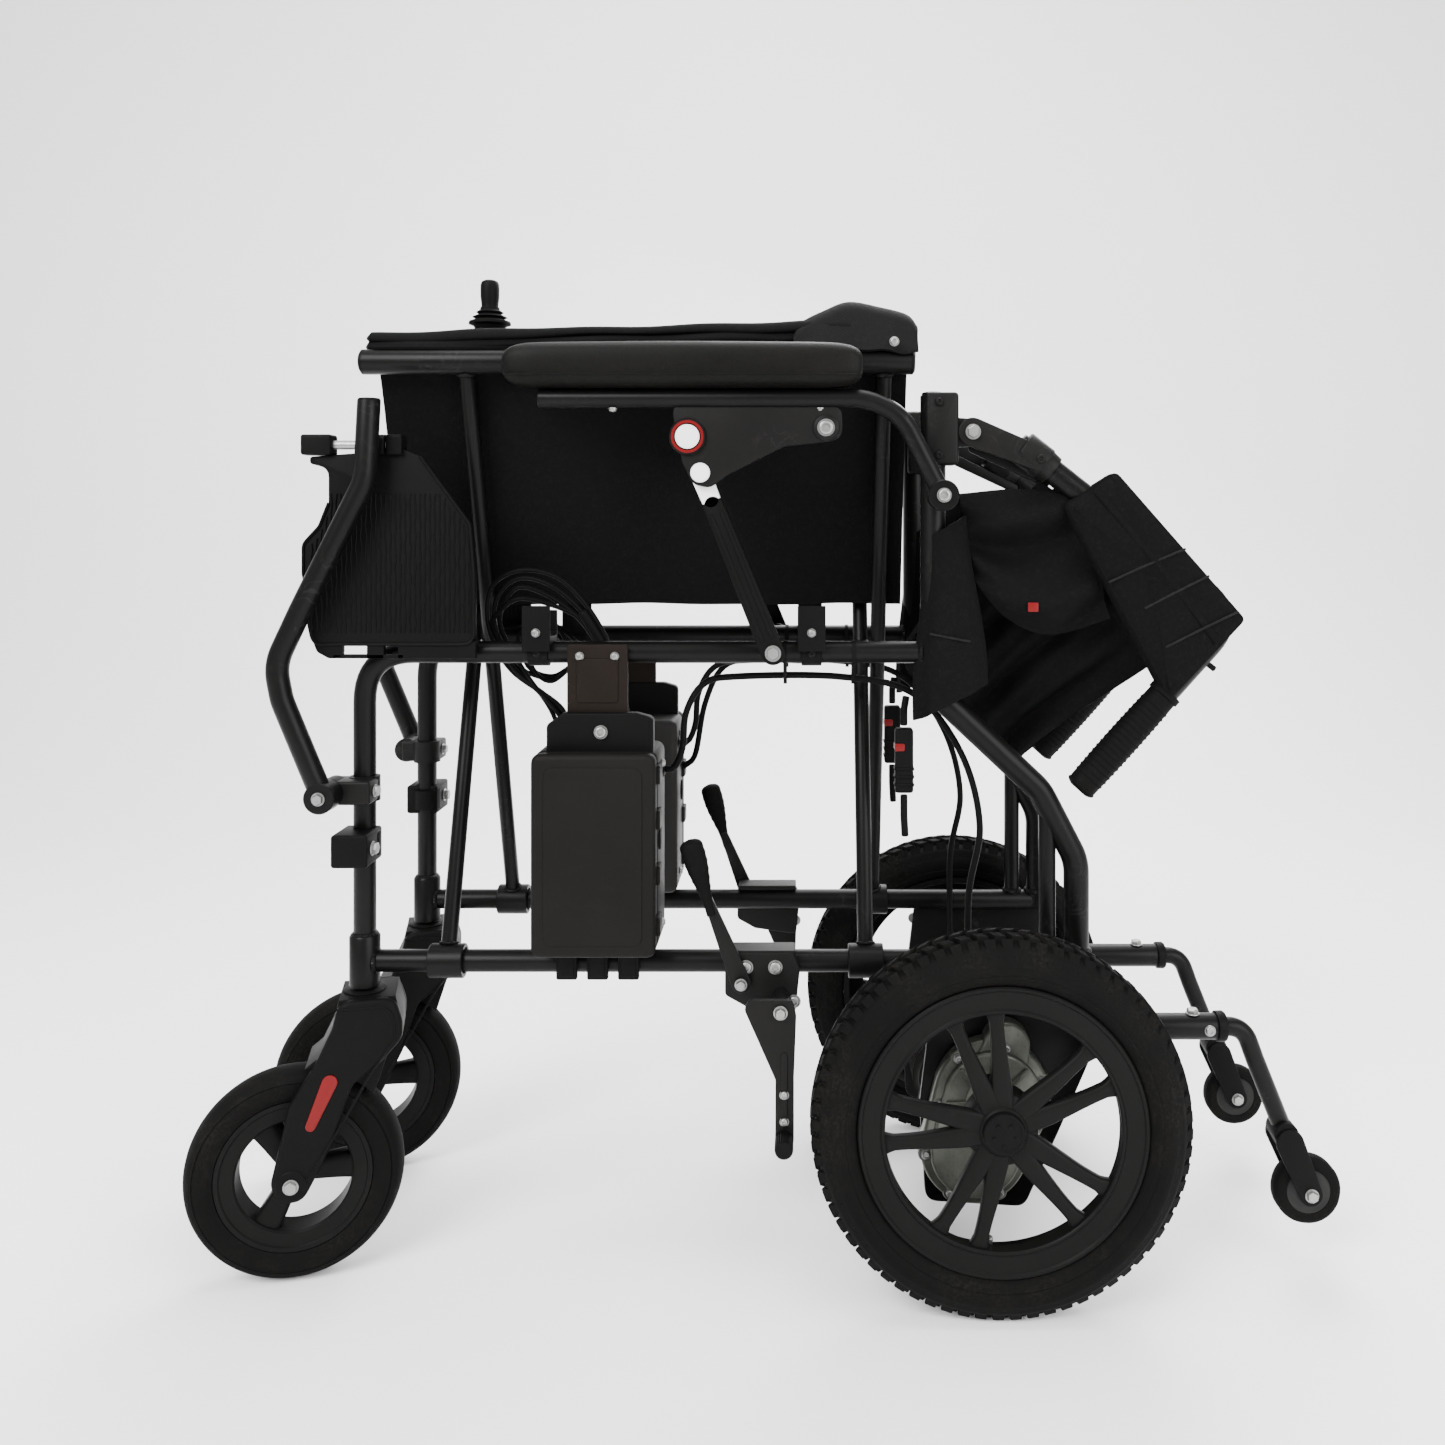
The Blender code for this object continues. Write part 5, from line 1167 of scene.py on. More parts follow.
    def build(self) -> None:
        """Makes both halves with their folds, straps and rivets."""
        halves = pair("seat_cloth", self.half(), CLOTH, "seat_half", ["seat_panel"])
        for folds in pair("seat_cloth_folds", self.rolls(), CLOTH, "brace"):
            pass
        for strap in pair("seat_strap", self.strap(), WEBBING, "brace"):
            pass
        rivet = bolt((0.4588, SIZES.half + 0.0158, 0.7985), (0, 1, 0), 0.0036, 0.0012, True)
        pair("strap_rivet", rivet, ZINC, "brace")


@dataclass(frozen=True)
class BackUpholstery:
    """The back's cloth: folded over the canes, hanging between them, and bunched round the back tubes."""

    dip: float = math.radians(38.5)
    start: float = 0.060
    end: float = 0.250
    turn: float = math.radians(67.5)
    block: tuple[tuple[float, float], ...] = ((0.650, 0.6880), (0.762, 0.5600), (0.695, 0.4890), (0.604, 0.6590))

    @property
    def along(self) -> Array:
        """The way that the folded cane points."""
        return np.array([math.cos(self.dip), 0, -math.sin(self.dip)])

    @property
    def under(self) -> Array:
        """Square to the cane, downwards."""
        return np.array([-math.sin(self.dip), 0, -math.cos(self.dip)])

    @property
    def foot(self) -> Array:
        """Where the cane's line passes its hinge."""
        hinge = SideFrame().hinge
        return np.array([hinge[0], SIZES.half, hinge[1]]) - self.under * 0.018

    def folded_block(self) -> Shape:
        """The padded upper part, folded over the cane: a crowned slab of four corners.

        It is a stack of rings round its outline. Towards each face a ring shrinks by a quarter circle,
        and a wavy term moves the layers' edges so that they don't line up.
        """
        outline = bent(self.block, 0.006, 6, closed=True)
        outline = np.vstack([outline, outline[:1]])
        travelled = np.append(0, np.cumsum(np.linalg.norm(np.diff(outline, axis=0), axis=1)))
        even = np.linspace(0, travelled[-1], 160, endpoint=False)
        outline = np.stack([np.interp(even, travelled, outline[:, i]) for i in range(2)], axis=1)
        faces = np.linspace(-1, 1, 29)
        half = 0.0135
        inset = 0.010 * (1 - np.sqrt(np.clip(1 - np.abs(faces) ** 5, 0, 1))) + 0.0012 * (1 + np.cos(faces * 9 * math.pi))
        rings = inset_outline(outline, inset)
        place_out = SIZES.half + 0.0035 + faces * half
        rings = np.concatenate([rings[..., :1], np.broadcast_to(place_out[:, None, None], rings.shape[:2] + (1,)),
                                rings[..., 1:]], axis=-1)
        middle = np.array([np.mean([c[0] for c in self.block]), 0, np.mean([c[1] for c in self.block])])
        skin = []
        for share in np.linspace(0.88, 0.06, 12):
            cap = rings[-1] * (1, 0, 1) * share + middle * (1 - share)
            bulge = 0.0022 * math.sin(math.pi * (1 - share) / 2)
            skin.append(cap + np.array([0, place_out[-1] + bulge, 0]))
        inner = [row * (1, -1, 1) + np.array([0, 2 * (SIZES.half + 0.0035), 0]) for row in skin]
        return lofted(np.concatenate([np.array(inner[::-1]), rings, np.array(skin)]))

    def seams(self, hem: bool = False) -> Shape:
        """Three seam tapes across the folded block, or the long hem that crosses them."""
        a, b, c, d = (np.array(p) for p in self.block)
        tapes: list[Shape] = []
        marks = (((0.40, 0.97), (0.52, 0.01), 0.0011), ((0.60, 0.76), (0.70, 0.01), 0.0011),
                 ((0.80, 0.78), (0.93, 0.03), 0.0011), ((0.02, 0.46), (0.97, 0.34), 0.0030))
        for first, last, width in marks[:3] if not hem else marks[3:]:
            ends = [a + (b - a) * u + (d - a) * v + (c - b - d + a) * u * v for u, v in (first, last)]
            line = np.linspace(ends[0], ends[1], 30)
            swell = np.sin(np.linspace(0, math.pi, 30))
            line = line + np.outer(0.0018 * swell, (0.7, 0.7))
            out = SIZES.half + 0.0035 + 0.0135 + 0.0012 + 0.0010 * swell
            path = np.stack([line[:, 0], out, line[:, 1]], axis=1)
            tapes.append(swept(path, circle(1.0, 12) * (width, 0.0005), (0, 1, 0)))
        return joined(tapes)

    def hanging(self) -> Shape:
        """Half of the lower back, which hangs in gathers from its cane towards the middle.

        Down the cloth it falls along its dip; along the cane its place is drawn together towards the
        free edge. The gathers are sines along the cane, whose depth grows from the cane down.
        """
        u = np.linspace(0, 1, 110)[:, None]
        v = np.linspace(0, 1, 60)[None, :]
        depth = 0.2195
        inward = np.array([0, -1, 0])
        run = inward * math.cos(self.turn) + self.under * math.sin(self.turn)
        rise = inward * math.sin(self.turn) - self.under * math.cos(self.turn)
        gather = 1 - 0.22 * ease(v)
        t = (self.start + 0.012) + (self.end - self.start) * (u * gather + 0.05 * v)
        wave = (0.0052 * np.sin(TURN * 3.6 * u + 1.3 * v) + 0.0026 * np.sin(TURN * 7.3 * u + 1.1 - 2.2 * v))
        wave = wave * ease(v * 1.6) + 0.004 * np.sin(math.pi * v) * np.sin(TURN * 0.8 * u + 0.5)
        reach = 0.013 + depth * v + 0 * u
        points = (self.foot + t[..., None] * self.along + reach[..., None] * run + wave[..., None] * rise)
        return sheet(points, 0.0022)

    def drape(self) -> Shape:
        """Loose folds that swing from the back tube's top to the folded block, under the hinge.

        Between two drawn edges the cloth's height sags as a half sine, and it bellies outwards in
        three folds whose depth is a sine down the cloth.
        """
        u = np.linspace(0, 1, 90)[:, None]
        v = np.linspace(0, 1, 80)[None, :]
        top = curve_through([(0.516, 0, 0.668), (0.560, 0, 0.678), (0.605, 0, 0.675), (0.622, 0, 0.664)], 90)
        low = curve_through([(0.530, 0, 0.592), (0.560, 0, 0.560), (0.600, 0, 0.545), (0.648, 0, 0.560)], 90)
        edge_top, edge_low = top[:, None, :], low[:, None, :]
        middle = edge_top * (1 - v[..., None]) + edge_low * v[..., None]
        sag = 0.006 * np.sin(math.pi * u) * (1 - v)
        folds = 0.0105 * np.sin(math.pi * (v * 3.4 - 0.3) + 1.5 * u) * np.sin(math.pi * np.clip(u * 1.02, 0, 1)) ** 0.6
        folds = folds + 0.0030 * np.sin(math.pi * (6.3 * v + 2.1 * u))
        out = SIZES.half - 0.004 + folds
        points = np.stack([middle[..., 0], out + 0 * middle[..., 0], middle[..., 2] - sag], axis=-1)
        return sheet(points, 0.0022)

    def flap(self) -> Shape:
        """The lower corner of the back cloth, wrapped round its tube and hanging below the drape.

        Round the tube it runs on a long loop, left open behind. The loop widens down the tube, and its
        lower edge slants.
        """
        turn = np.linspace(math.radians(-168), math.radians(168), 90)[:, None]
        v = np.linspace(0, 1, 60)[None, :]
        top = 0.640 + 0.010 * np.cos(turn - math.radians(180))
        low = 0.488 + 0.016 * np.cos(turn - math.radians(180))
        height = top + (low - top) * v
        half_length = 0.0170 + 0.0140 * ease(v * 1.1) + 0.0012 * np.sin(7 * turn) * v
        half_width = 0.0128 + 0.0018 * v + 0.0016 * np.sin(5 * turn + 3 * v) * v
        middle = SIZES.length + 0.0110 + 0.004 * v
        station = middle - half_length * np.cos(turn)
        out = SIZES.half + 0.001 + half_width * np.sin(turn)
        return sheet(np.stack([station, out, height], axis=-1), 0.0022)

    def stripe(self) -> Shape:
        """The pale seam across the flap."""
        turn = np.linspace(math.radians(60), math.radians(128), 30)
        path = np.stack([SIZES.length + 0.0115 - 0.0312 * np.cos(turn), SIZES.half + 0.001 + 0.0162 * np.sin(turn),
                         0.5450 + 0.006 * np.cos(turn)], axis=1)
        return swept(path, circle(1.0, 10) * (0.0005, 0.0011), (0, 0, 1))

    def build(self) -> None:
        """Makes both halves of the back's cloth."""
        for half in pair("back_cloth", self.hanging(), CLOTH, "back_half", ["back_panel"]):
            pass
        for block in pair("back_cloth_folded", self.folded_block(), CLOTH, "back_half"):
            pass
        pair("back_seam_tape", self.seams(), THREAD, "back_half")
        pair("back_hem", self.seams(True), CLOTH, "back_half")
        for flap in pair("back_cloth_flap", self.flap(), CLOTH, "side", ["back_flap"]):
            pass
        for drape in pair("back_cloth_drape", self.drape(), CLOTH, "side"):
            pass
        pair("back_flap_tape", self.stripe(), THREAD, "side")
        tab = rounded_box((0.5745, SIZES.half + 0.0085, 0.5665), (0.5835, SIZES.half + 0.0095, 0.5745), 0.001, 0.0003)
        pair("cloth_tab", tab, RED_PLASTIC, "side")


@dataclass(frozen=True)
class BackCane:
    """The folding upper tube with its hinge lug, push handle and grip."""

    tube: float = 0.022
    start: float = 0.038
    length: float = 0.278
    handle: float = 0.203
    handle_turn: float = math.radians(93.5)
    grip: float = 0.115
    grip_diameter: float = 0.029

    def build(self) -> None:
        """Makes both canes."""
        cloth = BackUpholstery()
        foot, along = cloth.foot, cloth.along
        heading = cloth.dip + self.handle_turn
        way = np.array([math.cos(heading), 0, -math.sin(heading)])
        start, corner = foot + along * self.start, foot + along * self.length
        end = corner + way * self.handle
        path = bent([start, corner, end - way * 0.008], 0.032, 12)
        far = start + along * 0.022
        hinge = SideFrame().hinge
        lug = plate(link_outline(hinge, (far[0], far[2]), 0.0125, 0.0105), SIZES.half + 0.0080, SIZES.half + 0.0125)
        collar = turned([(0.0108, -0.014), (0.0146, -0.0135), (0.0152, -0.0125), (0.0152, 0.0105), (0.0140, 0.0120),
                         (0.0132, 0.0200), (0.0108, 0.0205)], start + along * 0.0175, along, 48)
        pair("cane_tube", tube(path, self.tube), PAINT, "back_post", ["back_cane"])
        pair("cane_lug", lug + collar, CAST_BLACK, "back_post")
        latch_low = start + along * 0.030
        latch = plate(link_outline((hinge[0] + 0.004, hinge[1] - 0.012), (latch_low[0] + 0.002, latch_low[2] - 0.014),
                                   0.0052, 0.0042), SIZES.half - 0.0125, SIZES.half - 0.0075)
        pair("cane_latch", latch, CAST_BLACK, "back_post")
        heads = [bolt((far[0], SIZES.half + 0.0125, far[2]), (0, 1, 0), 0.0040, 0.0028, True)]
        pair("cane_bolt", joined(heads), CAST_BLACK, "back_post")
        grip_start = end - way * self.grip
        radius, length = self.grip_diameter / 2, self.grip
        u = np.linspace(0, 1, 240)
        ribs = np.where((u > 0.12) & (u < 0.90), 0.0007 * np.maximum(0, np.sin(u * TURN * 22)), 0)
        swell = radius - 0.0018 + 0.0010 * np.sin(math.pi * u) + ribs
        flange = np.where(u < 0.05, radius - 0.0002 - 0 * u, swell)
        flange = np.where(u > 0.955, radius - 0.0008 - 0.006 * ((u - 0.955) / 0.045) ** 3, flange)
        profile = np.vstack([[(0.0112, 0)], np.stack([flange, u * length], axis=1), [(0.0005, length)]])
        pair("grip_sleeve", turned(profile, grip_start, way, 48), GRIP, "back_post", ["push_grip"])
        spur = rod(corner + way * 0.047 + cloth.along * 0.010, corner + way * 0.047 + cloth.along * 0.0185, 0.005)
        pair("cane_stud", spur, BLACK_PLASTIC, "back_post")


# --- arms ---


@dataclass(frozen=True)
class Arm:
    """A flip-back arm: bent tube, plate with its release button, locking strut and pad."""

    tube: float = 0.016
    pad_front: float = 0.1305
    pad_back: float = 0.430
    pad_bottom: float = 0.7555
    pad_top: float = 0.7947
    pad_width: float = 0.044
    front: float = 0.1557
    button: tuple[float, float] = (0.284, 0.715)
    strut_top: tuple[float, float] = (0.2946, 0.683)
    strut_foot: tuple[float, float] = (0.3553, 0.533)
    rear_bolt: tuple[float, float] = (0.3998, 0.7226)

    @property
    def height(self) -> float:
        """Middle of the arm's tube, right under the pad."""
        return self.pad_bottom - 0.0003 - self.tube / 2

    def frame(self) -> Shape:
        """The bent tube with the eye that it flips back on."""
        y, end = SIZES.outrigger, SIZES.length
        pivot = SideFrame().arm_pivot
        path = [(self.front + 0.003, y, self.height), (end - 0.060, y, self.height), (end - 0.030, y, 0.7335),
                (pivot[0], y, pivot[1])]
        eye = turned([(0.0058, -0.009), (0.0122, -0.009), (0.0130, -0.0082), (0.0130, 0.0082), (0.0122, 0.009),
                      (0.0058, 0.009)], (pivot[0], y, pivot[1]), (0, 1, 0), 48, ring=True)
        return tube(bent(path, 0.05, 12), self.tube) + eye

    def bracket(self) -> Shape:
        """The flat plate under the tube, which narrows towards its release button."""
        x, z, y = SIZES.length, self.height - 0.004, SIZES.outrigger
        outline = [(x - 0.224, z), (x - 0.080, z - 0.002), (x - 0.080, z - 0.030), (x - 0.098, z - 0.033),
                   (x - 0.128, z - 0.036), (x - 0.150, z - 0.047), (x - 0.176, z - 0.060), (x - 0.191, z - 0.071),
                   (x - 0.205, z - 0.068), (x - 0.214, z - 0.050)]
        body = plate(bent(outline, 0.010, 6, closed=True), y - 0.003, y + 0.003, 0.0012)
        boss = turned([(0.0111, -0.006), (0.0148, -0.006), (0.0155, -0.005), (0.0155, 0.005), (0.0148, 0.006),
                       (0.0111, 0.006)], (self.button[0], y, self.button[1]), (0, 1, 0), 56, ring=True)
        back = rod((self.button[0], y - 0.008, self.button[1]), (self.button[0], y - 0.0045, self.button[1]), 0.026)
        knob = turned([(0.0005, 0.0055), (0.0085, 0.0055), (0.0105, 0.0045), (0.0110, 0.002), (0.0105, 0.0)],
                      (self.rear_bolt[0], y, self.rear_bolt[1]), (0, 1, 0), 40)
        return joined([body, boss, back, knob])

    def pad(self) -> Shape:
        """The moulded pad: rounded ends, a crown along its top and a flat underside.

        Along the pad the width shrinks at both ends as a superellipse of power 4. Across it the section
        is a superellipse of power 3.2, flattened below its middle.
        """
        length = self.pad_back - self.pad_front
        u = np.concatenate([0.5 - 0.5 * np.cos(np.linspace(0, math.pi, 120))])
        station = self.pad_front + length * u
        far = np.abs(2 * u - 1) ** (14.0)
        side = np.clip(1 - far, 0.0, 1) ** 0.5
        angle = TURN * (np.arange(72) + 0.5) / 72
        c, s = np.cos(angle), np.sin(angle)
        power = 2 / 3.4
        width = np.sign(c) * np.abs(c) ** power * self.pad_width / 2
        rise = np.sign(s) * np.abs(s) ** (2 / 3.0)
        middle = (self.pad_top + self.pad_bottom) / 2
        half = (self.pad_top - self.pad_bottom) / 2
        crown = 1 - 0.05 * (1 - np.cos(np.pi * (2 * u - 1))) / 2
        across = SIZES.outrigger + np.outer(0.55 + 0.45 * side, width) * np.where(side > 0.02, 1, 0.9)[:, None]
        top = middle + half * rise[None, :] * np.where(rise > 0, 1, 1)[None, :] * (0.35 + 0.65 * side)[:, None]
        top = np.where(rise[None, :] > 0, middle + (top - middle) * crown[:, None], top)
        rings = np.stack([np.broadcast_to(station[:, None], across.shape), across, top], axis=-1)
        return lofted(rings)

    def pad_seam(self) -> Shape:
        """The parting line round the pad, a thin bead below its middle."""
        y, half = SIZES.outrigger, self.pad_width / 2 - 0.0008
        low = self.pad_bottom + 0.010
        outline = bent([(self.pad_front + 0.0016, y - half), (self.pad_back - 0.0016, y - half),
                        (self.pad_back - 0.0016, y + half), (self.pad_front + 0.0016, y + half)], 0.012, 10, closed=True)
        path = np.stack([outline[:, 0], outline[:, 1], np.full(len(outline), low)], axis=1)
        ring = circle(0.0007, 8)
        ahead = np.roll(path, -1, axis=0) - np.roll(path, 1, axis=0)
        side = np.cross(ahead, (0, 0, 1))
        side /= np.linalg.norm(side, axis=1)[:, None]
        rings = path[:, None] + side[:, None] * ring[None, :, :1] + np.array([0, 0, 1]) * ring[None, :, 1:]
        return lofted(rings, closed=True)

    def strut(self) -> tuple[Shape, Shape, Shape]:
        """The locking strut's white link and grooved black bar, and the frame's pin that its foot locks on."""
        inner, outer = SIZES.outrigger - 0.0115, SIZES.outrigger - 0.0035
        top, foot = np.array(self.strut_top), np.array(self.strut_foot)
        way = (foot - top) / np.linalg.norm(foot - top)
        link = plate(link_outline(top, top + way * 0.022, 0.0088, 0.0080), inner, outer, 0.0015)
        bar = plate(link_outline(top + way * 0.027, foot, 0.0085, 0.0100), inner, outer, 0.0012)
        side = np.array([way[1], -way[0]])
        ridges = []
        for shift in (-0.0045, 0.0045):
            a, b = top + way * 0.036 + side * shift, foot - way * 0.014 + side * shift
            ridges.append(plate(link_outline(a, b, 0.0016, 0.0018), outer - 0.001, outer + 0.0009, 0.0006))
        pin = rod((foot[0], SIZES.half + 0.0115, foot[1]), (foot[0], inner - 0.0003, foot[1]), 0.016)
        return link, joined([bar] + ridges), pin

    def build(self) -> None:
        """Makes both arms."""
        y = SIZES.outrigger
        pair("arm_tube", self.frame(), PAINT, "arm", ["arm_frame"])
        pair("arm_bracket", self.bracket(), CAST_BLACK, "arm")
        for pad in pair("arm_cushion", self.pad(), PAD_SKIN, "arm", ["arm_pad"]):
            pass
        pair("arm_cushion_seam", self.pad_seam(), PAD_SKIN, "arm")
        link, bar, pin = self.strut()
        pair("strut_pin", pin, BLACK_PLASTIC, "side")
        pair("strut_link", link, WHITE_PLASTIC, "arm")
        pair("strut_bar", bar, BLACK_PLASTIC, "arm", ["arm_strut"])
        bx, bz = self.button
        disc = turned([(0.0005, 0.0062), (0.0102, 0.0062), (0.0102, 0.0072), (0.0092, 0.0083), (0.0075, 0.0086),
                       (0.0070, 0.0082), (0.0005, 0.0083)], (bx, y, bz), (0, 1, 0), 56)
        pair("release_button", disc, WHITE_PLASTIC, "arm_release", ["arm_button"])
        ring = turned([(0.0112, 0.0058), (0.0138, 0.0058), (0.0136, 0.0068), (0.0114, 0.0068)],
                      (bx, y, bz), (0, 1, 0), 56, ring=True)
        pair("button_ring", ring, RED_PLASTIC, "arm")
        sx, sz = self.strut_top
        caps = turned([(0.0005, 0.0), (0.0080, 0.0), (0.0082, 0.0012), (0.0070, 0.0024), (0.0005, 0.0028)],
                      (sx, y + 0.0030, sz + 0.002), (0, 1, 0), 40)
        pair("bolt_caps", caps, WHITE_PLASTIC, "arm")
        rx, rz = self.rear_bolt
        fx, fz = self.strut_foot
        heads = [bolt((rx, y + 0.0052, rz), (0, 1, 0), 0.0062, 0.0030, True),
                 bolt((fx, y - 0.0035, fz), (0, 1, 0), 0.0058, 0.0032),
                 bolt((0.221, y, self.height - 0.0078), (0, 0, -1), 0.0034, 0.0022, True),
                 bolt((0.395, y, self.height - 0.0078), (0, 0, -1), 0.0034, 0.0022, True)]
        pair("arm_bolts", joined(heads), ZINC, "arm")


# --- legrests ---


@dataclass(frozen=True)
class Legrest:
    """The swing-away hanger and its ribbed footplate."""

    tube: float = 0.019
    route: tuple[tuple[float, float], ...] = ((-0.0565, 0.4941), (-0.0623, 0.5240), (-0.0411, 0.5694),
                                              (0.0130, 0.6785), (0.0165, 0.7461))
    plate_out: float = 0.110
    hinge_height: float = 0.7096
    knuckle: float = 0.018

    def hanger(self) -> Shape:
        """The bent tube, from its eye to the knuckle that holds the footplate's pin."""
        y = SIZES.outrigger
        pivot = SideFrame().legrest_pivot
        path = bent([(x, y, z) for x, z in (pivot, *self.route)], 0.05, 12)
        eye = turned([(0.0056, -0.0115), (0.0122, -0.0115), (0.0130, -0.0105), (0.0130, 0.0085), (0.0122, 0.0095),
                      (0.0056, 0.0095)], (pivot[0], y, pivot[1]), (0, 1, 0), 48, ring=True)
        return tube(path, self.tube) + eye

    def knuckles(self) -> Shape:
        """The hanger's own knuckle with its neck, and the tube's plug."""
        out, z = self.plate_out, self.hinge_height
        barrel = rod((0.0072, out, z), (0.0248, out, z), self.knuckle)
        neck = rounded_box((0.0085, out, z - 0.006), (0.0235, SIZES.outrigger, z + 0.006), 0.002, 0.002, Axis.Z)
        cap = turned([(0.0094, -0.003), (0.0094, 0.0), (0.0085, 0.0014), (0.0005, 0.0018)],
                     (self.route[-1][0], SIZES.outrigger, self.route[-1][1]), (0, 0, 1), 40)
        return joined([barrel, neck, cap])

    def footplate(self) -> Shape:
        """The plate with its two slots along the foot, its hinge blocks and its ribs."""
        out, z, half = self.plate_out, self.hinge_height, 0.0032
        top = z - self.knuckle / 2 - 0.001
        outline = [(0.040, z - 0.004), (0.055, top), (0.098, 0.642), (0.1014, 0.600), (0.1014, 0.5395),
                   (-0.0375, 0.5395), (-0.041, 0.556), (-0.042, 0.580), (-0.046, 0.600), (-0.046, 0.625),
                   (-0.032, 0.640), (-0.024, 0.660), (-0.024, top - 0.01), (-0.040, top - 0.006), (-0.040, top)]
        shapes = [plate(bent(outline, 0.010, 6, closed=True), out - half, out + half, 0.0012)]
        posts = [bent([(-0.0380, 0.5440), (-0.0340, 0.5330), (-0.024, 0.5275), (-0.012, 0.5275), (-0.012, 0.5440)], 0.006, 5),
                 np.array([(0.0087, 0.5275), (0.0232, 0.5275), (0.0232, 0.5420), (0.0087, 0.5420)]),
                 np.array([(0.0352, 0.5275), (0.1014, 0.5275), (0.1014, 0.5420), (0.0352, 0.5420)]),
                 np.array([(-0.020, 0.5275), (0.040, 0.5275), (0.040, 0.5308), (-0.020, 0.5308)])]
        shapes += [plate(post, out - half + 0.0002, out + half - 0.0002, 0.0006) for post in posts]
        for low, high in ((-0.046, -0.0200), (0.0262, 0.040)):
            shapes.append(rounded_box((low, out - 0.0088, z - 0.0088), (high, out + 0.0088, z + 0.0088), 0.003, 0.002, Axis.X))
        rim = bent([(p[0] * 0.985, p[1]) for p in outline[1:12]], 0.010, 6)
        lip = np.stack([rim[:, 0], np.full(len(rim), out + half), rim[:, 1]], axis=1)
        shapes.append(swept(lip, circle(0.0014, 10), (0, 1, 0)))
        edge = np.array(outline)
        for x in np.arange(-0.038, 0.098, 0.0042):
            crossing = []
            for a, b in zip(edge, np.roll(edge, -1, axis=0)):
                if (a[0] - x) * (b[0] - x) < 0:
                    crossing.append(a[1] + (b[1] - a[1]) * (x - a[0]) / (b[0] - a[0]))
            if len(crossing) < 2:
                continue
            first, second = sorted(crossing)[:2]
            low, high = first + 0.010, min(second - 0.008, 0.668)
            shapes.extend(self.rib(x, low, high, out + sign * half) for sign in (-1, 1))
        return joined(shapes)

    @staticmethod
    def rib(x: float, low: float, high: float, out: float) -> Shape:
        """One upright rib, which wanders sideways by a small sine."""
        z = np.linspace(low, high, 14)
        path = np.stack([x + 0.0006 * np.sin(z * 260 + x * 900), np.full(14, out), z], axis=1)
        return swept(path, circle(1.0, 6) * (0.0006, 0.0009), (0, 1, 0))

    def build(self) -> None:
        """Makes both legrests."""
        out, z = self.plate_out, self.hinge_height
        pair("hanger_tube", self.hanger(), PAINT, "legrest", ["legrest_hanger"])
        pair("hanger_knuckle", self.knuckles(), BLACK_PLASTIC, "legrest")
        pin = rod((-0.043, out, z), (0.037, out, z), 0.0078)
        pair("footplate_pin", pin, ZINC, "legrest")
        pair("foot_plate", self.footplate(), BLACK_PLASTIC, "foot", ["footplate"])


# --- wheels ---


def around(shape: Shape, count: int, centre: Point, start: float = 0.0) -> Shape:
    """Copies of a shape evenly round an axle along Y.

    Args:
        shape: the first one.
        count: how many.
        centre: a point on the axle.
        start: how far the first is turned.
    Returns:
        All of them.
    """
    angle = start + TURN * np.arange(count) / count
    c, s = np.cos(angle)[:, None], np.sin(angle)[:, None]
    away = shape.points - centre
    points = np.stack([away[:, 0] * c + away[:, 2] * s, away[:, 1] + 0 * c, away[:, 2] * c - away[:, 0] * s], axis=-1)
    shift = (np.arange(count) * len(shape.points))[:, None]
    quads = (shape.quads[None] + shift[..., None]).reshape(-1, 4)
    polygons = tuple(p + k for k in shift[:, 0] for p in shape.polygons)
    measure = None if shape.measure is None else np.tile(shape.measure, (count, 1))
    return Shape(points.reshape(-1, 3) + centre, quads, polygons, measure)


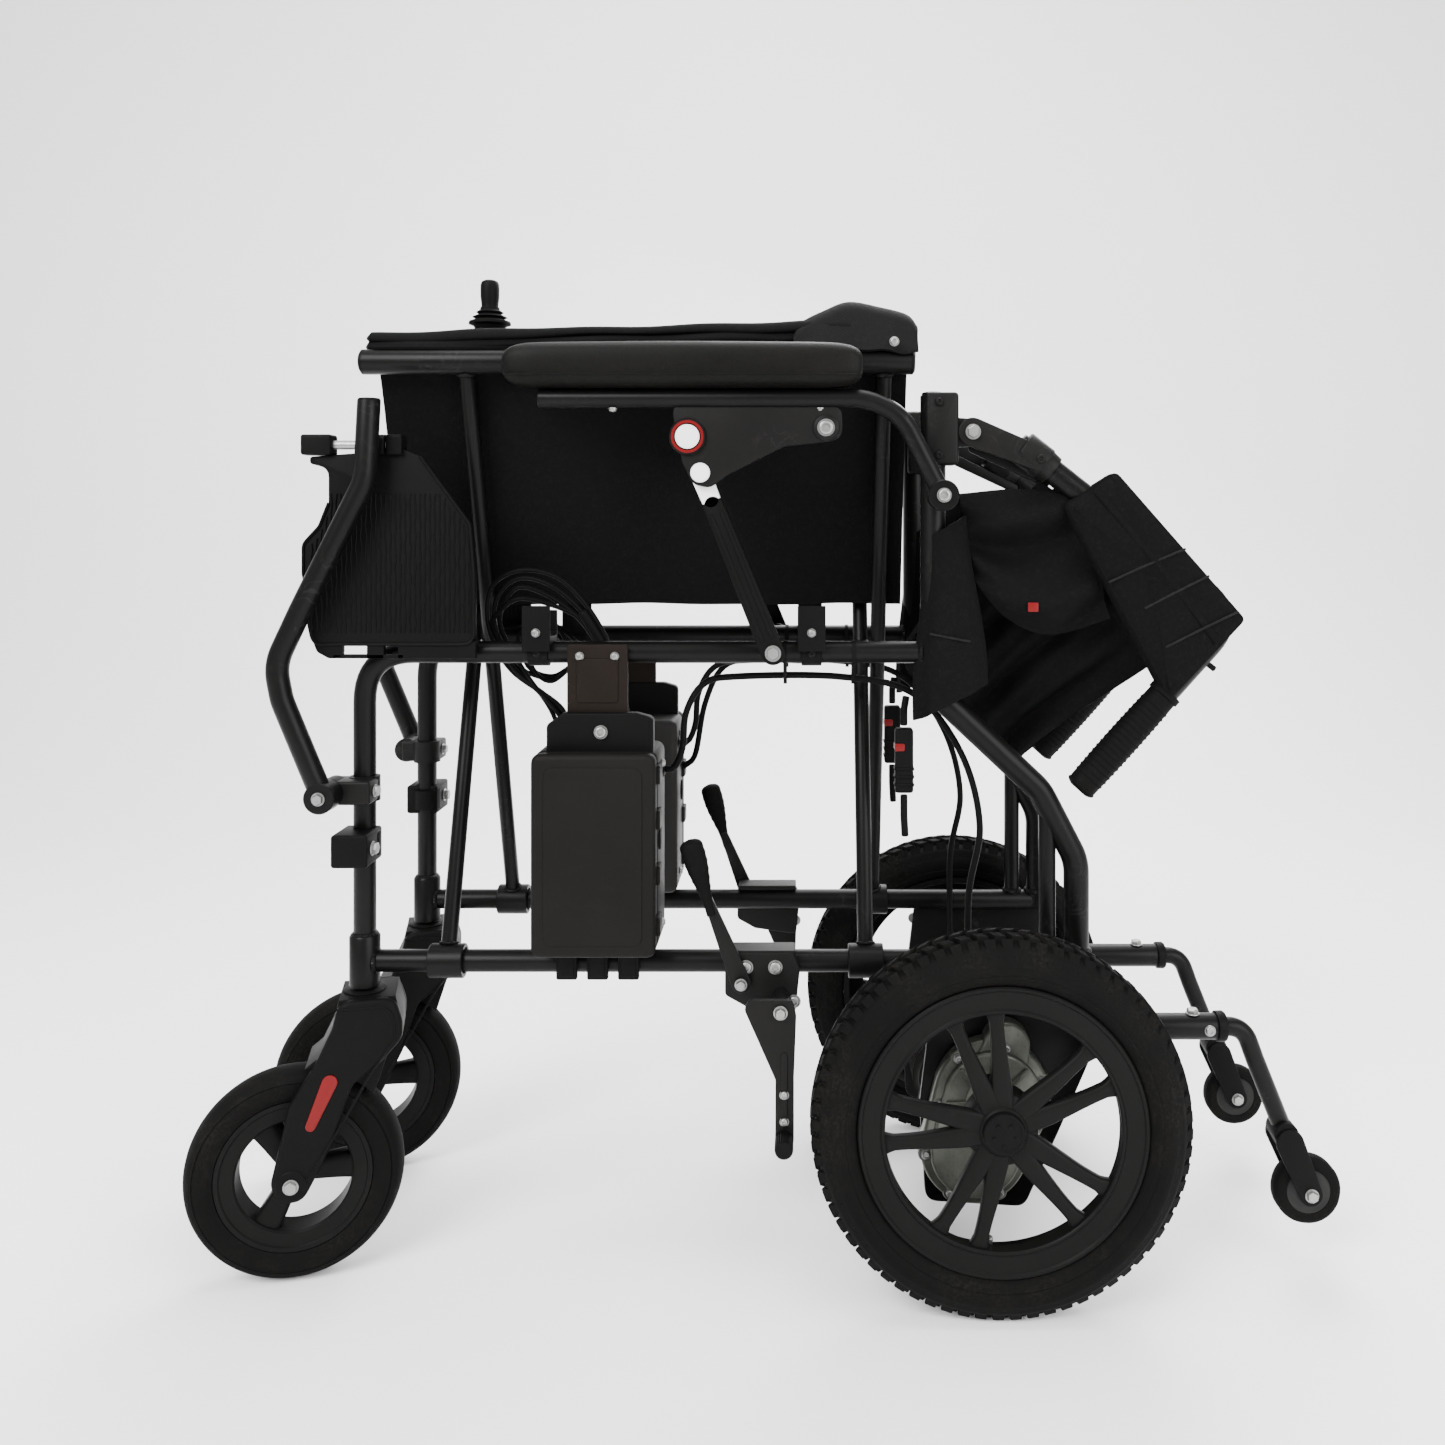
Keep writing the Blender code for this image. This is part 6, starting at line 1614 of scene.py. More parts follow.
@dataclass(frozen=True)
class Caster:
    """A front wheel in its moulded fork."""

    trail: float = -0.056
    diameter: float = 0.178
    width: float = 0.036
    rim: float = 0.064
    opening: float = 0.047
    fork_top: float = 0.2385
    fork_half: float = 0.031
    stem_top: float = 0.296
    yaw: float = math.radians(14)

    @property
    def centre(self) -> tuple[float, float, float]:
        """The middle of the wheel, before the fork is turned."""
        return (self.trail, SIZES.half, self.diameter / 2)

    def fork(self) -> Shape:
        """Two cheeks and the crown between them."""
        x, r, top, y = self.trail, self.diameter / 2, self.fork_top, SIZES.half
        outline = [(-0.019, top), (0.027, top), (0.033, top - 0.020), (0.033, top - 0.035), (0.016, r + 0.096),
                   (-0.008, r + 0.078), (-0.022, r + 0.034), (x + 0.017, r), (x + 0.009, r - 0.015),
                   (x - 0.009, r - 0.015), (x - 0.017, r), (x - 0.002, r + 0.066), (-0.038, r + 0.098),
                   (-0.024, top - 0.022)]
        smooth = bent(outline, 0.016, 6, closed=True)
        inner = self.width / 2 + SIZES.sweep
        cheeks = [plate(smooth, y - self.fork_half, y - inner, 0.0035), plate(smooth, y + inner, y + self.fork_half, 0.0035)]
        angle = np.radians(np.linspace(46, 84, 14))
        reach = r + 0.0055
        arch = np.stack([x + reach * np.cos(angle), r + reach * np.sin(angle)], axis=1)
        crown = np.vstack([[(-0.019, top), (0.027, top), (0.0325, top - 0.020), (0.0325, top - 0.035), (0.020, r + 0.099)],
                           arch, [(-0.036, r + 0.102), (-0.0235, top - 0.022)]])
        cheeks.append(plate(crown, y - inner - 0.004, y + inner + 0.004, 0.001))
        for sign in (-1, 1):
            rim = bent([(-0.020, top - 0.006), (0.024, top - 0.006), (0.028, top - 0.032), (0.006, r + 0.086),
                        (-0.014, r + 0.050), (x + 0.012, r + 0.004)], 0.020, 8)
            path = np.stack([rim[:, 0], np.full(len(rim), y + sign * (self.fork_half - 0.0003)), rim[:, 1]], axis=1)
            cheeks.append(swept(path, circle(0.0011, 10), (0, 1, 0)))
            boss = turned([(0.0005, 0.0), (0.0125, 0.0), (0.0130, 0.0010), (0.0120, 0.0020), (0.0005, 0.0022)],
                          (x, y + sign * (self.fork_half - 0.0008), r), (0, sign, 0), 48)
            cheeks.append(boss)
        collar = turned([(0.0005, 0.0), (0.0175, 0.0), (0.0180, 0.0012), (0.0165, 0.0022), (0.0005, 0.0024)],
                        (0, y, top - 0.0005), (0, 0, 1), 48)
        return joined(cheeks + [collar])

    def strips(self) -> Shape:
        """The red lens let into both sides of the fork."""
        outline = link_outline((-0.0255, 0.1725), (-0.0405, 0.1375), 0.0064, 0.0042, 18)
        return joined(plate(outline, SIZES.half + low, SIZES.half + low + 0.0016, 0.0006)
                      for low in (self.fork_half - 0.0004, -self.fork_half - 0.0012))

    def fittings(self) -> Shape:
        """The stem, the axle and the bolt heads at its ends."""
        x, y, z = self.centre
        out = self.fork_half + 0.0012
        return joined([
            rod((0, y, self.fork_top - 0.004), (0, y, self.stem_top), 0.012),
            rod((x, y - out, z), (x, y + out, z), 0.008),
            bolt((x, y + out, z), (0, 1, 0), 0.0054, 0.0032),
            bolt((x, y - out, z), (0, -1, 0), 0.0054, 0.0032),
        ])

    def tyre(self) -> Shape:
        """A solid tyre: two bowed walls and a crowned tread with a groove at each shoulder."""
        r, w = self.diameter / 2, self.width / 2
        profile = [(self.rim + 0.0003, -w * 0.80), (self.rim + 0.004, -w * 0.93), (r * 0.82, -w), (r * 0.885, -w * 0.985),
                   (r * 0.893, -w * 0.93), (r * 0.902, -w * 0.96), (r * 0.935, -w * 0.90), (r * 0.965, -w * 0.72),
                   (r * 0.985, -w * 0.50), (r * 0.996, -w * 0.27), (r, -w * 0.09)]
        profile += [(a, -b) for a, b in profile[::-1]]
        return turned(profile, self.centre, sides=144, ring=True)

    def hub(self) -> Shape:
        """The moulded rim with a lip each side, three broad spokes and the bearing hub."""
        w, out = self.width / 2, SIZES.half
        rim = [(self.opening, -w * 0.66), (self.opening + 0.0015, -w * 0.75), (self.rim - 0.005, -w * 0.75),
               (self.rim - 0.004, -w * 0.82), (self.rim - 0.0005, -w * 0.82), (self.rim, -w * 0.76)]
        rim += [(a, -b) for a, b in rim[::-1]]
        hub = [(0.0048, -w - 0.001), (0.0138, -w - 0.001), (0.0150, -w), (0.0150, w), (0.0138, w + 0.001),
               (0.0048, w + 0.001)]
        seal = [(0.0048, 0.0), (0.0108, 0.0), (0.0110, 0.0006), (0.0104, 0.0012), (0.0048, 0.0012)]
        x, y, z = self.centre
        shapes = [turned(rim, self.centre, sides=120, ring=True), turned(hub, self.centre, sides=64, ring=True)]
        for sign in (-1, 1):
            shapes.append(turned(seal, (x, y + sign * (w + 0.0002), z), (0, sign, 0), 48, ring=True))
        u = np.linspace(0, 1, 18)
        reach = 0.011 + (self.opening + 0.004 - 0.011) * u
        width = 0.0078 + 0.0018 * np.sin(math.pi * (1 - u)) + 0.0052 * u**3
        depth = w * (0.60 - 0.12 * np.sin(math.pi * u))
        loop = circle(1.0, 28)
        loop = np.sign(loop) * np.abs(loop) ** 0.55
        across = width[:, None] * loop[:, 0]
        deep = depth[:, None] * loop[:, 1]
        angle = math.radians(2)
        points = np.stack([x + reach[:, None] * math.cos(angle) - across * math.sin(angle),
                           out + deep, z + reach[:, None] * math.sin(angle) + across * math.cos(angle)], axis=-1)
        shapes.append(around(lofted(points), 3, self.centre))
        return joined(shapes)

    def build(self) -> None:
        """Makes both casters, turned the same way."""
        pair("fork_moulding", self.fork(), BLACK_PLASTIC, "caster_swivel", ["caster_fork"], self.yaw)
        pair("fork_strip", self.strips(), RED_PLASTIC, "caster_swivel", yaw=self.yaw)
        pair("fork_fittings", self.fittings(), ZINC, "caster_swivel", yaw=self.yaw)
        pair("caster_tread", self.tyre(), TYRE, "caster_wheel", ["caster_tyre"], self.yaw)
        pair("caster_rim", self.hub(), WHEEL_PLASTIC, "caster_wheel", ["caster_hub"], self.yaw)


@dataclass(frozen=True)
class DriveWheel:
    """A rear wheel: knobbly tyre, cast rim with five split spokes, and its gear case."""

    diameter: float = 0.310
    width: float = 0.055
    rim: float = 0.117025
    opening: float = 0.095
    rim_half: float = 0.023
    motor: tuple[float, float] = (0.526, 0.112)
    motor_diameter: float = 0.080
    first_spoke: float = math.radians(104)

    @property
    def centre(self) -> tuple[float, float, float]:
        """The middle of the wheel."""
        return (SIZES.axle, SIZES.wheel_out, SIZES.axle_height)

    def carcass(self) -> Shape:
        """The tyre without its knobs: round shoulders, bowed walls with two fine ridges, beads on the rim."""
        r, w, bead_radius = self.diameter / 2 - 0.0042, self.width / 2, self.rim + 0.0003
        angle = np.linspace(0, math.pi / 2, 12)
        crown = np.stack([r - 0.011 * (1 - np.sin(angle)) ** 1.3, w * 0.86 * np.cos(angle)], axis=1)
        wall = [(bead_radius, w * 0.72), (bead_radius + 0.002, w * 0.80), (r * 0.815, w * 0.915), (r * 0.835, w * 0.955),
                (r * 0.842, w * 0.940), (r * 0.849, w * 0.968), (r * 0.885, w * 0.985), (r * 0.908, w * 0.970),
                (r * 0.920, w * 0.925)]
        half = np.vstack([wall, crown[1:-1], [(r, 0.0)]])
        profile = np.vstack([half * (1, -1), half[-2::-1]])
        return turned(profile, self.centre, sides=180, ring=True)

    def block(self, radius: Array, offset: Array, spread: Array, slant: float) -> Shape:
        """A tread knob: rings of four corners that narrow as they rise, from radii, offsets and half-angles.

        Args:
            radius: of each ring at its two edges across the tyre.
            offset: of those edges.
            spread: half the knob's angle at each ring.
            slant: angle that the knob's outer edge trails by.
        Returns:
            The knob at the bottom of the wheel's turn.
        """
        corners = ((0, -1), (1, -1), (1, 1), (0, 1))
        rings = []
        for level in range(len(radius)):
            ring = []
            for edge, sign in corners:
                angle = sign * spread[level] + slant * edge
                ring.append((radius[level][edge] * math.sin(angle), offset[level][edge], radius[level][edge] * math.cos(angle)))
            rings.append(ring)
        return lofted(np.array(rings) + self.centre)

    def tread(self) -> Shape:
        """Shoulder knobs and two rows of centre knobs, evenly round the tyre."""
        r, w = self.diameter / 2, self.width / 2
        rows = []
        for sign in (-1, 1):
            offsets = np.array([(w * 0.50, w * 0.93), (w * 0.53, w * 0.90), (w * 0.56, w * 0.86)]) * sign
            radii = np.array([(r - 0.0075, r - 0.0195), (r - 0.0026, r - 0.0150), (r - 0.0017, r - 0.0135)])
            shoulder = self.block(radii, offsets, np.radians([2.05, 1.85, 1.6]), math.radians(0.5) * sign)
            rows.append(around(shoulder, 68, self.centre, math.radians(1.3) * (sign > 0)))
            lug = np.array([(w * 0.66, w * 0.955), (w * 0.68, w * 0.945)]) * sign
            lug_radii = np.array([(r - 0.0145, r - 0.0255), (r - 0.0105, r - 0.0215)])
            rows.append(around(self.block(lug_radii, lug, np.radians([0.85, 0.6]), 0.0), 68, self.centre,
                               math.radians(1.3) * (sign > 0) + math.radians(2.65)))
            offsets = np.array([(w * 0.07, w * 0.42), (w * 0.10, w * 0.39), (w * 0.12, w * 0.37)]) * sign
            radii = np.array([(r - 0.0052, r - 0.0062), (r - 0.0006, r - 0.0014), (r, r - 0.0007)])
            middle = self.block(radii, offsets, np.radians([1.9, 1.7, 1.5]), math.radians(1.6))
            rows.append(around(middle, 68, self.centre, math.radians(2.0) + math.radians(1.3) * (sign > 0)))
        return joined(rows)

    def rim_casting(self) -> Shape:
        """The rim: a channel under the tyre and a flat outer face with a rolled lip."""
        w, face = self.rim_half, self.rim_half
        profile = [(self.rim - 0.006, -w + 0.001), (self.rim - 0.005, -w), (self.rim, -w), (self.rim, face - 0.001),
                   (self.rim - 0.001, face), (self.rim - 0.0030, face), (self.rim - 0.0042, face - 0.0014),
                   (self.opening + 0.0040, face - 0.0022), (self.opening + 0.0026, face - 0.0008),
                   (self.opening + 0.0010, face - 0.0008), (self.opening, face - 0.0018),
                   (self.opening, face - 0.012), (self.rim - 0.008, face - 0.0145), (self.rim - 0.006, face - 0.018)]
        shapes = [turned(profile, self.centre, sides=180, ring=True)]
        u = np.linspace(0, 1, 22)
        loop = circle(1.0, 24)
        loop = np.sign(loop) * np.abs(loop) ** 0.62
        for sign in (-1, 1):
            reach = 0.017 + (self.opening + 0.0045 - 0.017) * u
            half = 0.0092 - 0.0034 * ease(u * 1.3) + 0.0036 * ease((u - 0.84) / 0.16)
            face_out = self.rim_half - 0.0088 + 0.0040 * np.sin(math.pi * u) * 0.5
            depth = 0.0058 - 0.0010 * u
            lean = self.first_spoke + sign * (math.radians(10.5) + math.radians(3.0) * (1 - u) ** 2)
            way = np.stack([np.cos(lean), np.sin(lean)], axis=1)
            side = np.stack([-way[:, 1], way[:, 0]], axis=1)
            flat = way[:, None] * reach[:, None, None] + side[:, None] * (half[:, None] * loop[:, 0])[..., None]
            out = SIZES.wheel_out + face_out[:, None] + depth[:, None] * loop[:, 1]
            points = np.stack([SIZES.axle + flat[..., 0], out, SIZES.axle_height + flat[..., 1]], axis=-1)
            shapes.append(around(lofted(points), 5, self.centre))
        hub = [(0.0083, w - 0.026), (0.030, w - 0.026), (0.0300, w - 0.0105), (0.0285, w - 0.0070), (0.0250, w - 0.0052),
               (0.0205, w - 0.0046), (0.0192, w - 0.0020), (0.0180, w - 0.0010), (0.0083, w - 0.0010)]
        shapes.append(turned(hub, self.centre, sides=96, ring=True))
        web = plate(link_outline((0.020, 0.0), (0.036, 0.0), 0.010, 0.0068), SIZES.wheel_out + w - 0.0165,
                    SIZES.wheel_out + w - 0.0068, 0.0015)
        web = web.at(web.points + (SIZES.axle, 0, SIZES.axle_height))
        shapes.append(around(web, 5, self.centre, -self.first_spoke))
        return joined(shapes)

    def cap(self) -> Shape:
        """The hub's cap: a low dome with a ring and five dimpled studs."""
        w = self.rim_half
        x, y, z = self.centre
        dome = [(0.0005, w - 0.004), (0.0172, w - 0.004), (0.0172, w + 0.0012), (0.0165, w + 0.0024), (0.0150, w + 0.0028),
                (0.0138, w + 0.0022), (0.0128, w + 0.0020), (0.0060, w + 0.0034), (0.0005, w + 0.0037)]
        stud = turned([(0.0005, 0.0), (0.0018, 0.0), (0.0016, 0.0009), (0.0005, 0.0011)],
                      (x + 0.0085, y + w + 0.0026, z), (0, 1, 0), 20)
        return turned(dome, self.centre, sides=72) + around(stud, 5, self.centre, math.radians(18))

    def gear_case(self) -> Shape:
        """The cast gear case with its lobe, ribs and bosses, and the wheel's axle."""
        inner = SIZES.half + 0.0115
        outer = SIZES.wheel_out - self.rim_half - 0.008
        axle = (SIZES.axle, SIZES.axle_height)
        shapes = [
            plate(link_outline(axle, self.motor, 0.050, 0.046, 40), inner, outer - 0.008, 0.003),
            plate(link_outline(axle, self.motor, 0.042, 0.038, 40), outer - 0.009, outer - 0.001, 0.0025),
            plate(link_outline(axle, (axle[0] + 0.012, axle[1] + 0.045), 0.03, 0.02, 24), inner, outer - 0.006, 0.003),
            rod((axle[0], outer - 0.004, axle[1]), (axle[0], SIZES.wheel_out + self.rim_half - 0.004, axle[1]), 0.015),
            turned([(0.0005, 0.0), (0.024, 0.0), (0.0235, 0.0020), (0.0180, 0.0045), (0.0175, 0.0060), (0.0005, 0.0062)],
                   (axle[0], outer - 0.0022, axle[1]), (0, 1, 0), 72),
        ]
        for k, (cx, cz, radius) in enumerate(((*axle, 0.045), (*self.motor, 0.0415))):
            for angle in np.radians([20, 75, 130, 185, 240, 300, 345]):
                bx, bz = cx + radius * math.cos(angle), cz + radius * math.sin(angle)
                other = self.motor if k == 0 else axle
                if math.hypot(bx - other[0], bz - other[1]) < 0.040:
                    continue
                shapes.append(turned([(0.0005, 0.0), (0.0066, 0.0), (0.0066, 0.0095), (0.0056, 0.0105), (0.0005, 0.0108)],
                                     (bx, outer - 0.0185, bz), (0, 1, 0), 28))
        for angle in np.radians(np.arange(0, 360, 45)):
            a = (axle[0] + 0.024 * math.cos(angle), axle[1] + 0.024 * math.sin(angle))
            b = (axle[0] + 0.039 * math.cos(angle), axle[1] + 0.039 * math.sin(angle))
            shapes.append(plate(link_outline(a, b, 0.0020, 0.0016), outer - 0.0020, outer + 0.0016, 0.0006))
        return joined(shapes)

    def case_bolts(self) -> Shape:
        """Screws in the case's bosses."""
        outer = SIZES.wheel_out - self.rim_half - 0.008
        heads = []
        for cx, cz, radius, other in ((SIZES.axle, SIZES.axle_height, 0.045, self.motor),
                                      (*self.motor, 0.0415, (SIZES.axle, SIZES.axle_height))):
            for angle in np.radians([20, 75, 130, 185, 240, 300, 345]):
                bx, bz = cx + radius * math.cos(angle), cz + radius * math.sin(angle)
                if math.hypot(bx - other[0], bz - other[1]) >= 0.040:
                    heads.append(bolt((bx, outer - 0.0080, bz), (0, 1, 0), 0.0036, 0.0026, True))
        return joined(heads)

    def motor_can(self) -> Shape:
        """The motor's body: a ribbed can with a stepped end."""
        x, z = self.motor
        r = self.motor_diameter / 2
        profile = [(0.0005, 0.016), (r - 0.012, 0.016), (r - 0.010, 0.0185), (r - 0.006, 0.0195), (r - 0.005, 0.024)]
        for k in range(12):
            low = 0.027 + k * 0.0052
            profile += [(r - 0.0025, low), (r - 0.0004, low + 0.0006), (r - 0.0004, low + 0.0028), (r - 0.0025, low + 0.0034)]
        profile += [(r - 0.001, 0.0945), (r - 0.001, SIZES.half + 0.014), (0.0005, SIZES.half + 0.014)]
        gland = rod((x, 0.0655, z + r - 0.002), (x, 0.0655, z + r + 0.0012), 0.013)
        return turned(profile, (x, 0, z), sides=80) + gland

    def build(self) -> None:
        """Makes both drive wheels with their motors."""
        pair("tyre_carcass", self.carcass() + self.tread(), TYRE, "drive_wheel", ["drive_tyre"])
        pair("rim_casting", self.rim_casting(), WHEEL_PLASTIC, "drive_wheel", ["drive_rim"])
        pair("hub_cap", self.cap(), BLACK_PLASTIC, "drive_wheel")
        valve = rod((SIZES.axle - 0.0105, SIZES.wheel_out + 0.004, SIZES.axle_height - self.rim + 0.004),
                    (SIZES.axle - 0.0095, SIZES.wheel_out + 0.010, SIZES.axle_height - self.opening + 0.006), 0.005)
        pair("tyre_valve", valve, ZINC, "drive_wheel")
        pair("gear_case", self.gear_case(), GEAR_CASE, "side", ["drive_motor"])
        pair("gear_case_bolts", self.case_bolts(), ZINC, "side")
        pair("motor_can", self.motor_can(), CASE_PLASTIC, "side")


@dataclass(frozen=True)
class AntiTip:
    """A small rear roller on its bent tube."""

    tube: float = 0.016
    axle: tuple[float, float] = (0.817, 0.066)
    radius: float = 0.029
    width: float = 0.018

    def build(self) -> None:
        """Makes both anti-tip wheels."""
        x, z = self.axle
        y, frame_side = SIZES.half, SideFrame()
        end, height = frame_side.receiver_end, frame_side.receiver_height
        path = bent([(end - 0.045, y, height), (end + 0.016, y, height), (end + 0.026, y, 0.178),
                     (x - 0.012, y, z + 0.032)], 0.030, 10)
        pair("tip_tube", tube(path, self.tube), PAINT, "side", ["antitip_tube"])
        half = self.width / 2 + 0.0015
        outline = link_outline((x - 0.018, z + 0.044), (x, z), 0.012, 0.010, 24)
        cheeks = [plate(outline, y + low, y + low + 0.004, 0.0012) for low in (half, -half - 0.004)]
        cheeks.append(plate(link_outline((x - 0.020, z + 0.050), (x - 0.0165, z + 0.0415), 0.0105, 0.0095, 16),
                            y - half - 0.001, y + half + 0.001, 0.001))
        pair("tip_clevis", joined(cheeks), BLACK_PLASTIC, "side")
        out = half + 0.0040
        heads = [rod((x, y - out, z), (x, y + out, z), 0.006),
                 bolt((x, y + out, z), (0, 1, 0), 0.0050, 0.0030), bolt((x, y - out, z), (0, -1, 0), 0.0050, 0.0030),
                 bolt((end - 0.016, y + 0.0104, height), (0, 1, 0), 0.0040, 0.0018, True)]
        pair("tip_bolts", joined(heads), ZINC, "side")
        r, w = self.radius, self.width / 2
        tread = [(r - 0.010, -w + 0.001), (r - 0.005, -w), (r - 0.0018, -w + 0.0015), (r, -w + 0.005), (r, w - 0.005),
                 (r - 0.0018, w - 0.0015), (r - 0.005, w), (r - 0.010, w - 0.001)]
        pair("tip_tread", turned(tread, (x, y, z), sides=72, ring=True), TYRE, "tip_roller", ["antitip_wheel"])
        hub = [(0.0038, -w), (0.0100, -w), (0.0110, -w + 0.0012), (0.0165, -w + 0.0022), (r - 0.0102, -w + 0.0014),
               (r - 0.0102, w - 0.0014), (0.0165, w - 0.0022), (0.0110, w - 0.0012), (0.0100, w), (0.0038, w)]
        pair("tip_hub", turned(hub, (x, y, z), sides=56, ring=True), GREY_PLASTIC, "tip_roller")


# --- boxes, brakes, cables ---


@dataclass(frozen=True)
class SideBox:
    """The battery box on the left and the controller box on the right, hung on the side frame."""

    front: float = 0.152
    length: float = 0.105
    bottom: float = 0.278
    top: float = 0.449
    outer: float = 0.135
    depth: float = 0.080

    def shell(self) -> Shape:
        """The case: a body and a lid with a parting groove between them, and a raised outer face."""
        back, inner = self.front + self.length, self.outer - self.depth
        split = self.outer - 0.017
        flat = bent([(self.front + 0.011, self.bottom + 0.011), (back - 0.011, self.bottom + 0.011),
                     (back - 0.011, self.top - 0.011), (self.front + 0.011, self.top - 0.011)], 0.009, closed=True)
        clips = [rounded_box((back - 0.0010, split - 0.012, z - 0.008), (back + 0.0030, split + 0.007, z + 0.008), 0.0020,
                             0.0010, Axis.X) for z in (0.302, 0.345, 0.392, 0.430)]
        return joined([
            rounded_box((self.front, inner, self.bottom), (back, split - 0.0004, self.top), 0.009, 0.0060),
            rounded_box((self.front + 0.0010, inner + 0.004, self.bottom + 0.0010),
                        (back - 0.0010, split + 0.0006, self.top - 0.0010), 0.009, 0.0005),
            rounded_box((self.front, split + 0.0004, self.bottom), (back, self.outer - 0.0010, self.top), 0.009, 0.0050),
            plate(flat, self.outer - 0.0050, self.outer, 0.0009),
        ] + clips)

    def mounting(self) -> Shape:
        """Hooks round the lower rail and the neck plate above the box."""
        s, back = SIZES, self.front + self.length
        inner, middle = s.half + s.tube / 2 + 0.0008, self.front + self.length / 2
        shapes = []
        for station in (self.front + 0.026, middle, back - 0.026):
            shapes.append(rounded_box((station - 0.009, inner, s.lower_rail - 0.0115),
                                      (station + 0.009, inner + 0.006, self.bottom + 0.010), 0.002, 0.0015))
            shapes.append(rounded_box((station - 0.0065, inner + 0.004, s.lower_rail - 0.0085),
                                      (station + 0.0065, inner + 0.0072, self.bottom + 0.006), 0.0015, 0.0008))
        low, high = self.top - 0.010, self.top + 0.032
        neck = bent([(self.front + 0.010, low), (back - 0.004, low), (back - 0.004, high - 0.004), (back - 0.018, high),
                     (self.front + 0.024, high), (self.front + 0.010, high - 0.010)], 0.006, closed=True)
        shapes.append(plate(neck, inner, inner + 0.012, 0.0015))
        return joined(shapes)

    def hanger(self) -> Shape:
        """The strap from the neck plate up to the upper rail, with a pressed rib."""
        s, middle = SIZES, self.front + self.length / 2
        inner = s.half + s.tube / 2 + 0.0008
        strap = rounded_box((middle - 0.026, inner + 0.002, self.top + 0.020), (middle + 0.026, inner + 0.006, s.upper_rail + 0.008),
                            0.003, 0.0010)
        rib = rounded_box((middle - 0.018, inner + 0.005, self.top + 0.040), (middle + 0.018, inner + 0.0072, s.upper_rail - 0.004),
                          0.003, 0.0010)
        return strap + rib

    def fittings(self) -> Shape:
        """The neck's bolt and the case's corner screws."""
        s, middle = SIZES, self.front + self.length / 2
        inner, back = s.half + s.tube / 2 + 0.0008, self.front + self.length
        heads = [bolt((middle + 0.004, inner + 0.0122, self.top + 0.016), (0, 1, 0), 0.0050, 0.0034, True),
                 bolt((middle - 0.015, inner + 0.0062, s.upper_rail - 0.002), (0, 1, 0), 0.0032, 0.0022, True),
                 bolt((middle + 0.015, inner + 0.0062, s.upper_rail - 0.002), (0, 1, 0), 0.0032, 0.0022, True)]
        for z in (self.bottom + 0.016, self.top - 0.016):
            heads.append(bolt((back + 0.0002, self.outer - 0.052, z), (1, 0, 0), 0.0030, 0.0020, True))
        return joined(heads)

    def sockets(self) -> Shape:
        """The charging socket's cap and the cable gland on the back of the case."""
        back, inner = self.front + self.length, self.outer - self.depth
        gland = turned([(0.0005, 0.0), (0.0085, 0.0), (0.0085, 0.0030), (0.0062, 0.0046), (0.0040, 0.0050), (0.0005, 0.0050)],
                       (back - 0.0035, SIZES.half - 0.023, 0.425), (1, 0, 0), 6)
        cap = turned([(0.0005, 0.0), (0.0100, 0.0), (0.0100, 0.0012), (0.0088, 0.0020), (0.0005, 0.0022)],
                     (back - 0.0002, inner + 0.046, 0.372), (1, 0, 0), 40)
        carry = rounded_box((self.front + 0.030, inner + 0.012, self.top - 0.0012), (back - 0.030, inner + 0.030, self.top + 0.0012),
                            0.004, 0.001, Axis.Z)
        return joined([gland, cap, carry])

    def build(self) -> None:
        """Makes both boxes."""
        pair("battery_case", self.shell(), CASE_PLASTIC, "side", ["battery_box"], sides=[Side.LEFT])
        pair("controller_case", self.shell(), GREY_CASE, "side", ["battery_box"], sides=[Side.RIGHT])
        pair("box_mounting", self.mounting(), BLACK_PLASTIC, "side")
        pair("box_hanger", self.hanger(), BROWN_PLASTIC, "side")
        pair("box_screws", self.fittings(), ZINC, "side")
        pair("box_sockets", self.sockets(), BLACK_PLASTIC, "side")


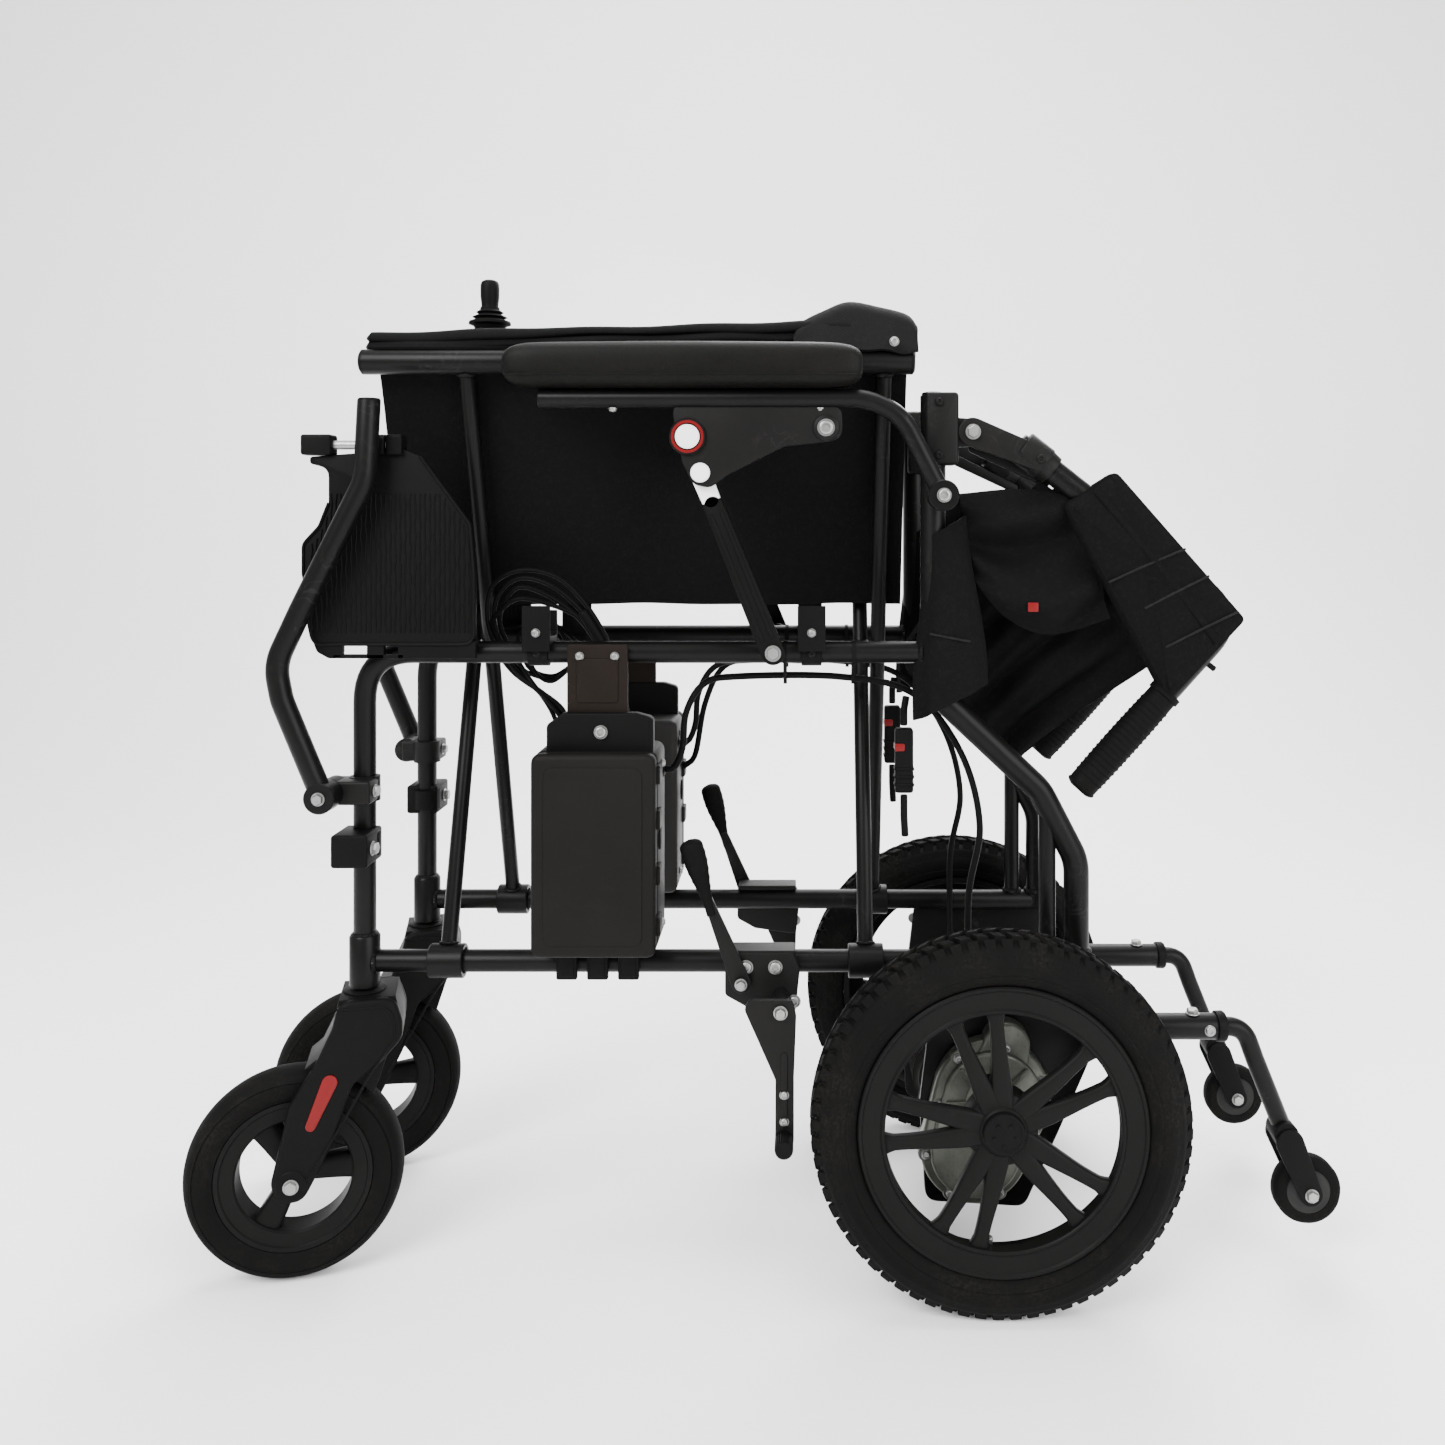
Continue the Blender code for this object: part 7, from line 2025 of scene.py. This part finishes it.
@dataclass(frozen=True)
class Brake:
    """A parking brake: bracket clamped on the lower rail, hand lever, and the arm that presses its roller."""

    station: float = 0.362
    arm_pin: tuple[float, float] = (0.362, 0.240)
    lever_pin: tuple[float, float] = (0.328, 0.252)
    shoe_out: float = 0.147
    foot: tuple[float, float] = (0.365, 0.135)

    def bracket(self) -> Shape:
        """The plate, the clamp over the rail, and a spacer at the arm's pin."""
        x, low = self.station, SIZES.half + SIZES.tube / 2 + 0.0003
        outline = [(x - 0.048, 0.262), (x - 0.048, 0.240), (x - 0.030, 0.230), (x + 0.012, 0.224), (x + 0.016, 0.262),
                   (x + 0.010, 0.276), (x - 0.044, 0.276)]
        body = plate(bent(outline, 0.005, closed=True), low, low + 0.010, 0.0012)
        lip = rounded_box((x - 0.046, low - 0.0150, 0.2728), (x + 0.012, low + 0.009, 0.2775), 0.002, 0.001, Axis.Z)
        spacer = rod((self.arm_pin[0], low + 0.009, self.arm_pin[1]), (self.arm_pin[0], self.shoe_out - 0.0036, self.arm_pin[1]), 0.013)
        return joined([body, lip, spacer])

    def bolts(self) -> Shape:
        """The clamp's two bolts, the stop's, and the pins of lever and arm."""
        low = SIZES.half + SIZES.tube / 2 + 0.0003
        x = self.station
        return joined([
            bolt((x - 0.030, low + 0.0100, 0.2640), (0, 1, 0), 0.0052, 0.0034, True),
            bolt((x - 0.005, low + 0.0100, 0.2640), (0, 1, 0), 0.0052, 0.0034, True),
            bolt((x + 0.011, low + 0.0100, 0.2350), (0, 1, 0), 0.0048, 0.0030, True),
            rod((self.lever_pin[0], low + 0.008, self.lever_pin[1]), (self.lever_pin[0], low + 0.0195, self.lever_pin[1]), 0.008),
            bolt((self.lever_pin[0], low + 0.0185, self.lever_pin[1]), (0, 1, 0), 0.0045, 0.0032),
            rod((self.arm_pin[0], low + 0.008, self.arm_pin[1]), (self.arm_pin[0], self.shoe_out + 0.0095, self.arm_pin[1]), 0.008),
            bolt((self.arm_pin[0], self.shoe_out + 0.0045, self.arm_pin[1]), (0, 1, 0), 0.0050, 0.0030),
        ])

    def lever(self) -> tuple[Shape, Shape]:
        """The flat steel lever and its moulded rubber grip, which swells towards its end."""
        low = SIZES.half + SIZES.tube / 2 + 0.0113
        px, pz = self.lever_pin
        neck, end = (px - 0.028, pz + 0.070), (px - 0.044, pz + 0.122)
        blade = plate(link_outline(self.lever_pin, neck, 0.0085, 0.0040, 20), low, low + 0.005, 0.0008)
        u = np.linspace(0, 1, 60)
        start = np.array([neck[0] + 0.003, low + 0.004, neck[1] - 0.012])
        finish = np.array([end[0], low + 0.004, end[1]])
        path = start + (finish - start) * u[:, None]
        radius = 0.0040 + 0.0060 * ease((u - 0.08) / 0.7) + 0.0004 * np.maximum(0, np.sin(u * TURN * 9)) * (u > 0.30) * (u < 0.85)
        radius = radius * np.sqrt(np.clip(1 - ((u - 0.90) / 0.10).clip(0, 1) ** 2.5, 0.04, 1))
        ring = circle(1.0, 32, 0.82)
        return blade, swept(path, radius[:, None, None] * ring, (0, 1, 0))

    def shoe(self) -> Shape:
        """The arm: a broad plate at the pin that narrows to a straight bar with a rib."""
        x, z, y = *self.arm_pin, self.shoe_out
        fx, fz = self.foot
        outline = [(x - 0.0300, z + 0.002), (x - 0.0260, z + 0.0098), (x + 0.010, z + 0.0095), (x + 0.0130, z - 0.004),
                   (fx + 0.0080, z - 0.054), (fx + 0.0080, fz - 0.006), (fx - 0.0074, fz - 0.006), (fx - 0.0072, z - 0.056),
                   (x - 0.0175, z - 0.026)]
        bar = plate(bent(outline, 0.006, closed=True), y - 0.003, y + 0.003, 0.0010)
        rib = plate(link_outline((fx, z - 0.036), (fx, fz + 0.012), 0.0030, 0.0030), y + 0.002, y + 0.0040, 0.0008)
        return bar + rib

    def roller(self) -> Shape:
        """The knurled roller that bites the tyre: its radius waves round it."""
        fx, fz = self.foot
        profile = [(0.0005, -0.012), (0.0068, -0.012), (0.0074, -0.0112), (0.0074, 0.0212), (0.0068, 0.022), (0.0005, 0.022)]
        shape = turned(profile, (fx, self.shoe_out, fz), sides=96)
        away = shape.points - (fx, 0, fz)
        wave = 1 + 0.035 * np.sin(24 * np.arctan2(away[:, 2], away[:, 0]))
        points = np.stack([fx + away[:, 0] * wave, shape.points[:, 1], fz + away[:, 2] * wave], axis=1)
        return shape.at(points)

    def build(self) -> None:
        """Makes both brakes."""
        pair("brake_plate", self.bracket(), CAST_BLACK, "side", ["brake_bracket"])
        pair("brake_bolts", self.bolts(), ZINC, "side")
        blade, grip = self.lever()
        pair("lever_blade", blade, CAST_BLACK, "brake_handle", ["brake_lever"])
        pair("lever_grip", grip, GRIP, "brake_handle")
        pair("shoe_arm", self.shoe(), CAST_BLACK, "brake_arm", ["brake_shoe"])
        pair("shoe_roller", self.roller(), BLACK_PLASTIC, "brake_arm")
        fx, _ = self.foot
        heads = [bolt((fx, self.shoe_out + 0.0030, z), (0, 1, 0), 0.0034, 0.0020, True) for z in (0.172, 0.150)]
        pair("shoe_bolts", joined(heads), ZINC, "brake_arm")


@dataclass(frozen=True)
class Joystick:
    """The drive control on the right arm."""

    stick: tuple[float, float] = (0.0543, 0.130)
    front: float = 0.012
    back: float = 0.1265
    bottom: float = 0.7555
    top: float = 0.8385
    width: float = 0.048
    pivot: float = 0.822
    knob_top: float = 0.898
    power: tuple[float, float] = (0.098, 0.130)

    def housing(self) -> Shape:
        """The case: a lower shell, a groove, an upper shell that narrows, and the stick's raised collar."""
        y, half = SIZES.outrigger, self.width / 2
        split = self.bottom + 0.046
        x, out = self.stick
        collar = [(0.0200, -0.0060), (0.0222, -0.0050), (0.0222, 0.0008), (0.0212, 0.0020), (0.0196, 0.0020),
                  (0.0192, -0.0060)]
        well = [(0.0192, -0.030), (0.0205, -0.030), (0.0205, -0.001), (0.0192, -0.001)]
        shapes = [
            rounded_box((self.front, y - half, self.bottom), (self.back, y + half, split - 0.0004), 0.009, 0.0040, Axis.Z),
            rounded_box((self.front + 0.0012, y - half + 0.0012, split - 0.003), (self.back - 0.0012, y + half - 0.0012, split + 0.003),
                        0.009, 0.0008, Axis.Z),
            turned(collar, (x, out, self.top - 0.0022), (0, 0, 1), 64, ring=True),
            turned(well, (x, out, self.top - 0.0022), (0, 0, 1), 64, ring=True),
        ]
        shapes.append(self.top_shell(split + 0.0004))
        return joined(shapes)

    def top_shell(self, low: float) -> Shape:
        """The upper shell: its outline rises from the groove, rolls over, and runs in to the stick's hole.

        Each ring is a mix of the rounded outline and a circle round the stick, both read at the same
        angles, so that the top closes on the collar.
        """
        y, half, (x, out) = SIZES.outrigger, self.width / 2, self.stick
        outline = bent([(self.front, y - half), (self.back, y - half), (self.back, y + half), (self.front, y + half)],
                       0.009, 10, closed=True)
        outline = np.vstack([outline, outline[:1]])
        travelled = np.append(0, np.cumsum(np.linalg.norm(np.diff(outline, axis=0), axis=1)))
        even = np.linspace(0, travelled[-1], 120, endpoint=False)
        outline = np.stack([np.interp(even, travelled, outline[:, i]) for i in range(2)], axis=1)
        away = outline - (x, out)
        hole = (x, out) + 0.0198 * away / np.linalg.norm(away, axis=1)[:, None]
        rings = []
        for inset, height in ((0.0, low), (0.0, self.top - 0.0070), (0.0010, self.top - 0.0030), (0.0032, self.top - 0.0010),
                              (0.0060, self.top)):
            rings.append((inset_outline(outline, [inset])[0], height))
        for share in np.linspace(0.25, 1.0, 5):
            rings.append((rings[4][0] * (1 - share) + hole * share, self.top))
        points = [np.column_stack([flat, np.full(len(flat), height)]) for flat, height in rings]
        under = [np.column_stack([points[-1][:, :2], np.full(120, self.top - 0.006)]),
                 np.column_stack([points[0][:, :2] * 1.0, np.full(120, low)])]
        return lofted(np.array(points + under[:1]), closed=True)

    def knob(self) -> Shape:
        """The knob: a waisted grip with a rounded top, turned about the stick."""
        x, out = self.stick
        top = self.knob_top
        profile = [(0.0005, top), (0.0050, top - 0.0003), (0.0080, top - 0.0016), (0.0094, top - 0.0042), (0.0098, top - 0.0085),
                   (0.0096, top - 0.0180), (0.0088, top - 0.0250), (0.0086, top - 0.0290), (0.0092, top - 0.0320),
                   (0.0070, top - 0.0332), (0.0060, top - 0.0380), (0.0045, self.pivot), (0.0005, self.pivot)]
        return turned(profile[::-1], (x, out, 0), (0, 0, 1), 56)

    def bellows(self) -> Shape:
        """The rubber boot: three flat pleats that widen downwards to its skirt."""
        x, out = self.stick
        z = self.top + 0.0065
        profile = [(0.0072, z + 0.0250), (0.0096, z + 0.0242), (0.0102, z + 0.0215), (0.0140, z + 0.0190), (0.0112, z + 0.0172),
                   (0.0178, z + 0.0140), (0.0140, z + 0.0120), (0.0212, z + 0.0092), (0.0216, z + 0.0066), (0.0168, z + 0.0048),
                   (0.0156, z + 0.0020), (0.0148, z + 0.0008), (0.0072, z + 0.0040)]
        return turned(profile, (x, out, 0), (0, 0, 1), 72, ring=True)

    def build(self) -> None:
        """Makes the control."""
        x, out = self.stick
        place("control_case", self.housing(), BLACK_PLASTIC, "right_arm", ["joystick_housing"])
        ring = [(0.0122, -0.003), (0.0152, -0.003), (0.0155, -0.0025), (0.0155, 0.0025), (0.0152, 0.003), (0.0122, 0.003)]
        gimbal = turned(ring, (x, out, self.pivot), (0, 0, 1), 56, ring=True)
        place("stick_ring", gimbal, ZINC, "stick_gimbal", ["joystick_gimbal"])
        ball = turned([(0.0005, -0.007), (0.0055, -0.006), (0.0080, -0.001), (0.0080, 0.001), (0.0055, 0.006), (0.0005, 0.007)],
                      (x, out, self.pivot), (0, 0, 1), 40)
        place("stick_knob", self.knob() + ball, BLACK_PLASTIC, "stick", ["joystick_stick"])
        place("stick_bellows", self.bellows(), GRIP, "stick")
        px, py = self.power
        cap = [(0.0005, -0.008), (0.0067, -0.008), (0.0067, 0.0012), (0.0060, 0.0022), (0.0048, 0.0025), (0.0040, 0.0021),
               (0.0005, 0.0019)]
        place("power_cap", turned(cap, (px, py, self.top), (0, 0, 1), 48), GREY_PLASTIC, "power_key", ["power_button"])
        ring = turned([(0.0072, -0.001), (0.0088, -0.001), (0.0088, 0.0008), (0.0072, 0.0008)], (px, py, self.top),
                      (0, 0, 1), 48, ring=True)
        keys = [rounded_box((px + 0.0128, py + side * 0.011 - 0.0045, self.top - 0.001), (px + 0.0205, py + side * 0.011 + 0.0045,
                            self.top + 0.0010), 0.002, 0.0005, Axis.Z) for side in (-1, 0, 1)]
        place("control_keys", joined([ring] + keys), GREY_PLASTIC, "right_arm")
        screws = [bolt((self.front - 0.0002, out + side * 0.016, self.bottom + 0.012), (-1, 0, 0), 0.0024, 0.0014, True)
                  for side in (-1, 1)]
        place("control_screws", joined(screws), ZINC, "right_arm")


@dataclass(frozen=True)
class Wiring:
    """Cables that are clipped along the chair, with their ties and connectors."""

    diameter: float = 0.006
    gap: float = 0.0015

    def motor_route(self) -> list[Point]:
        """From the side box back under the upper rail, then down in a slack bow to the motor."""
        end, inside = SIZES.length, SIZES.half - 0.023
        x, z = DriveWheel().motor
        box = SideBox()
        back = box.front + box.length
        return [(back + self.gap, inside, 0.425), (back + 0.010, inside, 0.427), (back + 0.017, inside, 0.445),
                (back + 0.020, inside, 0.475), (0.292, inside, 0.500), (0.320, inside, 0.507), (end - 0.080, inside, 0.507), (end - 0.015, inside, 0.492),
                (end + 0.027, inside, 0.440), (end + 0.044, inside, 0.375), (end + 0.034, inside, 0.310),
                (x + 0.002, inside - 0.002, z + 0.090), (x, inside - 0.004, z + 0.0415)]

    def control_route(self) -> list[Point]:
        """From under the control along the inside of the arm to its pivot."""
        end, side = SIZES.length, SIZES.outrigger - 0.0135
        start, low = Arm().pad_front - 0.004, Arm().pad_bottom
        return [(start - 0.040, side, low - 0.0033), (start - 0.0395, side, 0.7480), (start - 0.033, side, 0.7445),
                (start - 0.015, side, 0.7435), (0.160, side, 0.7440), (0.200, side, 0.744), (end - 0.130, side, 0.744),
                (end - 0.070, side, 0.743), (end - 0.040, side, 0.730), (end - 0.020, side, 0.700), (end - 0.014, side, 0.680)]

    def lead_route(self) -> list[Point]:
        """On from the arm's pivot, down outside the frame and forward to the controller box."""
        end, side = SIZES.length, SIZES.outrigger - 0.0135
        outside = SIZES.half + SIZES.tube / 2 + self.diameter / 2 + 0.002
        box = SideBox()
        back = box.front + box.length
        return [(end - 0.0137, side, 0.677), (end - 0.0150, side - 0.003, 0.655), (end - 0.0190, outside + 0.005, 0.620),
                (end - 0.0270, outside + 0.004, 0.575), (end - 0.042, outside + 0.003, 0.533), (end - 0.066, outside, 0.508),
                (end - 0.110, outside, 0.503), (0.335, outside, 0.505), (0.300, outside - 0.001, 0.497), (back + 0.024, outside - 0.003, 0.460),
                (back + 0.014, outside - 0.004, 0.408), (back + self.gap, outside - 0.004, 0.395)]

    def loops(self) -> Shape:
        """Three slack loops between the controller box and the upper rail."""
        y = SIZES.half - 0.026
        loops = []
        for k, (lift, spread) in enumerate(((0.0, 0.0), (0.012, 0.008), (0.024, -0.004))):
            route = [(0.176 - 0.004 * k, y - 0.003 * k, 0.448), (0.168 + spread, y - 0.004, 0.480),
                     (0.148 + spread, y - 0.003 * k, 0.520 + lift * 0.5), (0.122, y + 0.002 * k, 0.542 + lift * 0.4),
                     (0.104 - spread * 0.5, y, 0.530 + lift * 0.3), (0.108 - spread, y - 0.002, 0.502),
                     (0.132, y - 0.003 * k, 0.492 - lift * 0.2), (0.158, y - 0.006, 0.505), (0.186, y - 0.004 * k, 0.503)]
            loops.append(hose(route, 0.0042))
        return joined(loops)

    def battery_leads(self) -> Shape:
        """Four leads that rise from the battery box, arch over the upper rail and drop back, with a plug in one."""
        y = SIZES.half - 0.026
        leads = []
        for k, (lift, spread) in enumerate(((0.0, 0.0), (0.007, 0.006), (-0.008, -0.005), (-0.018, 0.002))):
            route = [(0.178 - 0.005 * k, y, 0.447), (0.160 + spread, y - 0.002 * k, 0.478), (0.128 - spread, y + 0.001 * k, 0.512),
                     (0.107 - spread, y - 0.002, 0.548), (0.109 - spread, y, 0.578 + lift), (0.128, y - 0.002 + 0.002 * k, 0.594 + lift),
                     (0.156 + spread, y, 0.588 + lift), (0.182 + spread, y - 0.002, 0.566 + lift * 0.5), (0.202 + spread, y, 0.536),
                     (0.214 + spread, y - 0.002 * k, 0.500), (0.222 + 0.004 * k, y, 0.447)]
            leads.append(hose(route, 0.0042))
        leads.append(tube(np.linspace((0.184, y - 0.0015, 0.5645), (0.202, y, 0.5360), 6), 0.0095, 0.0015))
        return joined(leads)

    def connector(self) -> Shape:
        """The motor's plug pair beside the back tube, with ribs and two strain reliefs."""
        x, y = SIZES.length - 0.0235, SIZES.half - 0.0205
        body = rounded_box((x - 0.0080, y - 0.006, 0.405), (x + 0.0080, y + 0.006, 0.462), 0.003, 0.002)
        ribs = [rounded_box((x - 0.0088, y - 0.0068, z), (x + 0.0088, y + 0.0068, z + 0.003), 0.002, 0.001) for z in (0.411, 0.418, 0.425)]
        tails = [tube(np.array([(x, y, 0.464), (x, y, 0.478), (x + 0.002, y, 0.490)]), 0.0065),
                 tube(np.array([(x, y, 0.403), (x, y, 0.385), (x + 0.001, y, 0.366)]), 0.0065)]
        return joined([body] + ribs + tails)

    def ties(self) -> Shape:
        """Cable ties that hold the motor cable to the frame: flat rings round cable and tube."""
        y = SIZES.half
        outline = []
        for station in (0.365, 0.425):
            ring = link_outline((y, SIZES.upper_rail), (y - 0.023, 0.5045), 0.0102, 0.0038, 18)
            section = inset_outline(ring, [0.0, 0.0009, 0.0009, 0.0])
            depth = np.array([station - 0.0016, station - 0.0016, station + 0.0016, station + 0.0016])
            points = np.concatenate([np.broadcast_to(depth[:, None, None], section.shape[:2] + (1,)), section], axis=-1)
            outline.append(lofted(points, closed=True))
        return joined(outline)

    def build(self) -> None:
        """Makes the cables."""
        pair("motor_lead", hose(self.motor_route(), self.diameter), CABLE_SKIN, "side", ["motor_cable"])
        place("control_cable", hose(self.control_route(), self.diameter), CABLE_SKIN, "right_arm", ["joystick_cable"])
        place("control_lead", hose(self.lead_route(), self.diameter), CABLE_SKIN, "right_side", ["joystick_lead"])
        pair("lead_loops", self.loops(), CABLE_SKIN, "side", sides=[Side.RIGHT])
        for leads in pair("battery_leads", self.battery_leads(), CABLE_SKIN, "side", sides=[Side.LEFT]):
            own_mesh(leads)
        pair("motor_plug", self.connector(), BLACK_PLASTIC, "side")
        clip = rounded_box((SIZES.length - 0.0320, SIZES.half - 0.0270, 0.442), (SIZES.length - 0.0230, SIZES.half - 0.0140, 0.449),
                           0.002, 0.001)
        pair("plug_clip", clip, RED_PLASTIC, "side")
        pair("cable_ties", self.ties(), BLACK_PLASTIC, "side")


# --- the room ---


@dataclass(frozen=True)
class Studio:
    """Floor, soft lights and the camera."""

    eye: tuple[float, float, float] = (0.026, -1.192, 0.637)
    lens: float = 31.54
    shift: tuple[float, float] = (-0.0536, -0.1332)

    def surround(self) -> None:
        """A pale sweep: flat floor that curves up behind the chair."""
        angle = np.linspace(0, math.pi / 2, 24)
        flat = np.array([(-3.0, 0.0), (1.4, 0.0)])
        curve = np.stack([1.4 + 0.9 * np.sin(angle), 0.9 - 0.9 * np.cos(angle)], axis=1)
        route = np.vstack([flat, curve[1:], [(2.3, 3.4)]])
        across = np.linspace(-4.0, 4.0, 9)
        points = np.stack(np.broadcast_arrays(across[None, :], route[:, :1], route[:, 1:]), axis=-1)
        rows, columns = points.shape[:2]
        index = np.arange(rows * columns).reshape(rows, columns)
        quads = np.stack([index[:-1, :-1], index[:-1, 1:], index[1:, 1:], index[1:, :-1]], axis=-1).reshape(-1, 4)
        mesh = bpy.data.meshes.new("floor")
        mesh.from_pydata((points.reshape(-1, 3) - (0, 0, 0.0002)).tolist(), [], quads.tolist())
        mesh.shade_smooth()
        shader = Shader("floor")
        shader.set(base_color=(0.93, 0.93, 0.93), roughness=0.85, specular_ior_level=0.2)
        mesh.materials.append(shader.material)
        floor = bpy.data.objects.new("floor", mesh)
        bpy.context.scene.collection.objects.link(floor)

    def light(self, name: str, place_at: Point, power: float, size: float, colour: Colour = (1, 1, 1)) -> None:
        """A square soft light that faces the middle of the chair."""
        lamp = bpy.data.lights.new(name, "AREA")
        lamp.energy, lamp.size, lamp.color = power, size, colour
        obj = bpy.data.objects.new(name, lamp)
        obj.location = place_at
        obj.rotation_euler = (Vector((0, 0, 0.45)) - obj.location).to_track_quat("-Z", "Y").to_euler()
        bpy.context.scene.collection.objects.link(obj)

    def build(self) -> None:
        """Makes the floor, lights, world and camera."""
        self.surround()
        self.light("key", (-1.5, -2.1, 2.3), 165, 1.6)
        self.light("fill", (1.9, -1.9, 1.3), 90, 1.8)
        self.light("top", (0.1, 0.2, 2.9), 120, 2.2)
        self.light("rim", (0.6, 1.5, 1.9), 60, 1.2)
        world = bpy.data.worlds.new("room")
        world.use_nodes = True
        world.node_tree.nodes["Background"].inputs["Color"].default_value = (1, 1, 1, 1)
        world.node_tree.nodes["Background"].inputs["Strength"].default_value = 0.85
        bpy.context.scene.world = world
        camera = bpy.data.cameras.new("camera")
        camera.sensor_width, camera.lens = 36, self.lens
        camera.shift_x, camera.shift_y = self.shift
        obj = bpy.data.objects.new("camera", camera)
        obj.location = self.eye
        obj.rotation_euler = (math.pi / 2, 0, 0)
        bpy.context.scene.collection.objects.link(obj)
        bpy.context.scene.camera = obj


def main() -> None:
    """Builds the chair and its room."""
    logging.basicConfig(level=logging.INFO, format="%(name)s: %(message)s")
    Studio().build()
    for assembly in (SideFrame(), CrossBrace(), SeatSling(), BackUpholstery(), BackCane(), Arm(), Legrest(), Caster(),
                     DriveWheel(), AntiTip(), SideBox(), Brake(), Joystick(), Wiring()):
        LOG.info("building %s", type(assembly).__name__)
        assembly.build()


if __name__ == "__main__":
    main()
